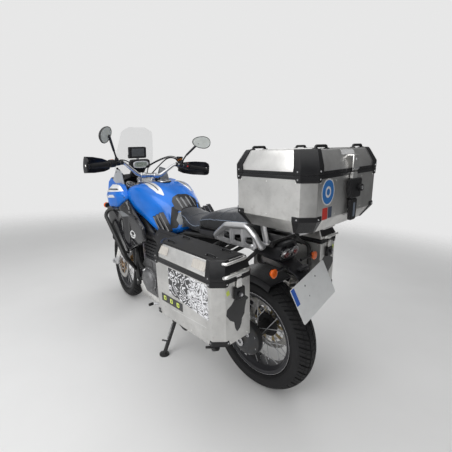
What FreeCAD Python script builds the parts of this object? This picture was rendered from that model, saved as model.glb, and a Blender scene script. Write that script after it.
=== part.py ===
"""Adventure motorcycle with a shaft drive, wire wheels, two side cases and a top case.

Everything is drawn on the upright motorcycle in millimetres: X forward from the rear axle,
Y to the rider's left, Z up from the ground. At the end the whole machine is leaned to the
left about its wheel line, onto its side stand, and set with its box centred on the origin.
"""
import FreeCAD
import Part
import math
import os

os.makedirs("parts", exist_ok=True)

# Stance and steering
LEAN_DEG = 5.0                 # lean to the left on the side stand
WHEELBASE = 1540.0
CASTER_DEG = 28.0
TRAIL = 126.0
STEER_RANGE_DEG = 35.0
MOVING_GAP = 6.0               # clearance between pieces that move past each other
RUNNING_FIT = 0.05             # radial clearance of a pin or shaft in its bore
SEAT_GAP = 0.3                 # clearance where a soft or curved piece rests on its carrier

# Wheels and tyres
REAR_TYRE_W = 150.0
REAR_RIM_SEAT_R = 216.0
REAR_SECTION_H = 105.0         # height of the tyre's wall above the rim
REAR_TYRE_R = REAR_RIM_SEAT_R + REAR_SECTION_H
REAR_RIM_W = 116.0
FRONT_TYRE_W = 110.0
FRONT_RIM_SEAT_R = 241.0
FRONT_SECTION_H = 88.0
FRONT_TYRE_R = FRONT_RIM_SEAT_R + FRONT_SECTION_H
FRONT_RIM_W = 78.0
RIM_WALL = 8.0
RIM_FLANGE = 12.0
TYRE_WALL = 11.0
SPOKE_R = 2.3
REAR_SPOKES = 32
FRONT_SPOKES = 36
SPOKE_SWEEP_DEG = 26.0         # how far a spoke turns between the hub and the rim

# Axles and hubs
REAR_AXLE_R = 14.0
REAR_AXLE_BORE_R = 10.0
FRONT_AXLE_R = 12.0
FRONT_AXLE_BORE_R = 8.0
REAR_HUB_FLANGE_R = 66.0
REAR_HUB_RIGHT = -66.0
REAR_HUB_LEFT = 78.0
FRONT_HUB_FLANGE_R = 52.0
FRONT_HUB_HALF = 58.0
FRONT_DISC_R = 155.0
REAR_DISC_R = 141.0
DISC_T = 5.0
GUARD_GAP = 14.0               # from a tyre to its mudguard
GUARD_T = 4.0

# Fork, yokes and handlebar
FORK_HALF_TRACK = 105.0
FORK_OFFSET = 30.0             # fork legs ahead of the steering axis
FORK_OUTER_R = 27.0
FORK_INNER_R = 21.5
FORK_LUG_HALF = 28.0
FORK_OUTER_LOW = 640.0         # along the steering axis from the ground
LOWER_YOKE_LOW = 900.0
YOKE_T = 36.0
UPPER_YOKE_LOW = 1120.0
UPPER_YOKE_T = 24.0
STEM_R = 17.0
HEAD_TUBE_R = 32.0
STEER_SWEEP_R = 152.0          # free radius about the steering axis beside the yokes
STEER_FRONT_REACH = 134.0      # how far ahead of the axis the turned yokes reach
BAR_R = 11.0
GRIP_R = 16.0
BAR_CENTRE = (1046.0, 0.0, 1092.0)
BAR_BEND_Y = 80.0
BAR_RISE = (1030.0, 190.0, 1178.0)
BAR_END = (968.0, 412.0, 1146.0)
GRIP_LENGTH = 125.0
RISER_R = 15.0
RISER_Y = 48.0
RISER_H = 70.0                 # along the steering axis, above the upper yoke
RISER_OFFSET = 8.0             # ahead of the steering axis
GUARD_TIP = (960.0, 452.0, 1148.0)
MIRROR_CENTRE = (884.0, 330.0, 1340.0)
MIRROR_WIDE = 68.0
MIRROR_HIGH = 46.0
MIRROR_TOE_DEG = 15.0          # how far each mirror turns to the rider
STEER_REST_DEG = -10.0         # the parked bar is turned to the right

# Frame
MAIN_TUBE_R = 17.0
SUB_TUBE_R = 12.0
PIVOT_X = 548.0
PIVOT_Z = 372.0
PIVOT_BOLT_R = 12.0
PIVOT_PLATE_IN = 177.0
PIVOT_PLATE_OUT = 190.0

# Bodywork beside the tank's nose
COWL_IN = 186.0
COWL_OUT = 258.0
SCOOP_OUT = 252.0
RADIATOR_IN = 158.0
SCREEN_BEND_R = 400.0
SCREEN_T = 4.0

# Engine
ENGINE_HALF = 135.0
HEAD_HALF = 142.0
SUMP_Z = 248.0

# Swingarm, shaft and final drive
SHAFT_Y = 132.0
SHAFT_TUBE_R = 40.0
DRIVE_CASE_R = 92.0
DRIVE_CASE_IN = 82.0
DRIVE_CASE_OUT = 160.0
RIGHT_ARM_IN = 96.0
RIGHT_ARM_OUT = 132.0
RIGHT_ARM_H = 62.0
BRIDGE_Z = 380.0               # where the rear mudguard bolts to the arm's bridge

# Exhaust
SILENCER_Y = -207.0
SILENCER_R = 55.0

# Side cases and their lids
PANNIER_FRONT = 300.0
PANNIER_REAR = -175.0
PANNIER_IN = 276.0
PANNIER_OUT = 456.0
PANNIER_LOW = 505.0
PANNIER_BODY_H = 280.0
PANNIER_LID_H = 70.0
PANNIER_SEAM = PANNIER_LOW + PANNIER_BODY_H
PANNIER_TOP = PANNIER_SEAM + PANNIER_LID_H
PANNIER_BAND = 22.0            # height of the lid's upright rim
PANNIER_CHAMFER = 40.0
CASE_WALL = 2.0
LID_INSET = 20.0               # how far the lid's sloping band leans in
PANNIER_LID_OPEN_DEG = 88.0
RACK_TUBE_R = 9.0
RACK_GAP = 10.0                # from the tube's middle to the case
RACK_FOOT = 55.0               # above the case's floor
RACK_HEAD = 25.0               # below the case's seam
LID_GAP = 0.4                  # parting gap between a case and its lid
HINGE_PIN_R = 4.0
HINGE_R = 8.0

# Top case
TOPCASE_FRONT = -62.0
TOPCASE_REAR = -432.0
TOPCASE_HALF = 266.0
TOPCASE_PAD_H = 37.0           # the pads between the carrier and the case
TOPCASE_BODY_H = 150.0
TOPCASE_LID_H = 82.0
TOPCASE_BAND = 30.0            # height of the lid's upright rim
TOPCASE_SLOPE = 30.0           # how far the case's foot leans in, and how high
TOPCASE_CHAMFER = 42.0
TOPCASE_LID_OPEN_DEG = 80.0
CARRIER_Z = 985.0              # underside of the carrier plate
CARRIER_T = 8.0
TOPCASE_LOW = CARRIER_Z + CARRIER_T + TOPCASE_PAD_H
TOPCASE_SEAM = TOPCASE_LOW + TOPCASE_BODY_H
TOPCASE_TOP = TOPCASE_SEAM + TOPCASE_LID_H

# Stands
SIDE_PIVOT = (505.0, 214.0, 252.0)
SIDE_FOOT = (540.0, 292.0)
SIDE_TUCK = (-245.0, 22.0, -12.0)
SIDE_FOOT_R = 30.0
SIDE_FOOT_T = 9.0
CENTRE_PIVOT_X = 450.0
CENTRE_PIVOT_Z = 214.0
CENTRE_LEG_Y = 128.0
CENTRE_FOOT_Y = 160.0
CENTRE_LEG = 262.0
CENTRE_OPEN_DEG = 92.0
STAND_PIN_R = 9.0
KNUCKLE_HALF = 13.0

# Derived placing of the leaned motorcycle
LEAN = math.radians(LEAN_DEG)
CASTER = math.radians(CASTER_DEG)
REAR_CROWN_R = REAR_TYRE_W / 2.0
WORLD_DROP = REAR_CROWN_R * (1.0 - math.cos(LEAN))
STEER_FOOT = FreeCAD.Vector(WHEELBASE + TRAIL, 0, 0)
STEER_AXIS = FreeCAD.Vector(-math.sin(CASTER), 0, math.cos(CASTER))
STEER_AHEAD = FreeCAD.Vector(math.cos(CASTER), 0, math.sin(CASTER))
STEER_TURN = FreeCAD.Placement(FreeCAD.Vector(0, 0, 0),
                               FreeCAD.Rotation(STEER_AXIS, STEER_REST_DEG), STEER_FOOT)
REAR_AXLE = FreeCAD.Vector(0, 0, REAR_TYRE_R)
FRONT_AXLE = FreeCAD.Vector(WHEELBASE, 0, FRONT_TYRE_R)
TURNED_AXLE = STEER_TURN.multVec(FRONT_AXLE)
TURNED_SPIN = STEER_TURN.Rotation.multVec(FreeCAD.Vector(0, 1, 0))
TURNED_TIP = STEER_TURN.multVec(FreeCAD.Vector(*GUARD_TIP))
FRONT_CROWN_R = FRONT_TYRE_W / 2.0
FRONT_REACH = (TURNED_AXLE.x + FRONT_CROWN_R
               + (FRONT_TYRE_R - FRONT_CROWN_R) * math.sqrt(1.0 - TURNED_SPIN.x ** 2))
ORIGIN_X = (FRONT_REACH + TOPCASE_REAR) / 2.0
LEFT_REACH = TURNED_TIP.y * math.cos(LEAN) + TURNED_TIP.z * math.sin(LEAN)
RIGHT_REACH = -PANNIER_OUT * math.cos(LEAN) + PANNIER_LOW * math.sin(LEAN)
ORIGIN_Y = (LEFT_REACH + RIGHT_REACH) / 2.0
PLACE = FreeCAD.Placement(FreeCAD.Vector(-ORIGIN_X, -ORIGIN_Y, WORLD_DROP),
                          FreeCAD.Rotation(FreeCAD.Vector(1, 0, 0), -LEAN_DEG))
WORLD_UP = FreeCAD.Vector(0, -math.sin(LEAN), math.cos(LEAN))   # the true vertical, on the bike
AXLE_ALONG = (FRONT_AXLE - STEER_FOOT).dot(STEER_AXIS)
AXLE_AHEAD = (FRONT_AXLE - STEER_FOOT).dot(STEER_AHEAD)
Y_AXIS = FreeCAD.Vector(0, 1, 0)
Z_AXIS = FreeCAD.Vector(0, 0, 1)
SIDES = (1, -1)


def vec(x, y, z):
    return FreeCAD.Vector(x, y, z)


def steer_point(ahead, side, along):
    """Point given ahead of, beside and along the steering axis from the ground."""
    return STEER_FOOT + STEER_AXIS * along + STEER_AHEAD * ahead + vec(0, side, 0)


def mirror(shape):
    return shape.mirror(vec(0, 0, 0), Y_AXIS)


def both_sides(shape):
    """A left piece and its mirror image, as one shape of separate solids."""
    return Part.makeCompound([shape, mirror(shape)])


def fuse(*shapes):
    joined = shapes[0].fuse(list(shapes[1:])) if len(shapes) > 1 else shapes[0]
    return joined.removeSplitter()


def fit_around(shape, *neighbours, smallest=2000.0):
    """Cut a piece back to the faces of its neighbours, and drop the crumbs."""
    result = shape.cut(list(neighbours))
    kept = [solid for solid in result.Solids if solid.Volume > smallest]
    return Part.makeCompound(kept) if len(kept) != 1 else kept[0]


def rod(start, end, radius):
    """Round bar between two points."""
    span = end - start
    return Part.makeCylinder(radius, span.Length, start, span)


def sleeve(start, end, radius, bore):
    return rod(start, end, radius).cut(rod(start, end, bore))


def block(x_low, x_high, y_low, y_high, z_low, z_high):
    return Part.makeBox(x_high - x_low, y_high - y_low, z_high - z_low, vec(x_low, y_low, z_low))


def outline(points, radii):
    """Closed wire of straight runs and tangent arcs; radii is one radius or one per point."""
    if not isinstance(radii, (list, tuple)):
        radii = [radii] * len(points)
    starts, middles, ends = [], [], []
    for index, point in enumerate(points):
        back = (points[index - 1] - point).normalize()
        onward = (points[(index + 1) % len(points)] - point).normalize()
        half = back.getAngle(onward) / 2.0
        radius = radii[index]
        if radius <= 0:
            starts.append(point)
            middles.append(None)
            ends.append(point)
            continue
        trim = radius / math.tan(half)
        inward = (back + onward).normalize()
        starts.append(point + back * trim)
        middles.append(point + inward * (radius / math.sin(half) - radius))
        ends.append(point + onward * trim)
    edges = []
    for index in range(len(points)):
        if middles[index] is not None:
            edges.append(Part.Arc(starts[index], middles[index], ends[index]).toShape())
        onward = starts[(index + 1) % len(points)]
        if ends[index].distanceToPoint(onward) > 0.001:
            edges.append(Part.LineSegment(ends[index], onward).toShape())
    return Part.Wire(edges)


def side_prism(points, y_low, y_high, radii=0.0):
    """Side-view outline of (x, z) points, drawn across from y_low to y_high."""
    wire = outline([vec(x, y_low, z) for x, z in points], radii)
    return Part.Face(wire).extrude(vec(0, y_high - y_low, 0))


def plan_prism(points, z_low, z_high, radii=0.0):
    """Plan outline of (x, y) points, raised from z_low to z_high."""
    wire = outline([vec(x, y, z_low) for x, y in points], radii)
    return Part.Face(wire).extrude(vec(0, 0, z_high - z_low))


def cross_section(x, half_width, z_low, z_high, radius):
    """Rounded cross-section of the body at one place along it."""
    corners = [vec(x, -half_width, z_low), vec(x, half_width, z_low),
               vec(x, half_width, z_high), vec(x, -half_width, z_high)]
    return outline(corners, radius)


def body_loft(sections, ruled=False):
    """Skin over a table of cross-sections: x, half width, low z, high z, corner radius."""
    return Part.makeLoft([cross_section(*row) for row in sections], True, ruled)


def tube(points, radius, bend):
    """Round bar that follows straight runs joined by tangent arcs."""
    edges = []
    here = points[0]
    for index in range(1, len(points) - 1):
        corner = points[index]
        back = (points[index - 1] - corner).normalize()
        onward = (points[index + 1] - corner).normalize()
        half = back.getAngle(onward) / 2.0
        trim = bend / math.tan(half)
        inward = (back + onward).normalize()
        arc_start = corner + back * trim
        arc_middle = corner + inward * (bend / math.sin(half) - bend)
        arc_end = corner + onward * trim
        edges.append(Part.LineSegment(here, arc_start).toShape())
        edges.append(Part.Arc(arc_start, arc_middle, arc_end).toShape())
        here = arc_end
    edges.append(Part.LineSegment(here, points[-1]).toShape())
    start_ring = Part.Wire(Part.Circle(points[0], points[1] - points[0], radius).toShape())
    return Part.Wire(edges).makePipeShell([start_ring], True, False)


def turned(points, centre):
    """Ring turned about the axle line: (y, r) points of its section, straight runs."""
    ring = [vec(0, y, r) for y, r in points]
    face = Part.Face(Part.makePolygon(ring + [ring[0]]))
    return face.revolve(vec(0, 0, 0), Y_AXIS, 360).translated(centre)


# Wheels

def rim(seat_r, width, centre):
    half = width / 2.0
    outer = [(half, seat_r + RIM_FLANGE), (half - 6, seat_r + RIM_FLANGE), (half - 7, seat_r),
             (half - 22, seat_r - 1), (half * 0.45, seat_r - 16)]
    inner = [(half * 0.45 + 3, seat_r - 16 - RIM_WALL), (half, seat_r - RIM_WALL)]
    ring = outer + [(-y, r) for y, r in reversed(outer)]
    ring += [(-y, r) for y, r in reversed(inner)] + inner
    return turned(ring, centre)


def tyre(outer_r, width, seat_r, rim_width, centre):
    """Hollow carcass whose beads sit on the rim's seats."""
    bead_out = rim_width / 2.0 - 7.4
    bead_in = bead_out - TYRE_WALL
    belly_r = seat_r + 0.5 * (outer_r - seat_r)
    shoulder_y = width / 2.0 - 7.0
    shoulder_r = outer_r - width * 0.19
    bead_r = seat_r + SEAT_GAP
    flange_r = seat_r + RIM_FLANGE + 2.0

    def arc(first, middle, last):
        return Part.Arc(*[vec(0, y, r) for y, r in (first, middle, last)]).toShape()

    def run(first, last):
        return Part.LineSegment(vec(0, *first), vec(0, *last)).toShape()

    inner_shoulder = (shoulder_y - TYRE_WALL, shoulder_r - TYRE_WALL * 0.5)
    edges = [
        arc((-shoulder_y, shoulder_r), (0, outer_r), (shoulder_y, shoulder_r)),
        arc((shoulder_y, shoulder_r), (width / 2.0, belly_r), (bead_out, flange_r)),
        run((bead_out, flange_r), (bead_out, bead_r)),
        run((bead_out, bead_r), (bead_in, bead_r)),
        run((bead_in, bead_r), (bead_in, flange_r)),
        arc((bead_in, flange_r), (width / 2.0 - TYRE_WALL, belly_r), inner_shoulder),
        arc(inner_shoulder, (0, outer_r - TYRE_WALL - 4), (-inner_shoulder[0], inner_shoulder[1])),
        arc((-inner_shoulder[0], inner_shoulder[1]), (-width / 2.0 + TYRE_WALL, belly_r),
            (-bead_in, flange_r)),
        run((-bead_in, flange_r), (-bead_in, bead_r)),
        run((-bead_in, bead_r), (-bead_out, bead_r)),
        run((-bead_out, bead_r), (-bead_out, flange_r)),
        arc((-bead_out, flange_r), (-width / 2.0, belly_r), (-shoulder_y, shoulder_r)),
    ]
    face = Part.Face(Part.Wire(edges))
    return face.revolve(vec(0, 0, 0), Y_AXIS, 360).translated(centre)


def spokes(count, hub_r, hub_y, rim_r, rim_y, centre):
    """Crossed wire spokes: hub_y and rim_y are the half spreads at the two ends."""
    wires = []
    for index in range(count):
        side = SIDES[index % 2]
        lead = SPOKE_SWEEP_DEG if (index // 2) % 2 else -SPOKE_SWEEP_DEG
        at_rim = math.radians(360.0 * index / count)
        at_hub = at_rim + math.radians(lead)
        low = vec(hub_r * math.sin(at_hub), side * hub_y, hub_r * math.cos(at_hub))
        high = vec(rim_r * math.sin(at_rim), side * rim_y, rim_r * math.cos(at_rim))
        wires.append(rod(low, high, SPOKE_R).translated(centre))
    return wires


def wire_wheel(seat_r, rim_width, hub_points, spoke_row, centre):
    """Rim, turned hub and spokes as one piece; spoke_row is count, hub r, hub y, rim y."""
    count, hub_r, hub_y, rim_y = spoke_row
    rim_r = seat_r - 16 - RIM_WALL / 2.0
    wheel = [rim(seat_r, rim_width, centre), turned(hub_points, centre)]
    wires = spokes(count, hub_r, hub_y, rim_r, rim_y, centre)
    return wheel[0].fuse([wheel[1]] + wires)


def brake_disc(outer_r, inner_r, centre_r, y_face, centre, arms=5):
    """Disc ring on a carrier star that seats on the hub's face at y_face."""
    away = math.copysign(1.0, y_face)
    low, high = sorted((y_face, y_face + away * DISC_T))
    ring = turned([(low, inner_r), (high, inner_r), (high, outer_r), (low, outer_r)], centre)
    collar = turned([(low, centre_r), (high, centre_r), (high, centre_r + 20),
                     (low, centre_r + 20)], centre)
    pieces = [collar]
    for index in range(arms):
        arm = block(-9, 9, low, high, centre_r + 15, inner_r + 6)
        arm.rotate(vec(0, 0, 0), Y_AXIS, 360.0 * index / arms)
        pieces.append(arm.translated(centre))
    return ring.fuse(pieces)


def disc_room(outer_r, y_face, centre):
    """Clear space that a turning disc needs inside its caliper."""
    far = y_face + math.copysign(DISC_T, y_face)
    low, high = sorted((y_face - math.copysign(MOVING_GAP, y_face),
                        far + math.copysign(MOVING_GAP, y_face)))
    return rod(centre + vec(0, low, 0), centre + vec(0, high, 0), outer_r + MOVING_GAP)


def rear_wheel_parts():
    bore = REAR_AXLE_R + RUNNING_FIT
    hub = [(REAR_HUB_RIGHT, bore), (REAR_HUB_LEFT, bore), (REAR_HUB_LEFT, REAR_HUB_FLANGE_R),
           (REAR_HUB_LEFT - 14, REAR_HUB_FLANGE_R), (REAR_HUB_LEFT - 20, 40),
           (REAR_HUB_RIGHT + 20, 36), (REAR_HUB_RIGHT + 14, REAR_HUB_FLANGE_R),
           (REAR_HUB_RIGHT, REAR_HUB_FLANGE_R)]
    row = (REAR_SPOKES, REAR_HUB_FLANGE_R - 7, -REAR_HUB_RIGHT - 7, 24)
    wheel = wire_wheel(REAR_RIM_SEAT_R, REAR_RIM_W, hub, row, REAR_AXLE)
    rubber = tyre(REAR_TYRE_R, REAR_TYRE_W, REAR_RIM_SEAT_R, REAR_RIM_W, REAR_AXLE)
    disc = brake_disc(REAR_DISC_R, REAR_DISC_R - 36, 30, REAR_HUB_RIGHT, REAR_AXLE)
    return {"rear_wheel": wheel, "rear_tyre": rubber, "rear_disc": disc}


def front_wheel_parts():
    bore = FRONT_AXLE_R + RUNNING_FIT
    half = FRONT_HUB_HALF
    side = [(half, bore), (half, 30), (half - 14, FRONT_HUB_FLANGE_R),
            (half - 24, FRONT_HUB_FLANGE_R), (half - 30, 28)]
    hub = side + [(-y, r) for y, r in reversed(side)]
    row = (FRONT_SPOKES, FRONT_HUB_FLANGE_R - 5, half - 19, 14)
    wheel = wire_wheel(FRONT_RIM_SEAT_R, FRONT_RIM_W, hub, row, FRONT_AXLE)
    rubber = tyre(FRONT_TYRE_R, FRONT_TYRE_W, FRONT_RIM_SEAT_R, FRONT_RIM_W, FRONT_AXLE)
    discs = [brake_disc(FRONT_DISC_R, FRONT_DISC_R - 34, FRONT_AXLE_R + 4, side * half,
                        FRONT_AXLE) for side in SIDES]
    return {"front_wheel": wheel, "front_tyre": rubber, "front_discs": Part.makeCompound(discs)}


# Steering

def axle(radius, bore, y_low, y_high, head_r, centre):
    """Hollow spindle with a head at its left end."""
    shaft = rod(centre + vec(0, y_low, 0), centre + vec(0, y_high, 0), radius)
    head = rod(centre + vec(0, y_high, 0), centre + vec(0, y_high + 8, 0), head_r)
    hole = rod(centre + vec(0, y_low - 1, 0), centre + vec(0, y_high + 9, 0), bore)
    return shaft.fuse(head).cut(hole)


def yoke(low, thickness):
    """Fork clamp, drawn across both legs and the stem, seen along the steering axis."""
    wide = FORK_HALF_TRACK + FORK_OUTER_R + 4
    rows = [(FORK_OFFSET + 30, wide), (FORK_OFFSET - 28, wide), (-30, 45)]
    right = [steer_point(ahead, side, low) for ahead, side in rows]
    left = [steer_point(ahead, -side, low) for ahead, side in reversed(rows)]
    plate = Part.Face(outline(right + left, [26, 26, 20, 20, 26, 26]))
    return plate.extrude(STEER_AXIS * thickness)


def fork():
    """Upside-down fork: two legs, axle lugs, both yokes and the steering stem."""
    top = UPPER_YOKE_LOW + UPPER_YOKE_T + 6
    pieces = [yoke(LOWER_YOKE_LOW, YOKE_T), yoke(UPPER_YOKE_LOW, UPPER_YOKE_T)]
    pieces.append(rod(steer_point(0, 0, LOWER_YOKE_LOW + 5), steer_point(0, 0, top + 4), STEM_R))
    for side in SIDES:
        y = side * FORK_HALF_TRACK
        pieces.append(rod(steer_point(FORK_OFFSET, y, FORK_OUTER_LOW),
                          steer_point(FORK_OFFSET, y, top), FORK_OUTER_R))
        pieces.append(rod(steer_point(FORK_OFFSET, y, AXLE_ALONG + 20),
                          steer_point(FORK_OFFSET, y, FORK_OUTER_LOW + 10), FORK_INNER_R))
        pieces.append(rod(steer_point(FORK_OFFSET, y, AXLE_ALONG - 12),
                          steer_point(FORK_OFFSET, y, AXLE_ALONG + 70), FORK_INNER_R + 4.5))
        pieces.append(rod(FRONT_AXLE + vec(0, y - side * FORK_LUG_HALF, 0),
                          FRONT_AXLE + vec(0, y + side * FORK_LUG_HALF, 0), 27))
    bore = rod(FRONT_AXLE + vec(0, -150, 0), FRONT_AXLE + vec(0, 150, 0), FRONT_AXLE_R)
    return pieces[0].fuse(pieces[1:]).cut(bore).removeSplitter()


def bar_points():
    x, _, z = BAR_CENTRE
    right = [(BAR_END[0], -BAR_END[1], BAR_END[2]), (BAR_RISE[0], -BAR_RISE[1], BAR_RISE[2]),
             (x, -BAR_BEND_Y, z)]
    left = [(px, -py, pz) for px, py, pz in reversed(right)]
    return [vec(*point) for point in right + left]


def handlebar():
    """Tapered bar on two risers that stand on the upper yoke."""
    bar = tube(bar_points(), BAR_R, 60.0)
    pieces = [bar]
    top = UPPER_YOKE_LOW + UPPER_YOKE_T
    for side in SIDES:
        foot = steer_point(RISER_OFFSET, side * RISER_Y, top)
        knee = steer_point(RISER_OFFSET, side * RISER_Y, top + RISER_H)
        head = vec(BAR_CENTRE[0], side * RISER_Y, BAR_CENTRE[2])
        back = (head - knee).normalize()
        pieces.append(rod(foot, knee, RISER_R))
        pieces.append(rod(knee - back * 4, head, RISER_R - 2))
        pieces.append(rod(head + vec(0, -18, 0), head + vec(0, 18, 0), BAR_R + 9))
    return pieces[0].fuse(pieces[1:])


def bar_controls():
    """Grips, switch boxes, levers and brake reservoir on the bar's two ends."""
    pieces = []
    for side in SIDES:
        end = vec(BAR_END[0], side * BAR_END[1], BAR_END[2])
        rise = vec(BAR_RISE[0], side * BAR_RISE[1], BAR_RISE[2])
        inward = (rise - end).normalize()
        grip = sleeve(end - inward * 4, end + inward * GRIP_LENGTH, GRIP_R, BAR_R)
        switch = sleeve(end + inward * (GRIP_LENGTH + 1), end + inward * (GRIP_LENGTH + 42), 23, BAR_R)
        perch_at = end + inward * (GRIP_LENGTH + 62)
        perch = sleeve(perch_at - inward * 16, perch_at + inward * 16, 19, BAR_R)
        pivot = perch_at + vec(34, side * 6, 2)
        arm = rod(perch_at + vec(19, 0, 0), pivot, 9)
        lever_start = pivot + vec(4, 0, 0)
        lever_end = end + vec(44, side * 2, -2)
        lever = tube([lever_start, lever_start + (lever_end - lever_start) * 0.4 + vec(12, 0, 0),
                      lever_end], 6, 40)
        boss = rod(pivot + vec(0, 0, -10), pivot + vec(0, 0, 10), 11)
        parts = [perch, arm, boss, lever,
                 sleeve(end + inward * (GRIP_LENGTH + 40), perch_at, 15, BAR_R)]
        if side < 0:
            parts.append(rod(pivot + vec(0, 0, 8), pivot + vec(0, 0, 26), 9))
            parts.append(rod(pivot + vec(0, 0, 24), pivot + vec(0, 0, 62), 24))
        pieces += [grip, switch.fuse(parts)]
    return pieces


def hand_guards():
    """Bent guard strip with a wide shield, from the bar's end round the lever to the bar."""
    strips = []
    for side in SIDES:
        end = vec(BAR_END[0], side * BAR_END[1], BAR_END[2])
        rise = vec(BAR_RISE[0], side * BAR_RISE[1], BAR_RISE[2])
        outward = (end - rise).normalize()
        tip = vec(GUARD_TIP[0], side * (GUARD_TIP[1] - 14), GUARD_TIP[2])
        turns = [(-14, 0), (62, 4), (138, -86), (166, -176), (154, -176), (128, -92), (56, -6),
                 (-14, -8)]
        rows = [(tip.x + ahead, tip.y + side * out) for ahead, out in turns]
        shield = plan_prism(rows, tip.z - 48, tip.z + 56)
        plug = rod(end + outward * 4, vec(tip.x, tip.y - side * 6, tip.z), 12)
        bracket = rod(vec(tip.x + 158, tip.y - side * 173, tip.z - 20),
                      rise + (end - rise) * 0.05 + vec(8, 0, -4), 6)
        strips.append(shield.fuse([plug, bracket]))
    return strips


def mirrors():
    """Stem and oval mirror head on each side of the bar."""
    heads = []
    for side in SIDES:
        end = vec(BAR_END[0], side * BAR_END[1], BAR_END[2])
        rise = vec(BAR_RISE[0], side * BAR_RISE[1], BAR_RISE[2])
        base = end + (rise - end).normalize() * (GRIP_LENGTH + 62) + vec(0, 0, 14)
        centre = vec(MIRROR_CENTRE[0], side * MIRROR_CENTRE[1], MIRROR_CENTRE[2])
        head_at = centre + vec(12, -side * 18, -6)
        elbow = base + vec(-30, side * 26, 58)
        stem = tube([base, elbow, head_at], 5, 30)
        ovals = []
        for ahead, less in ((0, 2), (6, 0), (26, 22)):
            oval = Part.Ellipse(centre + vec(ahead, MIRROR_WIDE - less, 0),
                                centre + vec(ahead, 0, MIRROR_HIGH - less),
                                centre + vec(ahead, 0, 0))
            ovals.append(Part.Wire(oval.toShape()))
        head = Part.makeLoft(ovals, True, True)
        head.rotate(centre, Z_AXIS, side * MIRROR_TOE_DEG)
        heads.append(stem.fuse(head))
    return heads


def front_fender():
    """Low mudguard that follows the front tyre, with a stay to each fork leg."""
    inner = FRONT_TYRE_R + GUARD_GAP
    outer = inner + GUARD_T
    half = FRONT_TYRE_W / 2.0 + 12
    ring = turned([(-half, inner), (half, inner), (half, outer), (-half, outer)], FRONT_AXLE)
    cheek_low = inner - 26
    for side in SIDES:
        low, high = sorted((side * half, side * (half - 3)))
        ring = ring.fuse(turned([(low, cheek_low), (high, cheek_low), (high, outer), (low, outer)],
                                FRONT_AXLE))
    wedge = []
    for angle in (-72, 40):
        turn = math.radians(angle)
        wedge.append(FRONT_AXLE + vec(-600 * math.sin(turn), 0, 600 * math.cos(turn)))
    keep = Part.Face(Part.makePolygon([FRONT_AXLE + vec(0, -200, 0), wedge[1] + vec(0, -200, 0),
                                       FRONT_AXLE + vec(0, -200, 900), wedge[0] + vec(0, -200, 0),
                                       FRONT_AXLE + vec(0, -200, 0)])).extrude(vec(0, 400, 0))
    guard = ring.common(keep)
    stays = []
    cheek = [(FORK_OFFSET - 24, 226), (FORK_OFFSET + 24, 226), (FORK_OFFSET + 70, inner - 20),
             (FORK_OFFSET - 90, inner - 32)]
    for side in SIDES:
        corners = [steer_point(ahead, side * (half - 3), AXLE_ALONG + along) for ahead, along in cheek]
        stays.append(Part.Face(outline(corners, 12)).extrude(vec(0, side * 3, 0)))
        stays.append(rod(steer_point(FORK_OFFSET, side * (half - 2), AXLE_ALONG + 250),
                         steer_point(FORK_OFFSET, side * FORK_HALF_TRACK, AXLE_ALONG + 250), 10))
    return guard.fuse(stays)


def front_calipers():
    """Brake caliper behind each fork leg, straddling its disc."""
    calipers = []
    for side in SIDES:
        at = steer_point(FORK_OFFSET - 62, 0, AXLE_ALONG + 118)
        low, high = sorted((side * (FRONT_HUB_HALF - 14), side * (FRONT_HUB_HALF + DISC_T + 30)))
        body = block(-32, 27, low, high, -55, 55)
        body.rotate(vec(0, 0, 0), Y_AXIS, -CASTER_DEG)
        body = body.translated(at)
        lug = rod(steer_point(FORK_OFFSET - 50, side * 88, AXLE_ALONG + 118),
                  steer_point(FORK_OFFSET, side * 100, AXLE_ALONG + 118), 11)
        calipers.append(body.fuse(lug).cut(disc_room(FRONT_DISC_R, side * FRONT_HUB_HALF,
                                                     FRONT_AXLE)))
    return calipers


# Chassis

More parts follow.
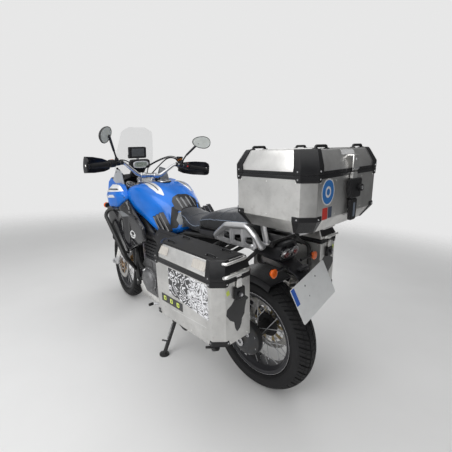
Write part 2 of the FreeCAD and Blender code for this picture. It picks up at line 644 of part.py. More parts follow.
def frame():
    """Tubular frame: head tube, main and down tubes, pivot plates and rear subframe."""
    head = rod(steer_point(0, 0, LOWER_YOKE_LOW + YOKE_T + 0.5),
               steer_point(0, 0, UPPER_YOKE_LOW - 0.5), HEAD_TUBE_R)
    pieces = []
    for side in SIDES:
        main = [(1170, 20, 915), (1050, 118, 872), (800, 168, 765), (612, 172, 640),
                (592, 184, 430), (600, 176, 290)]
        down = [(1186, 20, 872), (1092, 118, 700), (1078, 152, 420), (1070, 152, 290)]
        upper = [(690, 166, 700), (470, 122, 792), (100, 112, 832), (-150, 96, 850)]
        lower = [(592, 180, 470), (430, 138, 590), (60, 114, 816)]
        pieces.append(tube([vec(x, side * y, z) for x, y, z in main], MAIN_TUBE_R, 60))
        pieces.append(tube([vec(x, side * y, z) for x, y, z in down], MAIN_TUBE_R - 1, 50))
        pieces.append(tube([vec(x, side * y, z) for x, y, z in upper], SUB_TUBE_R, 60))
        pieces.append(tube([vec(x, side * y, z) for x, y, z in lower], SUB_TUBE_R, 60))
        low, high = sorted((side * PIVOT_PLATE_IN, side * PIVOT_PLATE_OUT))
        pieces.append(side_prism([(515, 440), (605, 455), (612, 300), (560, 225), (470, 190),
                                  (430, 190), (430, 240), (505, 290)], low, high, 12))
        pieces.append(rod(vec(1074, side * 152, 330), vec(1044, side * 118, 330), 15))
        pieces.append(rod(vec(600, side * 172, 300), vec(600, side * ENGINE_HALF, 300), 15))
        pieces.append(rod(vec(830, side * 166, 778), vec(830, side * HEAD_HALF, 778), 13))
        pieces.append(rod(vec(CENTRE_PIVOT_X, side * PIVOT_PLATE_IN, CENTRE_PIVOT_Z),
                          vec(CENTRE_PIVOT_X, side * (CENTRE_LEG_Y + 24), CENTRE_PIVOT_Z), 17))
    for x, y, z in ((470, 122, 792), (100, 112, 832), (-130, 98, 849)):
        pieces.append(rod(vec(x, -y, z), vec(x, y, z), SUB_TUBE_R - 2))
    pieces.append(rod(vec(PIVOT_X, -PIVOT_PLATE_OUT, PIVOT_Z),
                      vec(PIVOT_X, PIVOT_PLATE_OUT, PIVOT_Z), PIVOT_BOLT_R))
    pieces.append(rod(vec(CENTRE_PIVOT_X, -PIVOT_PLATE_OUT, CENTRE_PIVOT_Z),
                      vec(CENTRE_PIVOT_X, PIVOT_PLATE_OUT, CENTRE_PIVOT_Z), STAND_PIN_R))
    bracket = side_prism([(470, 190), (470, 300), (540, 300), (560, 225)], PIVOT_PLATE_OUT - 2,
                         PIVOT_PLATE_OUT + 0.5, 0)
    pieces.append(bracket)
    joined = head.fuse(pieces)
    bore = rod(steer_point(0, 0, LOWER_YOKE_LOW), steer_point(0, 0, UPPER_YOKE_LOW + 40),
               STEM_R + RUNNING_FIT)
    return joined.cut(bore).removeSplitter()


def engine():
    """Upright twin: crankcase, round side covers, cylinders and head."""
    case = side_prism([(586, 300), (645, SUMP_Z), (1000, SUMP_Z), (1044, 300), (1044, 430),
                       (985, 525), (640, 525), (586, 450)], -ENGINE_HALF, ENGINE_HALF,
                      [20, 30, 30, 25, 25, 20, 30, 25])
    cylinders = side_prism([(740, 515), (985, 515), (1012, 690), (768, 690)], -124, 124, 8)
    head = side_prism([(762, 680), (1022, 680), (1034, 800), (980, 822), (810, 822), (776, 790)],
                      -HEAD_HALF, HEAD_HALF, [6, 6, 18, 18, 18, 18])
    left_cover = rod(vec(915, ENGINE_HALF, 375), vec(915, ENGINE_HALF + 46, 375), 88)
    right_cover = rod(vec(820, -ENGINE_HALF, 372), vec(820, -ENGINE_HALF - 50, 372), 105)
    small_cover = rod(vec(985, -ENGINE_HALF, 360), vec(985, -ENGINE_HALF - 30, 360), 48)
    gearbox = rod(vec(700, ENGINE_HALF, 360), vec(700, ENGINE_HALF + 26, 360), 62)
    return fuse(case, cylinders, head, left_cover, right_cover, small_cover, gearbox)


def exhaust():
    """Two header pipes, a collector under the engine and the silencer on the right."""
    pieces = []
    for y, low_y in ((62, -40), (-62, -88)):
        pieces.append(tube([vec(1020, y, 742), vec(1098, y, 735), vec(1094, y, 300),
                            vec(1040, low_y, 222), vec(760, low_y, 222)], 19, 38))
    pieces.append(tube([vec(790, -64, 222), vec(690, -64, 222), vec(596, -218, 238),
                        vec(420, -222, 262), vec(330, SILENCER_Y, 320)], 24, 50))
    can = rod(vec(352, SILENCER_Y, 316), vec(-60, SILENCER_Y, 514), SILENCER_R)
    tip = rod(vec(-50, SILENCER_Y, 509), vec(-95, SILENCER_Y, 531), 32)
    joined = pieces[0].fuse(pieces[1:] + [can, tip])
    mouth = rod(vec(-72, SILENCER_Y, 520), vec(-110, SILENCER_Y, 538), 26)
    return joined.cut(mouth)


def skid_plate():
    floor = side_prism([(640, 190), (1080, 190), (1142, 300), (1142, 380), (1134, 380),
                        (1134, 304), (1076, 198), (640, 198)], -118, 118, 0)
    cheeks = []
    for side in SIDES:
        low, high = sorted((side * 118, side * 124))
        cheeks.append(side_prism([(640, 190), (1080, 190), (1142, 300), (1142, 380), (1085, 320),
                                  (1010, 240), (640, 232)], low, high, 0))
        cheeks.append(rod(vec(700, side * 100, 197), vec(700, side * 100, SUMP_Z), 9))
        cheeks.append(rod(vec(960, side * 112, 197), vec(960, side * 112, SUMP_Z), 9))
    return floor.fuse(cheeks)


def swingarm():
    """Arm round the rear wheel: the drive shaft's tube on the left and a box on the right."""
    shaft = rod(vec(PIVOT_X - 10, SHAFT_Y, PIVOT_Z), vec(88, SHAFT_Y, REAR_TYRE_R + 8), SHAFT_TUBE_R)
    half = RIGHT_ARM_H / 2.0
    right = side_prism([(PIVOT_X + 28, PIVOT_Z + half), (PIVOT_X + 28, PIVOT_Z - half),
                        (-40, REAR_TYRE_R - half + 6), (-46, REAR_TYRE_R + half - 6)],
                       -RIGHT_ARM_OUT, -RIGHT_ARM_IN, [25, 25, 22, 22])
    pivot = rod(vec(PIVOT_X, -176, PIVOT_Z), vec(PIVOT_X, 176, PIVOT_Z), 29)
    brace = side_prism([(380, 340), (440, 330), (440, 395), (380, 400)], -RIGHT_ARM_IN - 5,
                       SHAFT_Y - 10, 14)
    arm = shaft.fuse([right, pivot, brace])
    bolt = rod(vec(PIVOT_X, -200, PIVOT_Z), vec(PIVOT_X, 200, PIVOT_Z), PIVOT_BOLT_R)
    spindle = rod(REAR_AXLE + vec(0, -200, 0), REAR_AXLE + vec(0, 200, 0), REAR_AXLE_R)
    return arm.cut([bolt, spindle])


def final_drive():
    """Round bevel gear case beside the wheel, with the neck of the shaft tube."""
    case = turned([(DRIVE_CASE_IN, REAR_AXLE_R), (DRIVE_CASE_IN, DRIVE_CASE_R - 8),
                   (DRIVE_CASE_IN + 10, DRIVE_CASE_R), (DRIVE_CASE_OUT - 34, DRIVE_CASE_R),
                   (DRIVE_CASE_OUT - 10, DRIVE_CASE_R - 30), (DRIVE_CASE_OUT, 40),
                   (DRIVE_CASE_OUT, REAR_AXLE_R)], REAR_AXLE)
    neck = rod(vec(60, SHAFT_Y, REAR_TYRE_R + 6), vec(112, SHAFT_Y, REAR_TYRE_R + 10),
               SHAFT_TUBE_R + 6)
    bore = rod(REAR_AXLE, REAR_AXLE + vec(0, 200, 0), REAR_AXLE_R)
    return case.fuse(neck).cut(bore)


def rear_shock():
    """Spring and damper between the arm's brace and the frame's cross tube."""
    low = vec(412, 0, 404)
    high = vec(478, 0, 776)
    span = (high - low).normalize()
    pieces = [rod(low, high, 13), rod(low + span * 60, low + span * 300, 34),
              rod(low + vec(0, -24, 0), low + vec(0, 24, 0), 15),
              rod(high + vec(0, -24, 0), high + vec(0, 24, 0), 15)]
    return pieces[0].fuse(pieces[1:])


def rear_caliper():
    at = vec(-96, 0, REAR_TYRE_R + 92)
    body = block(-36, 36, REAR_HUB_RIGHT - DISC_T - 24, REAR_HUB_RIGHT + 12, -24, 34)
    body.rotate(vec(0, 0, 0), Y_AXIS, -46)
    body = body.translated(at)
    hanger_y = REAR_HUB_RIGHT - DISC_T - 18
    hanger = side_prism([(-110, REAR_TYRE_R + 100), (-60, REAR_TYRE_R + 110),
                         (14, REAR_TYRE_R + 10), (-16, REAR_TYRE_R - 14)], hanger_y - 7, hanger_y, 6)
    spacer = rod(vec(0, hanger_y - 2, REAR_TYRE_R), vec(0, -RIGHT_ARM_IN, REAR_TYRE_R), 24)
    bore = rod(REAR_AXLE + vec(0, -200, 0), REAR_AXLE + vec(0, 0, 0), REAR_AXLE_R)
    return body.fuse([hanger, spacer]).cut([bore, disc_room(REAR_DISC_R, REAR_HUB_RIGHT, REAR_AXLE)])


# Bodywork

def fuel_tank():
    """Deep tank that narrows to the saddle; rows are x, half width, low z, high z, corner."""
    rows = [(556, 104, 802, 866, 28), (602, 140, 780, 922, 46), (650, 160, 774, 970, 52),
            (780, 180, 798, 1040, 60), (860, 198, 822, 1058, 64), (940, 204, 844, 1056, 66),
            (1020, 200, 864, 1044, 60), (1068, 168, 900, 1020, 48)]
    tank = body_loft(rows)
    cap = rod(vec(872, 0, 1040), vec(876, 0, 1066), 44)
    return tank.fuse(cap)


def steering_room():
    """Space about the steering axis that the yokes and fork legs sweep."""
    drum = rod(steer_point(0, 0, 640), steer_point(0, 0, 1175), STEER_SWEEP_R)
    beyond = outline([steer_point(STEER_FRONT_REACH, -300, 500), steer_point(STEER_FRONT_REACH, 300, 500),
                      steer_point(STEER_FRONT_REACH, 300, 1400),
                      steer_point(STEER_FRONT_REACH, -300, 1400)], 0)
    return drum.cut(Part.Face(beyond).extrude(STEER_AHEAD * 200))


def side_cowl():
    """Painted upper cowl beside the tank's nose, on the left."""
    rows = [(1000, 955), (1062, 1042), (1150, 1050), (1262, 984), (1316, 884), (1240, 872),
            (1090, 890)]
    return side_prism(rows, COWL_IN, COWL_OUT, [20, 26, 30, 24, 12, 12, 20])


def side_scoop():
    """Dark lower cowl, on the left, with an air mouth that faces forward."""
    rows = [(985, 820), (1000, 954), (1090, 889), (1240, 871), (1314, 882), (1296, 800),
            (1190, 640), (1070, 556), (1012, 600)]
    shell = side_prism(rows, COWL_IN, SCOOP_OUT, [10, 6, 10, 8, 8, 30, 40, 30, 30])
    hollow = side_prism([(1080, 850), (1400, 850), (1400, 640), (1150, 640)], COWL_IN - 20,
                        SCOOP_OUT - 16, 0)
    return shell.cut(hollow)


def radiator():
    return side_prism([(1050, 620), (1190, 620), (1236, 846), (1096, 846)], RADIATOR_IN,
                      COWL_IN, 8)


def tank_side_panels():
    """Silver inner panels that run from the dash to the tank's shoulders."""
    rows = [(1085, 1020), (1120, 1128), (1205, 1140), (1262, 1060), (1180, 1020)]
    left = side_prism(rows, COWL_IN - 10, COWL_IN + 4, [6, 18, 18, 10, 6])
    return both_sides(left)


def headlight():
    body = side_prism([(1240, 930), (1262, 1052), (1350, 1040), (1402, 940), (1380, 912)],
                      -158, 158, [10, 20, 24, 18, 14])
    return body


def front_cowl():
    """Nose piece under and beside the lamps, running back to the side cowls."""
    body = side_prism([(1180, 1062), (1290, 1096), (1368, 1056), (1440, 930), (1396, 886),
                       (1262, 896), (1240, 930)], -COWL_IN, COWL_IN, [10, 16, 20, 20, 16, 10, 10])
    inner = side_prism([(1100, 940), (1262, 1052), (1350, 1040), (1402, 940), (1500, 900),
                        (1380, 912), (1240, 900), (1100, 880)], -158, 158, 0)
    return body, inner


def windscreen():
    """Curved clear screen, leaning back, with a rounded outline."""
    bend_r = SCREEN_BEND_R
    base = vec(1366, 0, 1050)
    lean_back = vec(-0.42, 0, 0.91)
    centre = base - vec(bend_r, 0, 0)
    arcs = []
    for radius in (bend_r, bend_r - SCREEN_T):
        arcs.append((centre + vec(radius * math.cos(0.6), -radius * math.sin(0.6), 0),
                     centre + vec(radius, 0, 0),
                     centre + vec(radius * math.cos(0.6), radius * math.sin(0.6), 0)))
    wire = Part.Wire([Part.Arc(*arcs[0]).toShape(),
                      Part.LineSegment(arcs[0][2], arcs[1][2]).toShape(),
                      Part.Arc(*arcs[1]).toShape(),
                      Part.LineSegment(arcs[1][0], arcs[0][0]).toShape()])
    sheet = Part.Face(wire).extrude(lean_back * 480)
    rows = [(-95, 1060), (95, 1060), (150, 1130), (156, 1210), (112, 1430), (-112, 1430),
            (-156, 1210), (-150, 1130)]
    shape = outline([vec(900, y, z) for y, z in rows], [20, 20, 40, 40, 34, 34, 40, 40])
    return sheet.common(Part.Face(shape).extrude(vec(600, 0, 0)))


def instrument_cluster():
    body = side_prism([(1176, 1136), (1168, 1196), (1192, 1206), (1214, 1180), (1214, 1140)],
                      -78, 78, [8, 8, 8, 10, 8])
    stalk = side_prism([(1196, 1128), (1190, 1150), (1210, 1160), (1266, 1100), (1266, 1070),
                        (1240, 1078)], -50, 50, 0)
    return body.fuse(stalk)


def navigation_unit():
    body = side_prism([(1206, 1210), (1198, 1290), (1222, 1294), (1232, 1214)], -70, 70, 6)
    arm = rod(vec(1203, 0, 1180), vec(1216, 0, 1214), 10)
    return body.fuse(arm)


def rider_seat():
    rows = [(600, 84, 812, 914, 22), (545, 92, 812, 904, 22), (470, 120, 812, 886, 26),
            (390, 142, 812, 878, 28), (318, 148, 812, 902, 28)]
    return body_loft(rows)


def passenger_seat():
    rows = [(314, 150, 845, 926, 28), (230, 148, 845, 950, 30), (80, 138, 850, 964, 30),
            (-40, 118, 862, 966, 26)]
    return body_loft(rows)


def side_covers():
    """Dark side panels between the seats, the tank and the foot pegs."""
    rows = [(380, 800), (640, 812), (700, 760), (640, 640), (560, 560), (470, 640), (300, 720)]
    left = side_prism(rows, 190, 204, [14, 14, 20, 20, 20, 20, 20])
    tabs = rod(vec(560, 168, 700), vec(560, 192, 700), 9)
    return left.fuse(tabs)


def tail_unit():
    """Tail section under the passenger seat and the plate arm that hangs from it."""
    rows = [(40, 92, 790, 846, 10), (-60, 88, 764, 848, 12), (-168, 62, 752, 846, 12)]
    body = body_loft(rows)
    arm = side_prism([(-60, 770), (-160, 762), (-250, 720), (-345, 560), (-352, 566), (-262, 730),
                      (-172, 778)], -60, 60, 0)
    holder = side_prism([(-243, 722), (-330, 548), (-336, 551), (-249, 725)], -88, 88, 0)
    return body.fuse([arm, holder])


def tail_lamp():
    lobes = []
    for side in SIDES:
        lobes.append(rod(vec(-164, side * 27, 800), vec(-186, side * 27, 790), 24))
    return lobes[0].fuse(lobes[1])


def indicators():
    pieces = []
    for side in SIDES:
        stalk = rod(vec(-196, side * 58, 748), vec(-198, side * 140, 748), 6)
        lamp = rod(vec(-182, side * 160, 748), vec(-212, side * 160, 748), 21)
        lamp = lamp.fuse(rod(vec(-198, side * 138, 748), vec(-198, side * 150, 748), 9))
        pieces.append(stalk.fuse(lamp))
        stalk = rod(vec(1300, side * 240, 900), vec(1306, side * 292, 905), 7)
        lamp = rod(vec(1290, side * 300, 905), vec(1330, side * 300, 905), 20)
        pieces.append(stalk.fuse(lamp))
    return pieces


def grab_rail():
    """Cast carrier: a handle loop on each side and the plate that bears the top case."""
    pieces = []
    for side in SIDES:
        handle = [(160, 150, 842), (120, 196, 872), (20, 214, 940), (-130, 214, 962),
                  (-215, 176, 975)]
        pieces.append(tube([vec(x, side * y, z) for x, y, z in handle], 11, 34))
        pieces.append(tube([vec(170, side * 112, 842), vec(165, side * 140, 842),
                            vec(140, side * 170, 850)], 9, 12))
        pieces.append(rod(vec(-120, side * 104, 851), vec(-130, side * 150, CARRIER_Z), 13))
    deck = plan_prism([(-80, -150), (-80, 150), (-330, 150), (-330, -150)], CARRIER_Z,
                      CARRIER_Z + CARRIER_T, 28)
    pieces.append(rod(vec(-130, -214, 962), vec(-130, 214, 962), 9))
    return deck.fuse(pieces)


def topcase_feet():
    """Pads between the carrier plate and the top case."""
    pads = []
    for x in (-130, -290):
        for side in SIDES:
            pads.append(rod(vec(x, side * 110, CARRIER_Z + CARRIER_T),
                            vec(x, side * 110, TOPCASE_LOW), 22))
    return pads


def case_plan(x_low, x_high, y_low, y_high, chamfer, outer_only):
    """Plan of a case with bevelled corners: all four, or only the two on the outer side."""
    points = [(x_high, y_low), (x_high, y_high - chamfer), (x_high - chamfer, y_high),
              (x_low + chamfer, y_high), (x_low, y_high - chamfer), (x_low, y_low)]
    if not outer_only:
        points = [(x_high, y_low + chamfer), (x_high, y_high - chamfer), (x_high - chamfer, y_high),
                  (x_low + chamfer, y_high), (x_low, y_high - chamfer), (x_low, y_low + chamfer),
                  (x_low + chamfer, y_low), (x_high - chamfer, y_low)]
    return points


def plan_taper(low_plan, z_low, high_plan, z_high):
    """Solid whose plan changes evenly from one height to another."""
    rings = [Part.makePolygon([vec(x, y, z) for x, y in plan + plan[:1]])
             for plan, z in ((low_plan, z_low), (high_plan, z_high))]
    return Part.makeLoft(rings, True, True)


def case_body(plan, wall_plan, low, seam):
    shell = plan_prism(plan, low, seam)
    return shell.cut(plan_prism(wall_plan, low + CASE_WALL, seam + 1))


def tapered_body(plan, wall_plan, foot, wall_foot, low, slope, seam):
    """Case body whose lowest part leans in to a smaller floor."""
    shell = plan_prism(plan, low + slope, seam).fuse(plan_taper(foot, low, plan, low + slope))
    room = plan_prism(wall_plan, low + slope, seam + 1)
    return shell.cut([room, plan_taper(wall_foot, low + CASE_WALL, wall_plan, low + slope)])


def case_lid(plan, inset_plan, wall_plan, inner_plan, seam, top, band):
    """Lid with an upright rim, a sloping band and a flat top, hollow underneath."""
    step = seam + band
    outer = plan_prism(plan, seam + LID_GAP, step)
    slope = plan_taper(plan, step, inset_plan, top)
    room = plan_prism(wall_plan, seam, step)
    room_slope = plan_taper(wall_plan, step, inner_plan, top - CASE_WALL)
    return outer.fuse(slope).cut([room, room_slope])


def hinge_line(x, z, y_low, y_high):
    """Three-knuckle hinge on a pin along Y; returns the case's part and the lid's part."""
    third = (y_high - y_low) / 3.0
    pin = rod(vec(x, y_low, z), vec(x, y_high, z), HINGE_PIN_R)
    outer = [rod(vec(x, y_low + third * k, z), vec(x, y_low + third * (k + 1) - 0.4, z), HINGE_R)
             for k in (0, 2)]
    middle = sleeve(vec(x, y_low + third, z), vec(x, y_low + third * 2 - 0.4, z), HINGE_R,
                    HINGE_PIN_R + RUNNING_FIT)
    return pin.fuse(outer), middle


def pannier(side):
    """Side case and its lid, hinged along the front edge; side is 1 on the left."""
    plan = case_plan(PANNIER_REAR, PANNIER_FRONT, PANNIER_IN, PANNIER_OUT, PANNIER_CHAMFER, True)
    wall = CASE_WALL
    inner = case_plan(PANNIER_REAR + wall, PANNIER_FRONT - wall, PANNIER_IN + wall,
                      PANNIER_OUT - wall, PANNIER_CHAMFER - wall * 0.4, True)
    top = case_plan(PANNIER_REAR + LID_INSET, PANNIER_FRONT - LID_INSET, PANNIER_IN + 4,
                    PANNIER_OUT - LID_INSET, PANNIER_CHAMFER, True)
    top_in = case_plan(PANNIER_REAR + LID_INSET + wall, PANNIER_FRONT - LID_INSET - wall,
                       PANNIER_IN + 4 + wall, PANNIER_OUT - LID_INSET - wall,
                       PANNIER_CHAMFER - wall * 0.4, True)
    box = case_body(plan, inner, PANNIER_LOW, PANNIER_SEAM)
    lid = case_lid(plan, top, inner, top_in, PANNIER_SEAM, PANNIER_TOP, PANNIER_BAND)
    hinge_x = PANNIER_FRONT + HINGE_R + 1
    fixed, moving = hinge_line(hinge_x, PANNIER_SEAM, PANNIER_IN + 20, PANNIER_OUT - 60)
    third = (PANNIER_OUT - PANNIER_IN - 80) / 3.0
    leaf_low = [block(PANNIER_FRONT - 0.5, hinge_x, PANNIER_IN + 20 + third * k,
                      PANNIER_IN + 20 + third * (k + 1) - 0.4, PANNIER_SEAM - 22, PANNIER_SEAM - 4)
                for k in (0, 2)]
    leaf_high = block(PANNIER_FRONT - 0.5, hinge_x, PANNIER_IN + 20 + third,
                      PANNIER_IN + 20 + third * 2 - 0.4, PANNIER_SEAM + 4, PANNIER_SEAM + 20)
    box = box.fuse([fixed] + leaf_low)
    lid = lid.fuse([moving, leaf_high])
    if side < 0:
        return mirror(box), mirror(lid)
    return box, lid


def topcase():
    wall = CASE_WALL

    def plan_inset(inset, chamfer):
        return case_plan(TOPCASE_REAR + inset, TOPCASE_FRONT - inset, -TOPCASE_HALF + inset,
                         TOPCASE_HALF - inset, chamfer, False)

    plan = plan_inset(0, TOPCASE_CHAMFER)
    inner = plan_inset(wall, TOPCASE_CHAMFER - wall * 0.4)
    top = plan_inset(LID_INSET, TOPCASE_CHAMFER)
    top_in = plan_inset(LID_INSET + wall, TOPCASE_CHAMFER - wall * 0.4)
    foot = plan_inset(TOPCASE_SLOPE, TOPCASE_CHAMFER)
    foot_in = plan_inset(TOPCASE_SLOPE + wall * 0.4, TOPCASE_CHAMFER - wall * 0.4)
    box = tapered_body(plan, inner, foot, foot_in, TOPCASE_LOW, TOPCASE_SLOPE, TOPCASE_SEAM)
    lid = case_lid(plan, top, inner, top_in, TOPCASE_SEAM, TOPCASE_TOP, TOPCASE_BAND)
    hinge_x = TOPCASE_FRONT + HINGE_R + 1
    fixed, moving = hinge_line(hinge_x, TOPCASE_SEAM, -90, 90)
    leaf_low = [block(TOPCASE_FRONT - 0.5, hinge_x, low, low + 59.6, TOPCASE_SEAM - 22,
                      TOPCASE_SEAM - 3) for low in (-90, 30)]
    leaf_high = block(TOPCASE_FRONT - 0.5, hinge_x, -30, 29.6, TOPCASE_SEAM + 4, TOPCASE_SEAM + 24)
    return box.fuse([fixed] + leaf_low), lid.fuse([moving, leaf_high])


def pannier_racks():
    """Tube frame behind each side case, with two arms to the subframe."""
    left = []
    y = PANNIER_IN - RACK_GAP
    low, high = PANNIER_LOW + RACK_FOOT, PANNIER_SEAM - RACK_HEAD
    front, rear = PANNIER_FRONT - 50, PANNIER_REAR + 65
    loop = [(front, y, high), (rear, y, high), (rear, y, low), (front, y, low), (front, y, high - 1)]
    left.append(tube([vec(*p) for p in loop], RACK_TUBE_R, 30))
    left.append(rod(vec(205, y, high), vec(130, 112, 829), RACK_TUBE_R))
    left.append(rod(vec(-80, y, high), vec(-110, 100, 848), RACK_TUBE_R))
    for x in (front - 50, rear + 50):
        for z in (low, high):
            left.append(rod(vec(x, y, z), vec(x, PANNIER_IN, z), 12))
    return left[0].fuse(left[1:])


def hugger():
    """Mudguard that follows the rear tyre, held by the arm."""
    inner = REAR_TYRE_R + GUARD_GAP
    outer = inner + GUARD_T
    half = REAR_TYRE_W / 2.0 + 8
    ring = turned([(-half, inner), (half, inner), (half, outer), (-half, outer)], REAR_AXLE)
    for side in SIDES:
        low, high = sorted((side * half, side * (half - 3)))
        ring = ring.fuse(turned([(low, inner - 34), (high, inner - 34), (high, outer), (low, outer)],
                                REAR_AXLE))
    start = math.radians(-84)
    stop = math.radians(22)
    first = REAR_AXLE + vec(-700 * math.sin(start), 0, 700 * math.cos(start))
    last = REAR_AXLE + vec(-700 * math.sin(stop), 0, 700 * math.cos(stop))
    low_y = vec(0, -200, 0)
    keep = Part.Face(Part.makePolygon([REAR_AXLE + low_y, first + low_y,
                                       REAR_AXLE + vec(400, -200, 900), last + low_y,
                                       REAR_AXLE + low_y])).extrude(vec(0, 400, 0))
    guard = ring.common(keep)
    start_x = math.sqrt(inner ** 2 - (BRIDGE_Z - REAR_TYRE_R) ** 2) + 2
    posts = [rod(vec(start_x, side * 60, BRIDGE_Z), vec(390, side * 60, BRIDGE_Z), 10)
             for side in SIDES]
    return guard.fuse(posts)


def foot_pegs():
    pegs = []
    for side in SIDES:
        hanger = side_prism([(478, 300), (530, 300), (535, 345), (480, 350)],
                            *sorted((side * PIVOT_PLATE_OUT, side * (PIVOT_PLATE_OUT + 18))), 8)
        peg = plan_prism([(480, side * 206), (528, side * 206), (526, side * 288),
                          (482, side * 288)], 318, 334, 6)
        pegs.append(hanger.fuse(peg))
    return pegs


def passenger_pegs():
    pegs = []
    for side in SIDES:
        arm = tube([vec(430, side * 150, 590), vec(330, side * 168, 470), vec(300, side * 200, 450)],
                   10, 30)
        peg = rod(vec(300, side * 200, 450), vec(300, side * 262, 450), 13)
        pegs.append(arm.fuse(peg))
    return pegs


def foot_levers():
    """Gear lever on the left and brake pedal on the right."""
    gear = tube([vec(640, ENGINE_HALF, 300), vec(640, 178, 300), vec(652, 232, 312),
                 vec(672, 268, 318)], 7, 14)
    gear = gear.fuse(rod(vec(640, ENGINE_HALF, 300), vec(640, ENGINE_HALF + 12, 300), 12))
    brake = tube([vec(512, -PIVOT_PLATE_OUT - 18, 326), vec(530, -228, 322), vec(668, -232, 308),
                  vec(688, -268, 308)], 7, 12)
    return [gear, brake]


def crash_bar(side):
    points = [(1082, 156, 400), (1012, 268, 545), (1236, 296, 862), (1076, 128, 862)]
    return tube([vec(x, side * y, z) for x, y, z in points], 12.5, 40)


# Stands

def foot_ground_z(y):
    """Height, on the upright bike, of the ground that the leaned bike stands on."""
    return (y * math.sin(LEAN) - WORLD_DROP) / math.cos(LEAN)


SIDE_FOOT_POINT = vec(SIDE_FOOT[0], SIDE_FOOT[1], foot_ground_z(SIDE_FOOT[1]))
SIDE_PIVOT_POINT = vec(*SIDE_PIVOT)
SIDE_LEG = SIDE_FOOT_POINT - SIDE_PIVOT_POINT
SIDE_TUCK_DIR = vec(*SIDE_TUCK)
SIDE_STAND_AXIS = SIDE_LEG.cross(SIDE_TUCK_DIR).normalize()
SIDE_STAND_RANGE_DEG = math.degrees(SIDE_LEG.getAngle(SIDE_TUCK_DIR))


def side_stand():
    """Leg with a round foot flat on the ground, on a cheek beside the frame's tongue."""
    foot = Part.makeCylinder(SIDE_FOOT_R, SIDE_FOOT_T, SIDE_FOOT_POINT, WORLD_UP)
    leg_top = SIDE_PIVOT_POINT + SIDE_LEG.normalize() * 4
    leg = rod(leg_top, SIDE_FOOT_POINT + WORLD_UP * (SIDE_FOOT_T - 2), 12)
    knuckle = rod(SIDE_PIVOT_POINT - SIDE_STAND_AXIS * KNUCKLE_HALF,
                  SIDE_PIVOT_POINT + SIDE_STAND_AXIS * KNUCKLE_HALF, 19)
    tang = rod(SIDE_PIVOT_POINT + SIDE_LEG.normalize() * 150,
               SIDE_PIVOT_POINT + SIDE_LEG.normalize() * 150 + vec(28, 30, 10), 5)
    bore = rod(SIDE_PIVOT_POINT - SIDE_STAND_AXIS * 60, SIDE_PIVOT_POINT + SIDE_STAND_AXIS * 60,
               STAND_PIN_R + RUNNING_FIT)
    return leg.fuse([foot, knuckle, tang]).cut(bore)


def side_stand_bracket():
    """Tongue and pivot pin of the side stand, part of the frame."""
    root = SIDE_PIVOT_POINT - SIDE_STAND_AXIS * 38
    pin = rod(root, SIDE_PIVOT_POINT + SIDE_STAND_AXIS * (KNUCKLE_HALF + 5), STAND_PIN_R)
    inner = rod(root, SIDE_PIVOT_POINT - SIDE_STAND_AXIS * (KNUCKLE_HALF + 0.5), 17)
    return [pin, inner]


def centre_stand():
    """Two splayed legs on a pivot tube, tucked up under the arm, with feet and a tang."""
    pieces = []
    for side in SIDES:
        y = side * CENTRE_LEG_Y
        top = vec(CENTRE_PIVOT_X, y, CENTRE_PIVOT_Z)
        bottom = vec(CENTRE_PIVOT_X - CENTRE_LEG, side * CENTRE_FOOT_Y, CENTRE_PIVOT_Z - 20)
        pieces.append(rod(top, bottom, 13))
        pieces.append(rod(vec(CENTRE_PIVOT_X, y - side * 20, CENTRE_PIVOT_Z),
                          vec(CENTRE_PIVOT_X, y + side * 20, CENTRE_PIVOT_Z), 19))
        pieces.append(rod(bottom + vec(-6, 0, -6), bottom + vec(26, 0, -26), 17))
    pieces.append(rod(vec(CENTRE_PIVOT_X - 56, -CENTRE_LEG_Y - 5, CENTRE_PIVOT_Z - 4),
                      vec(CENTRE_PIVOT_X - 56, CENTRE_LEG_Y + 5, CENTRE_PIVOT_Z - 4), 11))
    pieces.append(tube([vec(CENTRE_PIVOT_X - 246, 152, CENTRE_PIVOT_Z - 18),
                        vec(CENTRE_PIVOT_X - 260, 190, CENTRE_PIVOT_Z - 12),
                        vec(CENTRE_PIVOT_X - 246, 224, CENTRE_PIVOT_Z - 2)], 7, 14))
    pin = rod(vec(CENTRE_PIVOT_X, -300, CENTRE_PIVOT_Z), vec(CENTRE_PIVOT_X, 300, CENTRE_PIVOT_Z),
              STAND_PIN_R + RUNNING_FIT)
    return pieces[0].fuse(pieces[1:]).cut(pin)


# Assembly

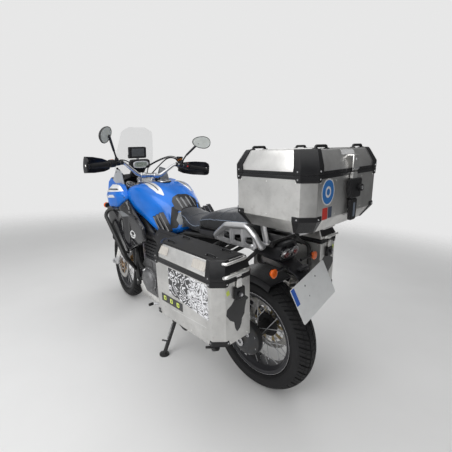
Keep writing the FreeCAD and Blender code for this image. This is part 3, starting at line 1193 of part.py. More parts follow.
def build():
    """All pieces by node name, on the upright motorcycle."""
    nodes = {}
    nodes.update(rear_wheel_parts())
    nodes.update(front_wheel_parts())
    nodes["rear_axle"] = axle(REAR_AXLE_R, REAR_AXLE_BORE_R, -RIGHT_ARM_OUT - 10, DRIVE_CASE_OUT,
                              24, REAR_AXLE)
    nodes["front_axle"] = axle(FRONT_AXLE_R, FRONT_AXLE_BORE_R, -FORK_HALF_TRACK - FORK_LUG_HALF,
                               FORK_HALF_TRACK + FORK_LUG_HALF, 18, FRONT_AXLE)
    nodes["fork"] = fork()
    nodes["handlebar"] = fit_around(handlebar(), nodes["fork"])
    nodes["bar_controls"] = Part.makeCompound(bar_controls())
    nodes["hand_guards"] = fit_around(Part.makeCompound(hand_guards()), nodes["handlebar"],
                                      nodes["bar_controls"])
    nodes["mirrors"] = fit_around(Part.makeCompound(mirrors()), nodes["handlebar"],
                                  nodes["bar_controls"])
    nodes["front_fender"] = fit_around(front_fender(), nodes["fork"])
    nodes["front_calipers"] = fit_around(Part.makeCompound(front_calipers()), nodes["fork"])

    chassis = frame().fuse(side_stand_bracket())
    nodes["frame"] = chassis
    nodes["engine"] = fit_around(engine(), chassis)
    nodes["exhaust"] = fit_around(exhaust(), nodes["engine"], chassis)
    nodes["skid_plate"] = fit_around(skid_plate(), nodes["engine"], nodes["exhaust"])
    nodes["final_drive"] = final_drive()
    nodes["swingarm"] = fit_around(swingarm(), nodes["final_drive"], chassis)
    nodes["rear_shock"] = fit_around(rear_shock(), chassis, nodes["swingarm"])
    nodes["rear_caliper"] = fit_around(rear_caliper(), nodes["swingarm"], nodes["rear_axle"])
    nodes["hugger"] = fit_around(hugger(), nodes["swingarm"], nodes["final_drive"])

    room = steering_room()
    nodes["fuel_tank"] = fit_around(fuel_tank(), chassis, nodes["engine"], room)
    bars = Part.makeCompound([crash_bar(1), crash_bar(-1)])
    nodes["crash_bars"] = fit_around(bars, chassis)
    nodes["radiator"] = fit_around(radiator(), chassis, nodes["crash_bars"], room)
    nodes["side_cowls"] = fit_around(both_sides(side_cowl()), nodes["fuel_tank"],
                                     nodes["crash_bars"], room)
    nodes["side_scoops"] = fit_around(both_sides(side_scoop()), nodes["side_cowls"],
                                      nodes["fuel_tank"], nodes["crash_bars"],
                                      nodes["radiator"], room)
    cowl, lamp_room = front_cowl()
    nodes["headlight"] = fit_around(headlight(), room)
    nodes["front_cowl"] = fit_around(cowl, lamp_room, nodes["headlight"], nodes["side_cowls"], room)
    nodes["tank_side_panels"] = fit_around(tank_side_panels(), nodes["side_cowls"],
                                           nodes["fuel_tank"], nodes["front_cowl"])
    nodes["windscreen"] = fit_around(windscreen(), nodes["front_cowl"], nodes["headlight"])
    nodes["instrument_cluster"] = fit_around(instrument_cluster(), nodes["front_cowl"],
                                             nodes["headlight"])
    nodes["navigation_unit"] = fit_around(navigation_unit(), nodes["instrument_cluster"])

    nodes["passenger_seat"] = fit_around(passenger_seat(), chassis)
    nodes["rider_seat"] = fit_around(rider_seat(), chassis, nodes["fuel_tank"],
                                     nodes["passenger_seat"])
    nodes["side_covers"] = fit_around(both_sides(side_covers()), chassis, nodes["rider_seat"])
    nodes["tail_unit"] = fit_around(tail_unit(), chassis, nodes["passenger_seat"])
    nodes["tail_lamp"] = fit_around(tail_lamp(), nodes["tail_unit"])
    nodes["indicators"] = fit_around(Part.makeCompound(indicators()), nodes["tail_unit"],
                                     nodes["side_cowls"], nodes["side_scoops"])
    rail = grab_rail().fuse(topcase_feet())
    nodes["grab_rail"] = fit_around(rail, chassis, nodes["passenger_seat"])
    racks = both_sides(pannier_racks())
    nodes["pannier_racks"] = fit_around(racks, chassis, nodes["grab_rail"])
    nodes["foot_pegs"] = fit_around(Part.makeCompound(foot_pegs()), chassis)
    nodes["passenger_pegs"] = fit_around(Part.makeCompound(passenger_pegs()), chassis)
    nodes["foot_levers"] = fit_around(Part.makeCompound(foot_levers()), chassis, nodes["engine"],
                                      nodes["foot_pegs"])

    nodes["pannier_left"], nodes["pannier_lid_left"] = pannier(1)
    nodes["pannier_right"], nodes["pannier_lid_right"] = pannier(-1)
    nodes["topcase"], nodes["topcase_lid"] = topcase()
    nodes["side_stand"] = side_stand()
    nodes["centre_stand"] = centre_stand()
    return nodes


STEERED = ("fork", "handlebar", "bar_controls", "hand_guards", "mirrors", "front_fender",
           "front_calipers", "front_axle", "front_wheel", "front_tyre", "front_discs")
NODES = build()
for name in STEERED:
    NODES[name].Placement = STEER_TURN.multiply(NODES[name].Placement)
for name, shape in NODES.items():
    placed = shape.copy()
    placed.Placement = PLACE.multiply(placed.Placement)
    placed.exportStep("parts/" + name + ".step")
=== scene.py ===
"""Adventure motorcycle with wire wheels, two side cases and a top case.

The pieces are drawn on the upright motorcycle in millimetres, X forward from the rear
axle, Y to the rider's left and Z up, and set on their stand by one placing matrix.
"""
from __future__ import annotations

import logging
import math
from dataclasses import dataclass, field
from enum import Enum
from typing import Callable, Sequence

import bmesh
import bpy
import numpy as np
from mathutils import Matrix, Vector
from mathutils.bvhtree import BVHTree
from mathutils.geometry import delaunay_2d_cdt

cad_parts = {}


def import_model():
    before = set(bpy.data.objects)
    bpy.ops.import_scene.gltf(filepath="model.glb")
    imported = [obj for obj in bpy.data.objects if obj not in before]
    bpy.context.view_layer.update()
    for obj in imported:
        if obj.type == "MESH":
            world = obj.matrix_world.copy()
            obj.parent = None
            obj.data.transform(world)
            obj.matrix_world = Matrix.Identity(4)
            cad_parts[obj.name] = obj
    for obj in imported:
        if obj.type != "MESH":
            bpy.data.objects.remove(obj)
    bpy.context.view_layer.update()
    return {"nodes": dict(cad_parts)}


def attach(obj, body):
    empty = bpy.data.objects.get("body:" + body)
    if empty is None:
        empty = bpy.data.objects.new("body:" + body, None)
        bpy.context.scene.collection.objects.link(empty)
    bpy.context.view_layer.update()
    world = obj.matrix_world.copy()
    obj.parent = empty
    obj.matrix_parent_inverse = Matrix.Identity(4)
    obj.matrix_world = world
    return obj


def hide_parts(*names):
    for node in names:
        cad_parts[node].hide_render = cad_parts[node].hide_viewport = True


LOG = logging.getLogger("motorcycle")

MM = 0.001
LEAN = math.radians(5.0)
CASTER = math.radians(28.0)
WHEELBASE = 1540.0
TRAIL = 126.0
FRONT_TYRE_R, FRONT_CROWN_R = 329.0, 55.0
TOPCASE_REAR = -432.0
GUARD_TIP = (960.0, 452.0, 1148.0)
REAR_AXLE = (0.0, 0.0, 321.0)
FRONT_AXLE = (WHEELBASE, 0.0, FRONT_TYRE_R)
STEER_FOOT = np.array((WHEELBASE + TRAIL, 0.0, 0.0))
STEER_AXIS = np.array((-math.sin(CASTER), 0.0, math.cos(CASTER)))
STEER_AHEAD = np.array((math.cos(CASTER), 0.0, math.sin(CASTER)))
STEER_REST = math.radians(-10.0)
STEER_SWEEP_R, STEER_FRONT_REACH = 153.0, 135.0
STEER_TURN = (
    Matrix.Translation(STEER_FOOT)
    @ Matrix.Rotation(STEER_REST, 4, Vector(STEER_AXIS))
    @ Matrix.Translation(-STEER_FOOT)
)
TURNED_AXLE, TURNED_TIP = STEER_TURN @ Vector(FRONT_AXLE), STEER_TURN @ Vector(GUARD_TIP)
SPIN_SHARE = (STEER_TURN.to_3x3() @ Vector((0.0, 1.0, 0.0))).x
FRONT_REACH = (TURNED_AXLE.x + FRONT_CROWN_R
               + (FRONT_TYRE_R - FRONT_CROWN_R) * math.sqrt(1.0 - SPIN_SHARE ** 2))
ORIGIN_X = (FRONT_REACH + TOPCASE_REAR) / 2.0
LEFT_REACH = TURNED_TIP.y * math.cos(LEAN) + TURNED_TIP.z * math.sin(LEAN)
RIGHT_REACH = -456.0 * math.cos(LEAN) + 505.0 * math.sin(LEAN)
ORIGIN_Y = (LEFT_REACH + RIGHT_REACH) / 2.0
WORLD_DROP = 75.0 * (1.0 - math.cos(LEAN))
PLACE = (
    Matrix.Translation((-ORIGIN_X * MM, -ORIGIN_Y * MM, WORLD_DROP * MM))
    @ Matrix.Rotation(-LEAN, 4, "X")
    @ Matrix.Scale(MM, 4)
)
STEERED_PLACE = PLACE @ STEER_TURN
SIDES = (1, -1)

Point = Sequence[float]


def steer_point(ahead: float, side: float, along: float) -> np.ndarray:
    """Point ahead of, beside and along the steering axis from the ground."""
    return STEER_FOOT + STEER_AXIS * along + STEER_AHEAD * ahead + np.array((0.0, side, 0.0))


def clear_of_steering(points: np.ndarray) -> np.ndarray:
    """Points moved out of the room that the turned yokes and fork legs sweep.

    Args:
        points: Rows of points.

    Returns:
        The moved points.
    """
    ahead, along = (points - STEER_FOOT) @ STEER_AHEAD, (points - STEER_FOOT) @ STEER_AXIS
    span = np.sqrt(np.maximum(STEER_SWEEP_R ** 2 - points[:, 1] ** 2, 0.0))
    front = np.minimum(span, STEER_FRONT_REACH)
    within = (along > 640.0) & (along < 1175.0) & (ahead < front) & (ahead > -span)
    shift = np.where(within, np.where(ahead > 0.0, front, -span) - ahead, 0.0) / STEER_AHEAD[0]
    return points + np.outer(shift, (1.0, 0.0, 0.0))


def unit(vector: np.ndarray) -> np.ndarray:
    """The vector at length one."""
    return vector / max(float(np.linalg.norm(vector)), 1e-9)


def smoothstep(value: np.ndarray, low: float, high: float) -> np.ndarray:
    """Smooth ramp of an array from 0 at low to 1 at high."""
    share = np.clip((value - low) / (high - low), 0.0, 1.0)
    return share * share * (3.0 - 2.0 * share)


# Materials


class Signal:
    """A number that varies over a surface; arithmetic on it adds Math nodes."""

    def __init__(self, bench: Bench, socket: bpy.types.NodeSocket) -> None:
        """Wrap one output socket of a bench's node tree."""
        self.bench = bench
        self.socket = socket

    def _math(self, operation: str, first: SignalLike, second: SignalLike = 0.0,
              clamp: bool = False) -> Signal:
        """Add one Math node.

        Args:
            operation: The node's operation.
            first: First operand.
            second: Second operand.
            clamp: Whether the result is kept between 0 and 1.

        Returns:
            The node's value.
        """
        node = self.bench.node("ShaderNodeMath", {"operation": operation, "use_clamp": clamp},
                               {0: first, 1: second})
        return Signal(self.bench, node.outputs[0])

    def __add__(self, other: SignalLike) -> Signal:
        """Sum."""
        return self._math("ADD", self, other)

    def __radd__(self, other: SignalLike) -> Signal:
        """Sum with a number first."""
        return self._math("ADD", other, self)

    def __sub__(self, other: SignalLike) -> Signal:
        """Difference."""
        return self._math("SUBTRACT", self, other)

    def __rsub__(self, other: SignalLike) -> Signal:
        """Difference from a number."""
        return self._math("SUBTRACT", other, self)

    def __mul__(self, other: SignalLike) -> Signal:
        """Product."""
        return self._math("MULTIPLY", self, other)

    def __rmul__(self, other: SignalLike) -> Signal:
        """Product with a number first."""
        return self._math("MULTIPLY", other, self)

    def __truediv__(self, other: SignalLike) -> Signal:
        """Quotient."""
        return self._math("DIVIDE", self, other)

    def __pow__(self, other: SignalLike) -> Signal:
        """Power."""
        return self._math("POWER", self, other)

    def __gt__(self, other: SignalLike) -> Signal:
        """1 where this is the greater."""
        return self._math("GREATER_THAN", self, other)

    def __lt__(self, other: SignalLike) -> Signal:
        """1 where this is the smaller."""
        return self._math("LESS_THAN", self, other)

    def sine(self) -> Signal:
        """Sine of the value in radians."""
        return self._math("SINE", self)

    def fraction(self) -> Signal:
        """Part after the decimal point."""
        return self._math("FRACT", self)

    def size(self) -> Signal:
        """Absolute value."""
        return self._math("ABSOLUTE", self)

    def clamp(self) -> Signal:
        """The value kept between 0 and 1."""
        return self._math("ADD", self, 0.0, clamp=True)

    def ramp(self, low: float, high: float) -> Signal:
        """Smooth ramp from 0 at low to 1 at high.

        Args:
            low: Value at which it starts.
            high: Value at which it ends.

        Returns:
            The ramp.
        """
        node = self.bench.node("ShaderNodeMapRange", {"interpolation_type": "SMOOTHSTEP"},
                               {0: self, 1: low, 2: high, 3: 0.0, 4: 1.0})
        return Signal(self.bench, node.outputs[0])


SignalLike = Signal | float
Colour = tuple[float, float, float]


class Bench:
    """The node tree of one material and its Principled shader."""

    def __init__(self, name: str) -> None:
        """Start a material with nothing but its shader and output."""
        self.material = bpy.data.materials.new(name)
        self.material.use_nodes = True
        self.tree = self.material.node_tree
        self.tree.nodes.clear()
        self.shader = self.node("ShaderNodeBsdfPrincipled")
        output = self.node("ShaderNodeOutputMaterial")
        self.tree.links.new(self.shader.outputs[0], output.inputs[0])
        self.place = self.node("ShaderNodeTexCoord").outputs["Object"]

    def node(self, kind: str, settings: dict | None = None,
             inputs: dict | None = None) -> bpy.types.Node:
        """Add any node.

        Args:
            kind: The node's type.
            settings: Its properties; ``stops`` are a colour ramp's places and colours.
            inputs: Values or links by socket name or number.

        Returns:
            The node.
        """
        made = self.tree.nodes.new(kind)
        for key, value in (settings or {}).items():
            if key == "stops":
                ramp = made.color_ramp
                while len(ramp.elements) < len(value):
                    ramp.elements.new(0.5)
                for element, (place, colour) in zip(ramp.elements, value):
                    element.position = place
                    element.color = (*colour, 1.0)
            else:
                setattr(made, key, value)
        for key, value in (inputs or {}).items():
            self.feed(made.inputs[key], value)
        return made

    def feed(self, socket: bpy.types.NodeSocket, value: object) -> None:
        """Set a socket to a number or colour, or link it to a signal or output.

        Args:
            socket: The shader input.
            value: Number, colour, signal or output.
        """
        if isinstance(value, Signal):
            self.tree.links.new(value.socket, socket)
        elif isinstance(value, bpy.types.NodeSocket):
            self.tree.links.new(value, socket)
        elif isinstance(value, tuple) and socket.type == "RGBA":
            socket.default_value = (*value[:3], 1.0)
        else:
            socket.default_value = value

    def stretched(self, scale: Point) -> bpy.types.NodeSocket:
        """The surface's place with each axis scaled, for grain that runs one way."""
        node = self.node("ShaderNodeMapping", {}, {"Vector": self.place, "Scale": tuple(scale)})
        return node.outputs[0]

    def noise(self, scale: float, detail: float = 3.0, roughness: float = 0.5,
              along: Point | None = None) -> Signal:
        """Fractal noise per metre.

        Args:
            scale: Features per metre.
            detail: Octaves.
            roughness: Strength of the finer octaves.
            along: Scale of each axis, for stretched grain.

        Returns:
            A value near 0.5.
        """
        place = self.stretched(along) if along else self.place
        node = self.node("ShaderNodeTexNoise", {},
                         {"Vector": place, "Scale": scale, "Detail": detail,
                          "Roughness": roughness})
        return Signal(self, node.outputs["Fac"])

    def cells(self, scale: float, feature: str = "F1", output: str = "Distance") -> Signal:
        """Voronoi cells per metre.

        Args:
            scale: Cells per metre.
            feature: Which distance is used.
            output: Name of the output that is read.

        Returns:
            The cells' signal.
        """
        node = self.node("ShaderNodeTexVoronoi", {"feature": feature},
                         {"Vector": self.place, "Scale": scale})
        return Signal(self, node.outputs[output])

    def axis(self, name: str) -> Signal:
        """One coordinate of the surface's place in the row frame, in metres."""
        node = self.node("ShaderNodeSeparateXYZ", {}, {0: self.place})
        return Signal(self, node.outputs[name])

    def edges(self) -> Signal:
        """1 on convex edges, 0 on flats."""
        node = self.node("ShaderNodeNewGeometry")
        return Signal(self, node.outputs["Pointiness"]).ramp(0.52, 0.6)

    def mix(self, share: SignalLike, first: object, second: object) -> bpy.types.NodeSocket:
        """Colour between two colours."""
        node = self.node("ShaderNodeMix", {"data_type": "RGBA"}, {0: share, 6: first, 7: second})
        return node.outputs[2]

    def bump(self, height: Signal, strength: float, distance: float = 0.001) -> None:
        """Feed a height into the shader's normal.

        Args:
            height: Signal of the height.
            strength: Share of the height that counts.
            distance: Height in metres.
        """
        node = self.node("ShaderNodeBump", {}, {"Strength": strength, "Distance": distance,
                                                "Height": height})
        self.set(Normal=node.outputs[0])

    def set(self, **sockets: object) -> None:
        """Feed the shader's sockets; underscores in names stand for spaces."""
        for key, value in sockets.items():
            self.feed(self.shader.inputs[key.replace("_", " ")], value)


@dataclass(frozen=True)
class Finish:
    """A surface finish; each subclass dresses its bench in its own way."""

    name: str
    colour: Colour
    roughness: float = 0.5

    def material(self) -> bpy.types.Material:
        """The finish's one material, made on first use.

        Returns:
            The material.
        """
        found = bpy.data.materials.get(self.name)
        if found is None:
            bench = Bench(self.name)
            self.dress(bench)
            found = bench.material
        return found

    def dress(self, bench: Bench) -> None:
        """Fill the bench with this finish's nodes."""
        raise NotImplementedError


@dataclass(frozen=True)
class Paint(Finish):
    """Sprayed paint under a clear coat, with fine flake when it is metallic."""

    flake: float = 0.0
    coat: float = 1.0

    def dress(self, bench: Bench) -> None:
        """Colour drift, flake sparkle and a faint orange peel.

        Args:
            bench: The shader's bench.
        """
        drift = bench.noise(6.0, 2.0)
        sparkle = bench.cells(2600.0, output="Color") if self.flake else drift
        dark = tuple(c * 0.82 for c in self.colour)
        light = tuple(min(1.0, c * 1.18) for c in self.colour)
        base = bench.mix(drift.ramp(0.3, 0.7), dark, light)
        if self.flake:
            glint = tuple(min(1.0, c * 1.5 + 0.01) for c in self.colour)
            base = bench.mix((sparkle.ramp(0.55, 0.95)) * self.flake, base, glint)
        dust = bench.noise(140.0, 4.0, 0.7).ramp(0.5, 0.8)
        bench.set(Base_Color=base, Metallic=self.flake * 0.9,
                  Roughness=self.roughness + dust * 0.05,
                  Specular_IOR_Level=0.35, Coat_Weight=self.coat, Coat_Roughness=0.04)
        bench.bump(bench.noise(420.0, 2.0), 0.02)


@dataclass(frozen=True)
class Plastic(Finish):
    """Moulded plastic: grained where it is matt, smooth where it is glossy."""

    grain: float = 0.25
    coat: float = 0.0

    def dress(self, bench: Bench) -> None:
        """Fine moulded grain, dust in it and pale rubbed edges.

        Args:
            bench: The shader's bench.
        """
        dust = bench.noise(22.0, 5.0, 0.65).ramp(0.35, 0.8)
        pale = tuple(c * 1.4 + 0.005 for c in self.colour)
        base = bench.mix(dust * 0.5, self.colour, pale)
        rubbed = tuple(c * 1.6 + 0.014 for c in self.colour)
        base = bench.mix(bench.edges() * 0.35, base, rubbed)
        bench.set(Base_Color=base, Roughness=(self.roughness - 0.06) + dust * 0.14,
                  Specular_IOR_Level=0.36, Coat_Weight=self.coat, Coat_Roughness=0.08)
        bench.bump(bench.cells(1500.0), self.grain, 0.0004)


@dataclass(frozen=True)
class Metal(Finish):
    """Bare, ground or cast metal with grain along one axis and rubbed edges."""

    grain: tuple[float, float, float] = (60.0, 1500.0, 1500.0)
    depth: float = 0.08
    stain: Colour = (0.2, 0.18, 0.16)
    stains: float = 0.25
    metallic: float = 1.0

    def dress(self, bench: Bench) -> None:
        """Grain in the roughness, clouded tone and grime.

        Args:
            bench: The shader's bench.
        """
        grain = bench.noise(1.0, 3.0, 0.6, self.grain)
        cloud = bench.noise(9.0, 4.0, 0.6)
        grime = bench.noise(38.0, 6.0, 0.7).ramp(0.52, 0.78)
        light = tuple(min(1.0, c * 1.12) for c in self.colour)
        dark = tuple(c * 0.84 for c in self.colour)
        base = bench.mix(cloud.ramp(0.3, 0.7), dark, light)
        base = bench.mix(grime * self.stains, base, self.stain)
        base = bench.mix(bench.edges() * 0.4, base, light)
        bench.set(Base_Color=base, Metallic=self.metallic,
                  Roughness=(self.roughness - 0.06) + grain * 0.12 + grime * 0.12)
        bench.bump(grain, self.depth, 0.0006)


@dataclass(frozen=True)
class Cast(Metal):
    """Sand-cast metal, painted or bare, with a pebbled skin."""

    pebble: float = 900.0

    def dress(self, bench: Bench) -> None:
        """Pebbled skin with grime in the hollows.

        Args:
            bench: The shader's bench.
        """
        skin = bench.noise(self.pebble, 3.0, 0.6)
        grime = bench.noise(30.0, 6.0, 0.7).ramp(0.45, 0.75)
        base = bench.mix(grime * self.stains, self.colour, self.stain)
        light = tuple(min(1.0, c * 1.35 + 0.02) for c in self.colour)
        base = bench.mix(bench.edges() * 0.5, base, light)
        bench.set(Base_Color=base, Metallic=self.metallic,
                  Roughness=self.roughness + grime * 0.15)
        bench.bump(skin, self.depth, 0.0006)


@dataclass(frozen=True)
class Ground(Metal):
    """Brake disc steel, ground in rings round an axle."""

    centre: tuple[float, float] = (0.0, 0.0)

    def dress(self, bench: Bench) -> None:
        """Ring-wise grinding marks and a blued band.

        Args:
            bench: The shader's bench.
        """
        east = bench.axis("X") - self.centre[0]
        up = bench.axis("Z") - self.centre[1]
        radius = (east * east + up * up) ** 0.5
        rings = bench.node("ShaderNodeTexNoise", {"noise_dimensions": "1D"},
                           {"W": radius, "Scale": 2600.0, "Detail": 4.0})
        scoring = Signal(bench, rings.outputs["Fac"])
        blued = bench.noise(14.0, 3.0).ramp(0.45, 0.75)
        base = bench.mix(blued * 0.3, self.colour, self.stain)
        bench.set(Base_Color=base, Metallic=1.0,
                  Roughness=(self.roughness - 0.1) + scoring * 0.22)
        bench.bump(scoring, 0.12, 0.0004)


@dataclass(frozen=True)
class HeatedSteel(Metal):
    """Exhaust steel that turns straw and blue near the engine."""

    hot_x: float = 0.2

    def dress(self, bench: Bench) -> None:
        """Brushed steel with heat colours forward of hot_x.

        Args:
            bench: The shader's bench.
        """
        grain = bench.noise(1.0, 3.0, 0.6, self.grain)
        heat = (bench.axis("X") + bench.noise(7.0, 3.0) * 0.25).ramp(self.hot_x, self.hot_x + 0.35)
        tint = bench.node("ShaderNodeValToRGB", {"stops": [
            (0.0, self.colour), (0.35, (0.5, 0.4, 0.24)), (0.62, (0.3, 0.2, 0.24)),
            (0.85, (0.12, 0.14, 0.24)), (1.0, (0.2, 0.17, 0.15))]}, {0: heat})
        soot = bench.noise(45.0, 5.0, 0.7).ramp(0.55, 0.8)
        base = bench.mix(soot * self.stains, tint.outputs[0], self.stain)
        bench.set(Base_Color=base, Metallic=1.0,
                  Roughness=(self.roughness - 0.05) + grain * 0.12 + soot * 0.1)
        bench.bump(grain, self.depth, 0.0005)


@dataclass(frozen=True)
class Rubber(Finish):
    """Tyre or grip rubber with bloom and road dust."""

    dust: float = 0.3

    def dress(self, bench: Bench) -> None:
        """Dusty grooves and a dull skin.

        Args:
            bench: The shader's bench.
        """
        bloom = bench.noise(18.0, 5.0, 0.7).ramp(0.4, 0.75)
        fine = bench.noise(700.0, 3.0, 0.6)
        pale = (0.06, 0.056, 0.051)
        base = bench.mix(bloom * self.dust, self.colour, pale)
        bench.set(Base_Color=base, Roughness=self.roughness + bloom * 0.12,
                  Specular_IOR_Level=0.28)
        bench.bump(fine, 0.12, 0.0006)


@dataclass(frozen=True)
class Vinyl(Finish):
    """Cover of the seats with a leather-like grain."""

    def dress(self, bench: Bench) -> None:
        """Pebbled grain, creases and worn places.

        Args:
            bench: The shader's bench.
        """
        grain = bench.cells(620.0, "DISTANCE_TO_EDGE").ramp(0.0, 0.25)
        wear = bench.noise(7.0, 3.0).ramp(0.42, 0.72)
        worn = tuple(c * 1.35 + 0.012 for c in self.colour)
        base = bench.mix(wear * 0.7, self.colour, worn)
        bench.set(Base_Color=base, Roughness=self.roughness - wear * 0.1,
                  Sheen_Weight=0.12, Sheen_Roughness=0.4)
        bench.bump(grain + bench.noise(240.0, 3.0) * 0.5, 0.16, 0.0005)


@dataclass(frozen=True)
class Clear(Finish):
    """Clear or tinted glass and acrylic."""

    index: float = 1.45
    alpha: float = 1.0
    moulded: float = 0.0

    def dress(self, bench: Bench) -> None:
        """A see-through body with faint dust, or moulded optics.

        Args:
            bench: The shader's bench.
        """
        dust = bench.noise(60.0, 6.0, 0.7).ramp(0.5, 0.85)
        tint = bench.mix(dust * 0.25, self.colour, tuple(min(1.0, c + 0.05) for c in self.colour))
        bench.set(Base_Color=tint, Roughness=self.roughness + dust * 0.05,
                  Transmission_Weight=1.0, IOR=self.index)
        if self.alpha < 1.0:
            bench.set(Alpha=self.alpha + dust * 0.06)
        if self.moulded:
            flutes = (bench.axis("Y") * self.moulded).sine() * (bench.axis("Z") * self.moulded).sine()
            bench.bump(flutes, 0.5, 0.002)


@dataclass(frozen=True)
class Print(Finish):
    """Printed film: flat colour, or a pattern of two colours."""

    second: Colour = (0.02, 0.02, 0.02)
    pattern: str = "plain"
    turn_x: float = 0.0

    def dress(self, bench: Bench) -> None:
        """Film colour with a little fading, or contour lines and speckles.

        Args:
            bench: The shader's bench.
        """
        fade = bench.noise(24.0, 4.0).ramp(0.4, 0.8)
        share: SignalLike = fade * 0.08
        if self.pattern == "contours":
            relief = bench.noise(17.0, 2.0, 0.5)
            lines = ((relief * 9.0).fraction() - 0.5).size() * 2.0
            fine = ((bench.noise(26.0, 3.0, 0.6) * 6.0).fraction() - 0.5).size() * 2.0
            east = bench.axis("X")
            dark = (east + relief * 0.12).ramp(self.turn_x - 0.01, self.turn_x + 0.01)
            strokes = lines.ramp(0.62, 0.72).clamp()
            pale = (lines.ramp(0.78, 0.88) + fine.ramp(0.74, 0.84) * 0.7).clamp()
            share = ((1.0 - strokes) * dark + pale * (1.0 - dark)).clamp()
        if self.pattern == "brushed":
            share = bench.noise(1.0, 4.0, 0.6, (500.0, 30.0, 30.0)).ramp(0.35, 0.7) * 0.5
        bench.set(Base_Color=bench.mix(share, self.colour, self.second),
                  Roughness=self.roughness + fade * 0.08, Coat_Weight=0.2)
        bench.bump(bench.noise(300.0, 2.0), 0.03)


@dataclass(frozen=True)
class Display(Finish):
    """Dark screen glass that glows faintly where it is lit."""

    glow: float = 0.0

    def dress(self, bench: Bench) -> None:
        """Glass with segments behind it.

        Args:
            bench: The shader's bench.
        """
        haze = bench.noise(90.0, 3.0).ramp(0.4, 0.8)
        base = bench.mix(haze * 0.3, self.colour, tuple(c * 1.4 + 0.01 for c in self.colour))
        bench.set(Base_Color=base, Roughness=self.roughness + haze * 0.05, Coat_Weight=0.6,
                  Coat_Roughness=0.03)
        if self.glow:
            bench.set(Emission_Color=base, Emission_Strength=self.glow)


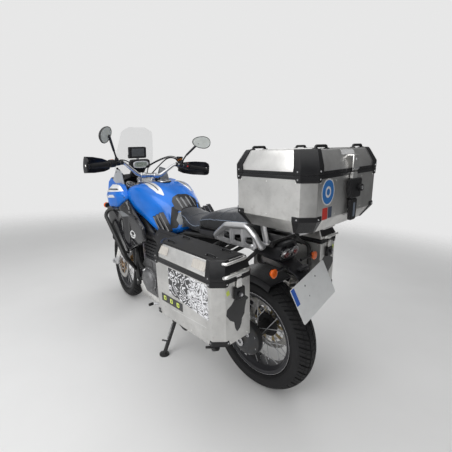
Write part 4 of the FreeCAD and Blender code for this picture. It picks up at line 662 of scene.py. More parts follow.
class Coat(Enum):
    """The finishes of this motorcycle."""

    BLUE = Paint("tank_blue", (0.0, 0.15, 0.62), 0.32, 0.05, 0.3)
    SILVER = Paint("panel_silver", (0.52, 0.54, 0.56), 0.34, 0.6, 0.5)
    WHITE_STRIPE = Paint("stripe_white", (0.78, 0.79, 0.8), 0.3)
    BLACK_STRIPE = Paint("stripe_black", (0.012, 0.012, 0.014), 0.3)
    GREY_STRIPE = Paint("stripe_grey", (0.2, 0.21, 0.22), 0.3)
    GLOSS_BLACK = Plastic("scoop_black", (0.012, 0.012, 0.014), 0.2, 0.05, 0.7)
    BLACK_PLASTIC = Plastic("grained_black", (0.008, 0.008, 0.01), 0.44, 0.35)
    CORNER_BLACK = Plastic("corner_black", (0.007, 0.007, 0.008), 0.36, 0.3)
    MAT_RUBBER = Rubber("lid_mat", (0.022, 0.022, 0.023), 0.72, 0.25)
    TYRE = Rubber("tyre_rubber", (0.011, 0.011, 0.012), 0.6, 0.1)
    GRIP = Rubber("grip_rubber", (0.018, 0.018, 0.019), 0.78, 0.1)
    HOSE = Rubber("hose_rubber", (0.016, 0.016, 0.017), 0.5, 0.1)
    FRAME_BLACK = Cast("frame_black", (0.01, 0.01, 0.011), 0.38, depth=0.1, stains=0.3,
                       stain=(0.07, 0.06, 0.05), metallic=0.0)
    RIM_BLACK = Paint("rim_black", (0.014, 0.014, 0.015), 0.34, 0.0, 0.3)
    CASE_ALU = Metal("case_aluminium", (0.62, 0.615, 0.6), 0.38, (40.0, 260.0, 260.0), 0.05,
                     (0.28, 0.26, 0.24), 0.28)
    # Lighter aluminium for fittings; on the case lids' rims and sloping bands the lighter tone is painted
    # light, standing for the light from above on the same aluminium as the body.
    BRIGHT_ALU_AND_TOP_LIGHT = Metal("band_aluminium", (0.88, 0.87, 0.85), 0.32, (40.0, 700.0, 700.0), 0.05,
                       (0.36, 0.33, 0.3), 0.2)
    BAR_ALU = Metal("bar_aluminium", (0.7, 0.7, 0.71), 0.3, (500.0, 60.0, 500.0), 0.05,
                    stains=0.08)
    CAST_SILVER = Cast("cast_silver", (0.66, 0.66, 0.67), 0.4, depth=0.2, stains=0.2)
    ENGINE = Cast("engine_cast", (0.2, 0.2, 0.205), 0.5, depth=0.3, stains=0.5,
                  stain=(0.06, 0.05, 0.045), metallic=0.7)
    ENGINE_DARK = Cast("engine_dark", (0.055, 0.056, 0.06), 0.45, depth=0.25, stains=0.4,
                       stain=(0.09, 0.075, 0.06), metallic=0.4)
    STEEL = Metal("bright_steel", (0.56, 0.56, 0.57), 0.26, (400.0, 400.0, 400.0), 0.04,
                  stains=0.15)
    DARK_STEEL = Metal("dark_steel", (0.14, 0.14, 0.15), 0.38, (300.0, 300.0, 300.0), 0.06)
    SPOKE = Metal("spoke_steel", (0.5, 0.5, 0.51), 0.3, (300.0, 300.0, 300.0), 0.03)
    BRONZE = Cast("hub_bronze", (0.36, 0.22, 0.095), 0.4, depth=0.12, stains=0.3)
    GOLD = Metal("disc_carrier_gold", (0.5, 0.4, 0.22), 0.38, (200.0, 200.0, 200.0), 0.05)
    REAR_DISC = Ground("rear_disc_steel", (0.5, 0.49, 0.47), 0.32, centre=(-ORIGIN_X * MM, 0.321))
    FRONT_DISC = Ground("front_disc_steel", (0.5, 0.49, 0.47), 0.32, centre=(0.8231, 0.329))
    EXHAUST = HeatedSteel("exhaust_steel", (0.5, 0.48, 0.45), 0.3, (500.0, 60.0, 60.0), 0.05,
                          (0.12, 0.09, 0.07), 0.4)
    SEAT = Vinyl("seat_vinyl", (0.013, 0.015, 0.02), 0.48)
    SEAT_SIDE = Vinyl("seat_side_vinyl", (0.008, 0.009, 0.011), 0.55)
    PIPING = Vinyl("seat_piping", (0.13, 0.16, 0.21), 0.55)
    SCREEN = Clear("clear_acrylic", (0.93, 0.95, 0.96), 0.02, 1.12, 0.13)
    CLEAR_LENS = Clear("clear_lens", (0.92, 0.92, 0.92), 0.04, 1.4, 1.0, 900.0)
    AMBER_LENS = Clear("amber_lens", (0.95, 0.3, 0.04), 0.1, 1.3, 1.0, 700.0)
    RED_LENS = Clear("red_lens", (0.6, 0.01, 0.01), 0.08, 1.3, 1.0, 700.0)
    AMBER = Plastic("amber_body", (0.78, 0.13, 0.012), 0.24, 0.02, 0.5)
    RED = Plastic("red_body", (0.5, 0.012, 0.012), 0.3, 0.02, 0.4)
    MIRROR = Metal("mirror_glass", (0.86, 0.9, 0.86), 0.08, (10.0, 10.0, 10.0), 0.0,
                   stains=0.04, metallic=0.45)
    REFLECTOR = Metal("lamp_reflector", (0.95, 0.95, 0.95), 0.35, (40.0, 40.0, 40.0), 0.02,
                      stains=0.03, metallic=0.25)
    PLATE_WHITE = Print("plate_white", (0.76, 0.77, 0.77), 0.4)
    PLATE_BLUE = Print("plate_blue", (0.03, 0.12, 0.5), 0.4)
    FILM_WHITE = Print("film_white", (0.74, 0.74, 0.74), 0.35)
    FILM_BLACK = Print("film_black", (0.014, 0.014, 0.015), 0.4)
    FILM_BLUE = Print("film_blue", (0.02, 0.17, 0.5), 0.35)
    FILM_RED = Print("film_red", (0.6, 0.03, 0.02), 0.35)
    FILM_GREY = Print("film_grey", (0.16, 0.19, 0.24), 0.35)
    FILM_SLATE = Print("film_slate", (0.06, 0.08, 0.13), 0.35)
    FILM_YELLOW = Print("film_yellow", (0.68, 0.8, 0.12), 0.4)
    FILM_BROWN = Print("film_brown", (0.44, 0.41, 0.37), 0.3, (0.72, 0.7, 0.66), "brushed")
    CONTOURS = Print("contour_print", (0.72, 0.72, 0.74), 0.35, (0.02, 0.02, 0.022), "contours",
                     -0.655)
    LCD = Display("lcd_grey", (0.34, 0.38, 0.33), 0.2, 0.05)
    LCD_INK = Display("lcd_segments", (0.03, 0.035, 0.03), 0.3)
    MAP_SCREEN = Display("map_screen", (0.1, 0.105, 0.11), 0.12)
    DIAL_WHITE = Plastic("dial_surround", (0.68, 0.69, 0.7), 0.35, 0.05, 0.3)
    CORE = Cast("radiator_core", (0.03, 0.03, 0.031), 0.6, depth=0.2, stains=0.3)

    @property
    def material(self) -> bpy.types.Material:
        """The finish's material."""
        return self.value.material()


# Geometry


def rounded(points: Sequence[Point], radius: float | Sequence[float],
            steps: int = 5, closed: bool = True) -> np.ndarray:
    """Polyline with its corners turned into arcs.

    Args:
        points: Corners, in any number of dimensions.
        radius: One corner radius, or one for each corner.
        steps: Points on each arc.
        closed: Whether the line closes on itself.

    Returns:
        The points of the rounded line.
    """
    corners = [np.array(p, float) for p in points]
    count = len(corners)
    radii = [float(radius)] * count if isinstance(radius, (int, float)) else list(radius)
    line = []
    for index, corner in enumerate(corners):
        if (not closed and index in (0, count - 1)) or radii[index] <= 0:
            line.append(corner)
            continue
        back = corners[index - 1] - corner
        onward = corners[(index + 1) % count] - corner
        reach = 0.49 * min(np.linalg.norm(back), np.linalg.norm(onward))
        back, onward = unit(back), unit(onward)
        half = math.acos(max(-1.0, min(1.0, float(back @ onward)))) / 2.0
        if half > 1.56:
            line.append(corner)
            continue
        trim = min(radii[index] / math.tan(half), reach)
        bend = trim * math.tan(half)
        middle = corner + unit(back + onward) * (bend / math.sin(half))
        start, stop = corner + back * trim - middle, corner + onward * trim - middle
        sweep = math.acos(max(-1.0, min(1.0, float(unit(start) @ unit(stop)))))
        for step in range(steps + 1):
            share = step / steps
            line.append(middle + (start * math.sin((1 - share) * sweep)
                                  + stop * math.sin(share * sweep)) / math.sin(sweep))
    return np.array(line)


def spline(points: Sequence[Point], count: int) -> np.ndarray:
    """Smooth curve through points, by their row number, resampled to a count of rows.

    Args:
        points: Rows of points.
        count: Rows of the result.

    Returns:
        The rows of the curve.
    """
    rows = np.array(points, float)
    padded = np.vstack([2 * rows[0] - rows[1], rows, 2 * rows[-1] - rows[-2]])
    out = []
    for place in np.linspace(0, len(rows) - 1, count):
        index = min(int(place), len(rows) - 2)
        t = place - index
        a, b, c, d = padded[index:index + 4]
        out.append(0.5 * ((2 * b) + (c - a) * t + (2 * a - 5 * b + 4 * c - d) * t * t
                          + (3 * b - 3 * c + d - a) * t ** 3))
    return np.array(out)


def box_loop(x_first: float, y_first: float, x_last: float, y_last: float) -> list[Point]:
    """Corners of an upright rectangle between two opposite corners."""
    return [(x_first, y_first), (x_last, y_first), (x_last, y_last), (x_first, y_last)]


def span(side: int, near: float, far: float) -> list[float]:
    """Low and high Y of a stretch on one side of the machine."""
    return sorted((side * near, side * far))


def on_side(point: Point, side: int) -> np.ndarray:
    """A left-hand point, or its mirror image where the side is -1."""
    return np.array(point) * (1, side, 1)


def circle(radius: float, steps: int) -> np.ndarray:
    """Points (steps, 2) of a circle."""
    turn = np.linspace(0, 2 * math.pi, steps, endpoint=False)
    return np.stack([np.cos(turn), np.sin(turn)], 1) * radius


def oval(half_wide: float, half_high: float, power: float, steps: int) -> np.ndarray:
    """Superellipse points; power 2 is an ellipse and more is squarer.

    Args:
        half_wide: Half its width.
        half_high: Half its height.
        power: Its squareness.
        steps: Points round it.

    Returns:
        Its points.
    """
    turn = np.linspace(0, 2 * math.pi, steps, endpoint=False)
    c, s = np.cos(turn), np.sin(turn)
    return np.stack([np.sign(c) * np.abs(c) ** (2 / power) * half_wide,
                     np.sign(s) * np.abs(s) ** (2 / power) * half_high], 1)


def frame_of(direction: Point) -> tuple[np.ndarray, np.ndarray, np.ndarray]:
    """Two side directions and the unit direction itself.

    Args:
        direction: The direction.

    Returns:
        The two sides and the direction.
    """
    forward = unit(np.array(direction, float))
    helper = np.array((0.0, 0.0, 1.0)) if abs(forward[2]) < 0.9 else np.array((1.0, 0.0, 0.0))
    side = unit(np.cross(helper, forward))
    return side, np.cross(forward, side), forward


class Stock:
    """Raw geometry of one piece, in millimetres on the upright motorcycle."""

    def __init__(self) -> None:
        """Start with nothing."""
        self.points: list[np.ndarray] = []
        self.faces: list[tuple[int, ...]] = []
        self.finishes: list[Coat] = []
        self.count = 0

    def add(self, points: np.ndarray, faces: Sequence[Sequence[int]], coat: Coat) -> Stock:
        """Take in points and the faces between them, in one finish.

        Args:
            points: Rows of points.
            faces: Faces by row number.
            coat: Its finish.

        Returns:
            This stock.
        """
        self.points.append(np.array(points, float).reshape(-1, 3))
        self.faces += [tuple(int(i) + self.count for i in face) for face in faces]
        self.finishes += [coat] * len(faces)
        self.count += len(self.points[-1])
        return self

    def take(self, other: Stock, move: Callable[[np.ndarray], np.ndarray] | None = None,
             flip: bool = False) -> Stock:
        """Take in another stock, moved by a function; flip turns its faces over.

        Args:
            other: The stock to take in.
            move: Function that moves its points.
            flip: Whether its faces turn over.

        Returns:
            This stock.
        """
        for_points = np.vstack(other.points)
        if move is not None:
            for_points = move(for_points)
        base = self.count
        self.points.append(for_points)
        self.count += len(for_points)
        for face, coat in zip(other.faces, other.finishes):
            order = reversed(face) if flip else face
            self.faces.append(tuple(i + base for i in order))
            self.finishes.append(coat)
        return self

    def mirrored(self) -> Stock:
        """This stock with its mirror image on the other side.

        Returns:
            This stock.
        """
        both = Stock()
        both.take(self)
        both.take(self, lambda p: p * np.array((1.0, -1.0, 1.0)), True)
        return both

    def skin(self, rings: Sequence[np.ndarray], coat: Coat, closed: bool = False,
             caps: bool = True, open_rings: bool = False) -> Stock:
        """Faces between rings of equal count.

        Args:
            rings: Rings of points.
            coat: The finish.
            closed: Whether the last ring joins the first.
            caps: Whether the end rings are filled.
            open_rings: Whether each ring is a line and not a loop.

        Returns:
            This stock.
        """
        size, rows = len(rings[0]), len(rings)
        faces = []
        for row in range(rows if closed else rows - 1):
            low, high = row * size, ((row + 1) % rows) * size
            for index in range(size - 1 if open_rings else size):
                onward = (index + 1) % size
                faces.append((low + index, low + onward, high + onward, high + index))
        if caps and not closed and not open_rings:
            faces.append(tuple(reversed(range(size))))
            faces.append(tuple(range((rows - 1) * size, rows * size)))
        return self.add(np.vstack(rings), faces, coat)

    def tube(self, path: Sequence[Point], radius: float | Sequence[float], coat: Coat,
             steps: int = 14, bend: float = 0.0, section: np.ndarray | None = None,
             closed: bool = False) -> Stock:
        """Round bar, or a bar of another section, along a path.

        Args:
            path: Corners of the path.
            radius: One radius, or one for each point of an unbent path.
            coat: The finish.
            steps: Points around.
            bend: Radius of the corners.
            section: Another section, as points beside the path.
            closed: Whether the path is a loop.

        Returns:
            This stock.
        """
        line = rounded(path, bend, 6, closed) if bend else np.array(path, float)
        radii = np.full(len(line), radius) if isinstance(radius, (int, float)) else \
            np.interp(np.linspace(0, 1, len(line)), np.linspace(0, 1, len(radius)), radius)
        around = circle(1.0, steps) if section is None else np.array(section, float)
        scale = radii if section is None else np.ones(len(line))
        count = len(line)
        side, up, _ = frame_of(line[1] - line[0])
        rings = []
        for index, point in enumerate(line):
            before = line[index - 1] if index or closed else point
            after = line[(index + 1) % count] if index < count - 1 or closed else point
            forward = unit(after - before)
            side = unit(side - forward * float(side @ forward))
            up = np.cross(forward, side)
            rings.append(point + (around[:, :1] * side + around[:, 1:] * up) * scale[index])
        return self.skin(rings, coat, closed=closed)

    def rod(self, start: Point, stop: Point, radius: float, coat: Coat, steps: int = 20,
            chamfer: float = 0.0) -> Stock:
        """Round bar between two points, with its end edges chamfered.

        Args:
            start: First end.
            stop: Last end.
            radius: Its radius.
            coat: Its finish.
            steps: Faces round it.
            chamfer: Size of its edge.

        Returns:
            This stock.
        """
        a, b = np.array(start, float), np.array(stop, float)
        if not chamfer:
            return self.tube([a, b], radius, coat, steps)
        along = unit(b - a) * chamfer
        return self.tube([a, a + along, b - along, b],
                         [radius - chamfer, radius, radius, radius - chamfer], coat, steps)

    def turned(self, profile: Sequence[Point], centre: Point, coat: Coat, steps: int = 96,
               axis: Point = (0.0, 1.0, 0.0), loop: bool = False) -> Stock:
        """Shape turned about an axis through centre.

        Args:
            profile: (along the axis, radius) of each point.
            centre: A point on the axis.
            coat: The finish.
            steps: Points around.
            axis: The axis.
            loop: Whether the profile closes, as for a ring.

        Returns:
            This stock.
        """
        side, up, along = frame_of(axis)
        around = circle(1.0, steps)
        rings = [np.array(centre, float) + along * y
                 + (around[:, :1] * side + around[:, 1:] * up) * max(r, 0.01) for y, r in profile]
        return self.skin(rings, coat, closed=loop)

    def prism(self, outline: Sequence[Point], low: float, high: float, coat: Coat,
              radius: float | Sequence[float] = 0.0, axis: str = "Y", steps: int = 5,
              chamfer: float = 0.0) -> Stock:
        """Flat outline given a thickness.

        Args:
            outline: Corners in the plane across the axis, in alphabetical order.
            low: Where it starts along the axis.
            high: Where it ends.
            coat: The finish.
            radius: Corner radius or radii.
            axis: X, Y or Z.
            steps: Points on each corner.
            chamfer: Bevel of both rims.

        Returns:
            This stock.
        """
        flat = rounded(outline, radius, steps)
        third = "XYZ".index(axis)
        others = [i for i in range(3) if i != third]
        inner = shrink(flat, chamfer) if chamfer else flat
        levels = [(low, inner), (low + chamfer, flat), (high - chamfer, flat), (high, inner)] \
            if chamfer else [(low, flat), (high, flat)]
        rings = []
        for level, shape in levels:
            ring = np.zeros((len(flat), 3))
            ring[:, others[0]], ring[:, others[1]], ring[:, third] = shape[:, 0], shape[:, 1], level
            rings.append(ring)
        return self.skin(rings, coat)

    def box(self, low: Point, high: Point, coat: Coat, radius: float = 0.0,
            chamfer: float = 0.0) -> Stock:
        """Upright block between two corners.

        Args:
            low: Lowest corner.
            high: Highest corner.
            coat: Its finish.
            radius: Radius of its upright edges.
            chamfer: Size of its edge.

        Returns:
            This stock.
        """
        (x0, y0, z0), (x1, y1, z1) = low, high
        return self.prism(box_loop(x0, y0, x1, y1), z0, z1, coat, radius, "Z",
                          chamfer=chamfer)

    def bolt(self, at: Point, out: Point, radius: float = 5.0, coat: Coat | None = None,
             height: float = 3.0, socket: bool = True) -> Stock:
        """Domed screw head with a hexagon socket, standing out from a surface.

        Args:
            at: Its foot.
            out: The way that it faces.
            radius: Its radius.
            coat: Its finish.
            height: Its height.
            socket: The shader input.

        Returns:
            This stock.
        """
        coat = coat or Coat.STEEL
        side, up, forward = frame_of(out)
        base = np.array(at, float) - forward * 0.6
        around = circle(1.0, 18)
        hexagon = circle(1.0, 6)
        hexed = np.array([hexagon[int(i / 3) % 6] * (1 - (i % 3) / 3)
                          + hexagon[(int(i / 3) + 1) % 6] * ((i % 3) / 3) for i in range(18)])
        rows = [(around, radius, 0.0), (around, radius, height * 0.75),
                (around, radius * 0.82, height + 0.6)]
        if socket:
            rows += [(hexed, radius * 0.56, height + 0.6), (hexed, radius * 0.52, height * 0.3 + 0.6)]
        rings = [base + forward * rise + (shape[:, :1] * side + shape[:, 1:] * up) * wide
                 for shape, wide, rise in rows]
        return self.skin(rings, coat)

    def sheet(self, outline: np.ndarray, place: Callable[[np.ndarray], np.ndarray], coat: Coat,
              step: float, thickness: Callable[[np.ndarray], np.ndarray] | None = None,
              areas: Sequence[tuple[np.ndarray, Coat]] = (),
              holes: Sequence[np.ndarray] = ()) -> Stock:
        """Curved panel cut to an outline, with differently finished areas.

        Args:
            outline: Plane outline of the panel.
            place: From plane points to places on the motorcycle.
            coat: The finish.
            step: Spacing of the inner points.
            thickness: From plane points to the places of the back face, or None.
            areas: Outlines inside with their own finish.
            holes: Outlines left open.

        Returns:
            This stock.
        """
        low, high = outline.min(0), outline.max(0)
        xs, ys = np.arange(low[0] + step, high[0], step), np.arange(low[1] + step, high[1], step)
        grid = np.array([(x, y) for x in xs for y in ys]).reshape(-1, 2)
        loops = [outline, *[area for area, _ in areas], *holes]
        grid = grid[inside(grid, outline)]
        for loop in loops:
            if len(grid):
                grid = grid[distance_to(grid, loop) > step * 0.45]
        loops = [resample(loop, step) for loop in loops]
        points, faces = [], []
        for loop in loops:
            faces.append(list(range(len(points), len(points) + len(loop))))
            points += [Vector(p) for p in loop]
        points += [Vector(p) for p in grid]
        made, _, triangles, _, _, _ = delaunay_2d_cdt(points, [], faces, 1, 1e-4, False)
        flat = np.array([(p.x, p.y) for p in made])
        middles = np.array([flat[list(t)].mean(0) for t in triangles])
        keep = np.ones(len(triangles), bool)
        for hole in holes:
            keep &= ~inside(middles, hole)
        coats = [coat] * len(triangles)
        for area, other in areas:
            for index in np.nonzero(inside(middles, area))[0]:
                coats[index] = other
        front = place(flat)
        back = thickness(flat) if thickness else None
        used = [tuple(t) for t, k in zip(triangles, keep) if k]
        kept = [c for c, k in zip(coats, keep) if k]
        base = self.count
        self.add(front, [], coat)
        self.faces += [tuple(i + base for i in t) for t in used]
        self.finishes += kept
        if back is not None:
            rear = self.count
            self.add(back, [], coat)
            self.faces += [tuple(i + rear for i in reversed(t)) for t in used]
            self.finishes += kept
            edges: dict[tuple[int, int], int] = {}
            for t in used:
                for a, b in zip(t, t[1:] + t[:1]):
                    edges[(a, b)] = 1
            for a, b in edges:
                if (b, a) not in edges:
                    self.faces.append((a + base, a + rear, b + rear, b + base))
                    self.finishes.append(coat)
        return self

    def moved(self, move: Callable[[np.ndarray], np.ndarray]) -> Stock:
        """This stock with its points passed through a function."""
        self.points = [move(p) for p in self.points]
        return self


def inside(points: np.ndarray, loop: np.ndarray) -> np.ndarray:
    """Which plane points lie within a loop.

    Args:
        points: Rows of points.
        loop: Corners of the closed loop.

    Returns:
        One truth value for each point.
    """
    if not len(points):
        return np.zeros(0, bool)
    x, y = points[:, :1], points[:, 1:]
    ax, ay = loop[:, 0], loop[:, 1]
    bx, by = np.roll(ax, -1), np.roll(ay, -1)
    crosses = (ay > y) != (by > y)
    rise = np.where(by - ay == 0, 1e-9, by - ay)
    return (np.sum(crosses & (x < (bx - ax) * (y - ay) / rise + ax), 1) % 2) == 1


def distance_to(points: np.ndarray, loop: np.ndarray) -> np.ndarray:
    """How far plane points lie from a loop's line.

    Args:
        points: Rows of points.
        loop: Corners of the closed loop.

    Returns:
        One distance for each point.
    """
    a, b = loop, np.roll(loop, -1, 0)
    span = b - a
    size = np.maximum((span ** 2).sum(1), 1e-9)
    share = np.clip(((points[:, None] - a) * span).sum(2) / size, 0, 1)
    return np.linalg.norm(points[:, None] - (a + span * share[..., None]), axis=2).min(1)


def resample(loop: np.ndarray, step: float) -> np.ndarray:
    """The loop with its long runs divided.

    Args:
        loop: Corners of the closed loop.
        step: Longest run that is left.

    Returns:
        The corners with the new ones.
    """
    line = []
    for a, b in zip(loop, np.roll(loop, -1, 0)):
        parts = max(1, int(round(float(np.linalg.norm(b - a)) / step)))
        line += [a + (b - a) * k / parts for k in range(parts)]
    return np.array(line)


def shrink(loop: np.ndarray, inset: float) -> np.ndarray:
    """Plane loop moved inward by an inset.

    Args:
        loop: Corners of the closed loop.
        inset: Distance inward.

    Returns:
        The moved corners.
    """
    before, after = np.roll(loop, 1, 0), np.roll(loop, -1, 0)
    along = after - before
    along /= np.maximum(np.linalg.norm(along, axis=1, keepdims=True), 1e-9)
    normal = np.stack([-along[:, 1], along[:, 0]], 1)
    area = np.sum(loop[:, 0] * np.roll(loop[:, 1], -1) - np.roll(loop[:, 0], -1) * loop[:, 1])
    return loop + normal * (inset if area > 0 else -inset)


class Body(Enum):
    """The bodies that pieces ride on."""

    CHASSIS = "chassis"
    STEERING = "steering"
    FRONT_WHEEL = "front_wheel"
    REAR_WHEEL = "rear_wheel"
    SIDE_STAND = "side_stand"
    CENTRE_STAND = "centre_stand"
    TOPCASE_LID = "topcase_lid"
    LID_LEFT = "pannier_lid_left"
    LID_RIGHT = "pannier_lid_right"


@dataclass
class Piece:
    """One finished piece: its stock, the body it rides on and the nodes it stands for."""

    name: str
    stock: Stock
    body: Body = Body.CHASSIS
    slot: str = "black_plastic"
    replaces: Sequence[str] = ()
    bevel: float = 0.0
    smooth_deg: float = 34.0
    subdivide: int = 0

    def make(self) -> bpy.types.Object:
        """Turn the stock into an object on its body.

        Returns:
            The object.
        """
        mesh = bpy.data.meshes.new(self.name)
        turned = self.body in (Body.STEERING, Body.FRONT_WHEEL)
        place = np.array(STEERED_PLACE if turned else PLACE)
        points = np.vstack(self.stock.points) @ place[:3, :3].T + place[:3, 3]
        mesh.from_pydata(points.tolist(), [], self.stock.faces)
        coats = list(dict.fromkeys(self.stock.finishes))
        for coat in coats:
            mesh.materials.append(coat.material)
        index = {coat: i for i, coat in enumerate(coats)}
        mesh.polygons.foreach_set("material_index", [index[c] for c in self.stock.finishes])
        mesh.validate()
        form = bmesh.new()
        form.from_mesh(mesh)
        bmesh.ops.recalc_face_normals(form, faces=form.faces)
        form.to_mesh(mesh)
        form.free()
        piece = bpy.data.objects.new(self.name, mesh)
        bpy.context.scene.collection.objects.link(piece)
        mesh.shade_smooth()
        mesh.set_sharp_from_angle(angle=math.radians(self.smooth_deg))
        if self.bevel:
            bevel = piece.modifiers.new("edges", "BEVEL")
            bevel.width, bevel.segments = self.bevel * MM, 2
            bevel.limit_method, bevel.angle_limit = "ANGLE", math.radians(self.smooth_deg)
            bevel.use_clamp_overlap, bevel.harden_normals = True, True
        if self.subdivide:
            smooth = piece.modifiers.new("smooth", "SUBSURF")
            smooth.levels = smooth.render_levels = self.subdivide
        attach(piece, self.body.value)
        if self.replaces:
            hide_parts(*self.replaces)
        LOG.info("%s on %s: %d faces", self.name, self.body.value, len(mesh.polygons))
        return piece


# Cases


@dataclass
class LuggageCase:
    """A riveted aluminium case with a hinged lid; the three cases are sizes of one design."""

    name: str
    x_low: float
    x_high: float
    y_low: float
    y_high: float
    low: float
    seam: float
    top: float
    chamfers: tuple[float, float, float, float]
    inset: tuple[float, float, float, float]
    foot_inset: float
    foot_rise: float
    rim: float
    tray: float = 0.0
    wall: float = 2.0
    band: float = 14.0

    def plan(self, offset: float = 0.0, insets: Sequence[float] = (0, 0, 0, 0)) -> np.ndarray:
        """Plan of the case grown by an offset.

        Args:
            offset: How far outside the metal the plan lies.
            insets: How far each side is drawn in: front, outer, rear, inner.

        Returns:
            Plan points, anticlockwise from the inner front corner.
        """
        front, outer, rear, inner = insets
        x1, x0 = self.x_high - front + offset, self.x_low + rear - offset
        y1, y0 = self.y_high - outer + offset, self.y_low + inner - offset
        c = [max(0.1, chamfer + offset * 0.42) for chamfer in self.chamfers]
        return np.array([(x1, y0 + c[0]), (x1, y1 - c[1]), (x1 - c[1], y1), (x0 + c[2], y1),
                         (x0, y1 - c[2]), (x0, y0 + c[3]), (x0 + c[3], y0), (x1 - c[0], y0)])

    def ring(self, z: float, offset: float = 0.0,
             insets: Sequence[float] = (0, 0, 0, 0)) -> np.ndarray:
        """The plan at one height, its corners softened."""
        flat = rounded(self.plan(offset, insets), 3.0, 2)
        return np.column_stack([flat, np.full(len(flat), z)])

    def wrap(self, stock: Stock, corner: int, rows: Sequence[tuple[float, float, float]],
             spread: float, coat: Coat) -> None:
        """Moulded guard round one bevelled corner.

        Args:
            stock: Where it goes.
            corner: Which corner: 1 outer front, 2 outer rear, 3 inner rear, 0 inner front.
            rows: Height, distance from the metal and share of the spread for each row.
            spread: How far it reaches along each side.
            coat: Its finish.
        """
        ends = {0: (7, 0), 1: (1, 2), 2: (3, 4), 3: (5, 6)}[corner]
        rings = []
        for z, out, share in rows:
            insets = self.drawn_in(z)
            plan = self.plan(out, insets)
            a, b = plan[ends[0]], plan[ends[1]]
            before, after = plan[ends[0] - 1], plan[(ends[1] + 1) % 8]
            reach = spread * share
            line = [a + unit(before - a) * reach, a, b, b + unit(after - b) * reach]
            hidden = self.plan(-1.2, insets)
            c, d = hidden[ends[0]], hidden[ends[1]]
            back = [d + unit(after - b) * reach, d, c, c + unit(before - a) * reach]
            rings.append(np.array([(x, y, z) for x, y in line + back]))
        stock.skin(rings, coat)

    def drawn_in(self, z: float) -> tuple[float, float, float, float]:
        """How far each side is drawn in at a height.

        Args:
            z: Height.

        Returns:
            The four insets.
        """
        if z > self.seam + self.rim:
            share = (z - self.seam - self.rim) / (self.top - self.seam - self.rim)
            return tuple(i * share for i in self.inset)
        if z < self.low + self.foot_rise:
            share = 1.0 - (z - self.low) / self.foot_rise
            return tuple(self.foot_inset * share if i else 0.0 for i in self.inset)
        return (0.0, 0.0, 0.0, 0.0)

    def corners(self) -> list[int]:
        """The corners that are bevelled."""
        return [index for index, chamfer in enumerate(self.chamfers) if chamfer > 5]

    def body(self) -> Stock:
        """Folded shell with its seam band, corner shoes and rivets.

        Returns:
            The piece's stock.
        """
        stock = Stock()
        low = self.low
        levels = [(low, 0.0)]
        if self.foot_rise > 1:
            levels.append((low + self.foot_rise, 0.0))
        levels.append((self.seam - 1.0, 0.0))
        rings = [self.ring(z, out, self.drawn_in(z + 0.01)) for z, out in levels]
        if self.tray:
            under = self.drawn_in(low)
            rings = [self.ring(low + self.tray, -3.0, under), self.ring(low, -3.0, under), *rings]
        floor = low + self.tray
        rings += [self.ring(self.seam - 1.0, -self.wall),
                  self.ring(low + self.foot_rise + self.wall, -self.wall),
                  self.ring(floor + self.wall, -self.wall - 4, self.drawn_in(floor))]
        stock.skin(rings, Coat.CASE_ALU)
        band = self.band
        rows = [(self.seam - band, 0.2), (self.seam - band, 2.4), (self.seam - 5, 3.0),
                (self.seam - 0.5, 2.2), (self.seam - 0.5, -self.wall - 1)]
        stock.skin([self.ring(z, out) for z, out in rows], Coat.CORNER_BLACK, caps=False)
        for corner in self.corners():
            rows = [(low - 0.6, 0.2, 1.0), (low, 2.6, 1.0), (low + self.shoe, 2.6, 0.72),
                    (low + self.shoe + 2, 0.4, 0.66)]
            if self.foot_rise > 1:
                rows = [(low - 0.6, 0.2, 0.3), (low, 2.6, 0.35), (low + self.foot_rise, 3.2, 1.0),
                        (low + self.shoe, 2.8, 1.0), (low + self.shoe + 2, 0.4, 0.96)]
            self.wrap(stock, corner, rows, 20.0 if self.foot_rise < 1 else 30.0, Coat.CORNER_BLACK)
            self.wrap(stock, corner, [(self.seam - 26, 0.4, 0.5), (self.seam - 24, 3.4, 0.55),
                                      (self.seam - 3, 4.2, 1.0), (self.seam - 0.5, 3.6, 1.0)],
                      26.0, Coat.CORNER_BLACK)
            self.shoe_bolts(stock, corner)
        self.rivets(stock)
        return stock

    @property
    def shoe(self) -> float:
        """Height of the bottom corner guards."""
        return self.foot_rise + 15.0 if self.foot_rise > 1 else 20.0

    def shoe_bolts(self, stock: Stock, corner: int) -> None:
        """Two screws through each bottom guard and each seam guard.

        Args:
            stock: The stock that takes it in.
            corner: Number of the corner, counted round the plan.
        """
        ends = {0: (7, 0), 1: (1, 2), 2: (3, 4), 3: (5, 6)}[corner]
        for z, out in ((self.low + self.shoe - 8, 2.6), (self.seam - 14, 3.8)):
            plan = self.plan(out)
            a, b = plan[ends[0]], plan[ends[1]]
            before, after = plan[ends[0] - 1], plan[(ends[1] + 1) % 8]
            for at, onward in ((a, before), (b, after)):
                step = unit(onward - at)
                place = at + step * 10
                out_dir = np.array((step[1], -step[0])) if onward is before else \
                    np.array((-step[1], step[0]))
                centre = plan.mean(0)
                if out_dir @ (place - centre) < 0:
                    out_dir = -out_dir
                stock.bolt((*place, z), (*out_dir, 0.0), 3.4, Coat.STEEL, 1.6)

    def rivets(self, stock: Stock) -> None:
        """Small rivets along the top and bottom of each flat side.

        Args:
            stock: The stock that takes it in.
        """
        plan = self.plan(0.0)
        for index in (0, 2, 4, 6):
            a, b = plan[index], plan[(index + 1) % 8]
            span = float(np.linalg.norm(b - a))
            if span < 60:
                continue
            along = (b - a) / span
            out = np.array((along[1], -along[0]))
            if out @ ((a + b) / 2 - plan.mean(0)) < 0:
                out = -out
            for z in (self.seam - self.band - 12, self.low + max(self.foot_rise, 1) + 12):
                for share in np.linspace(18, span - 18, max(2, int(span / 110) + 1)):
                    place = a + along * share
                    stock.bolt((*place, z), (*out, 0.0), 2.4, Coat.BRIGHT_ALU_AND_TOP_LIGHT, 0.9, False)

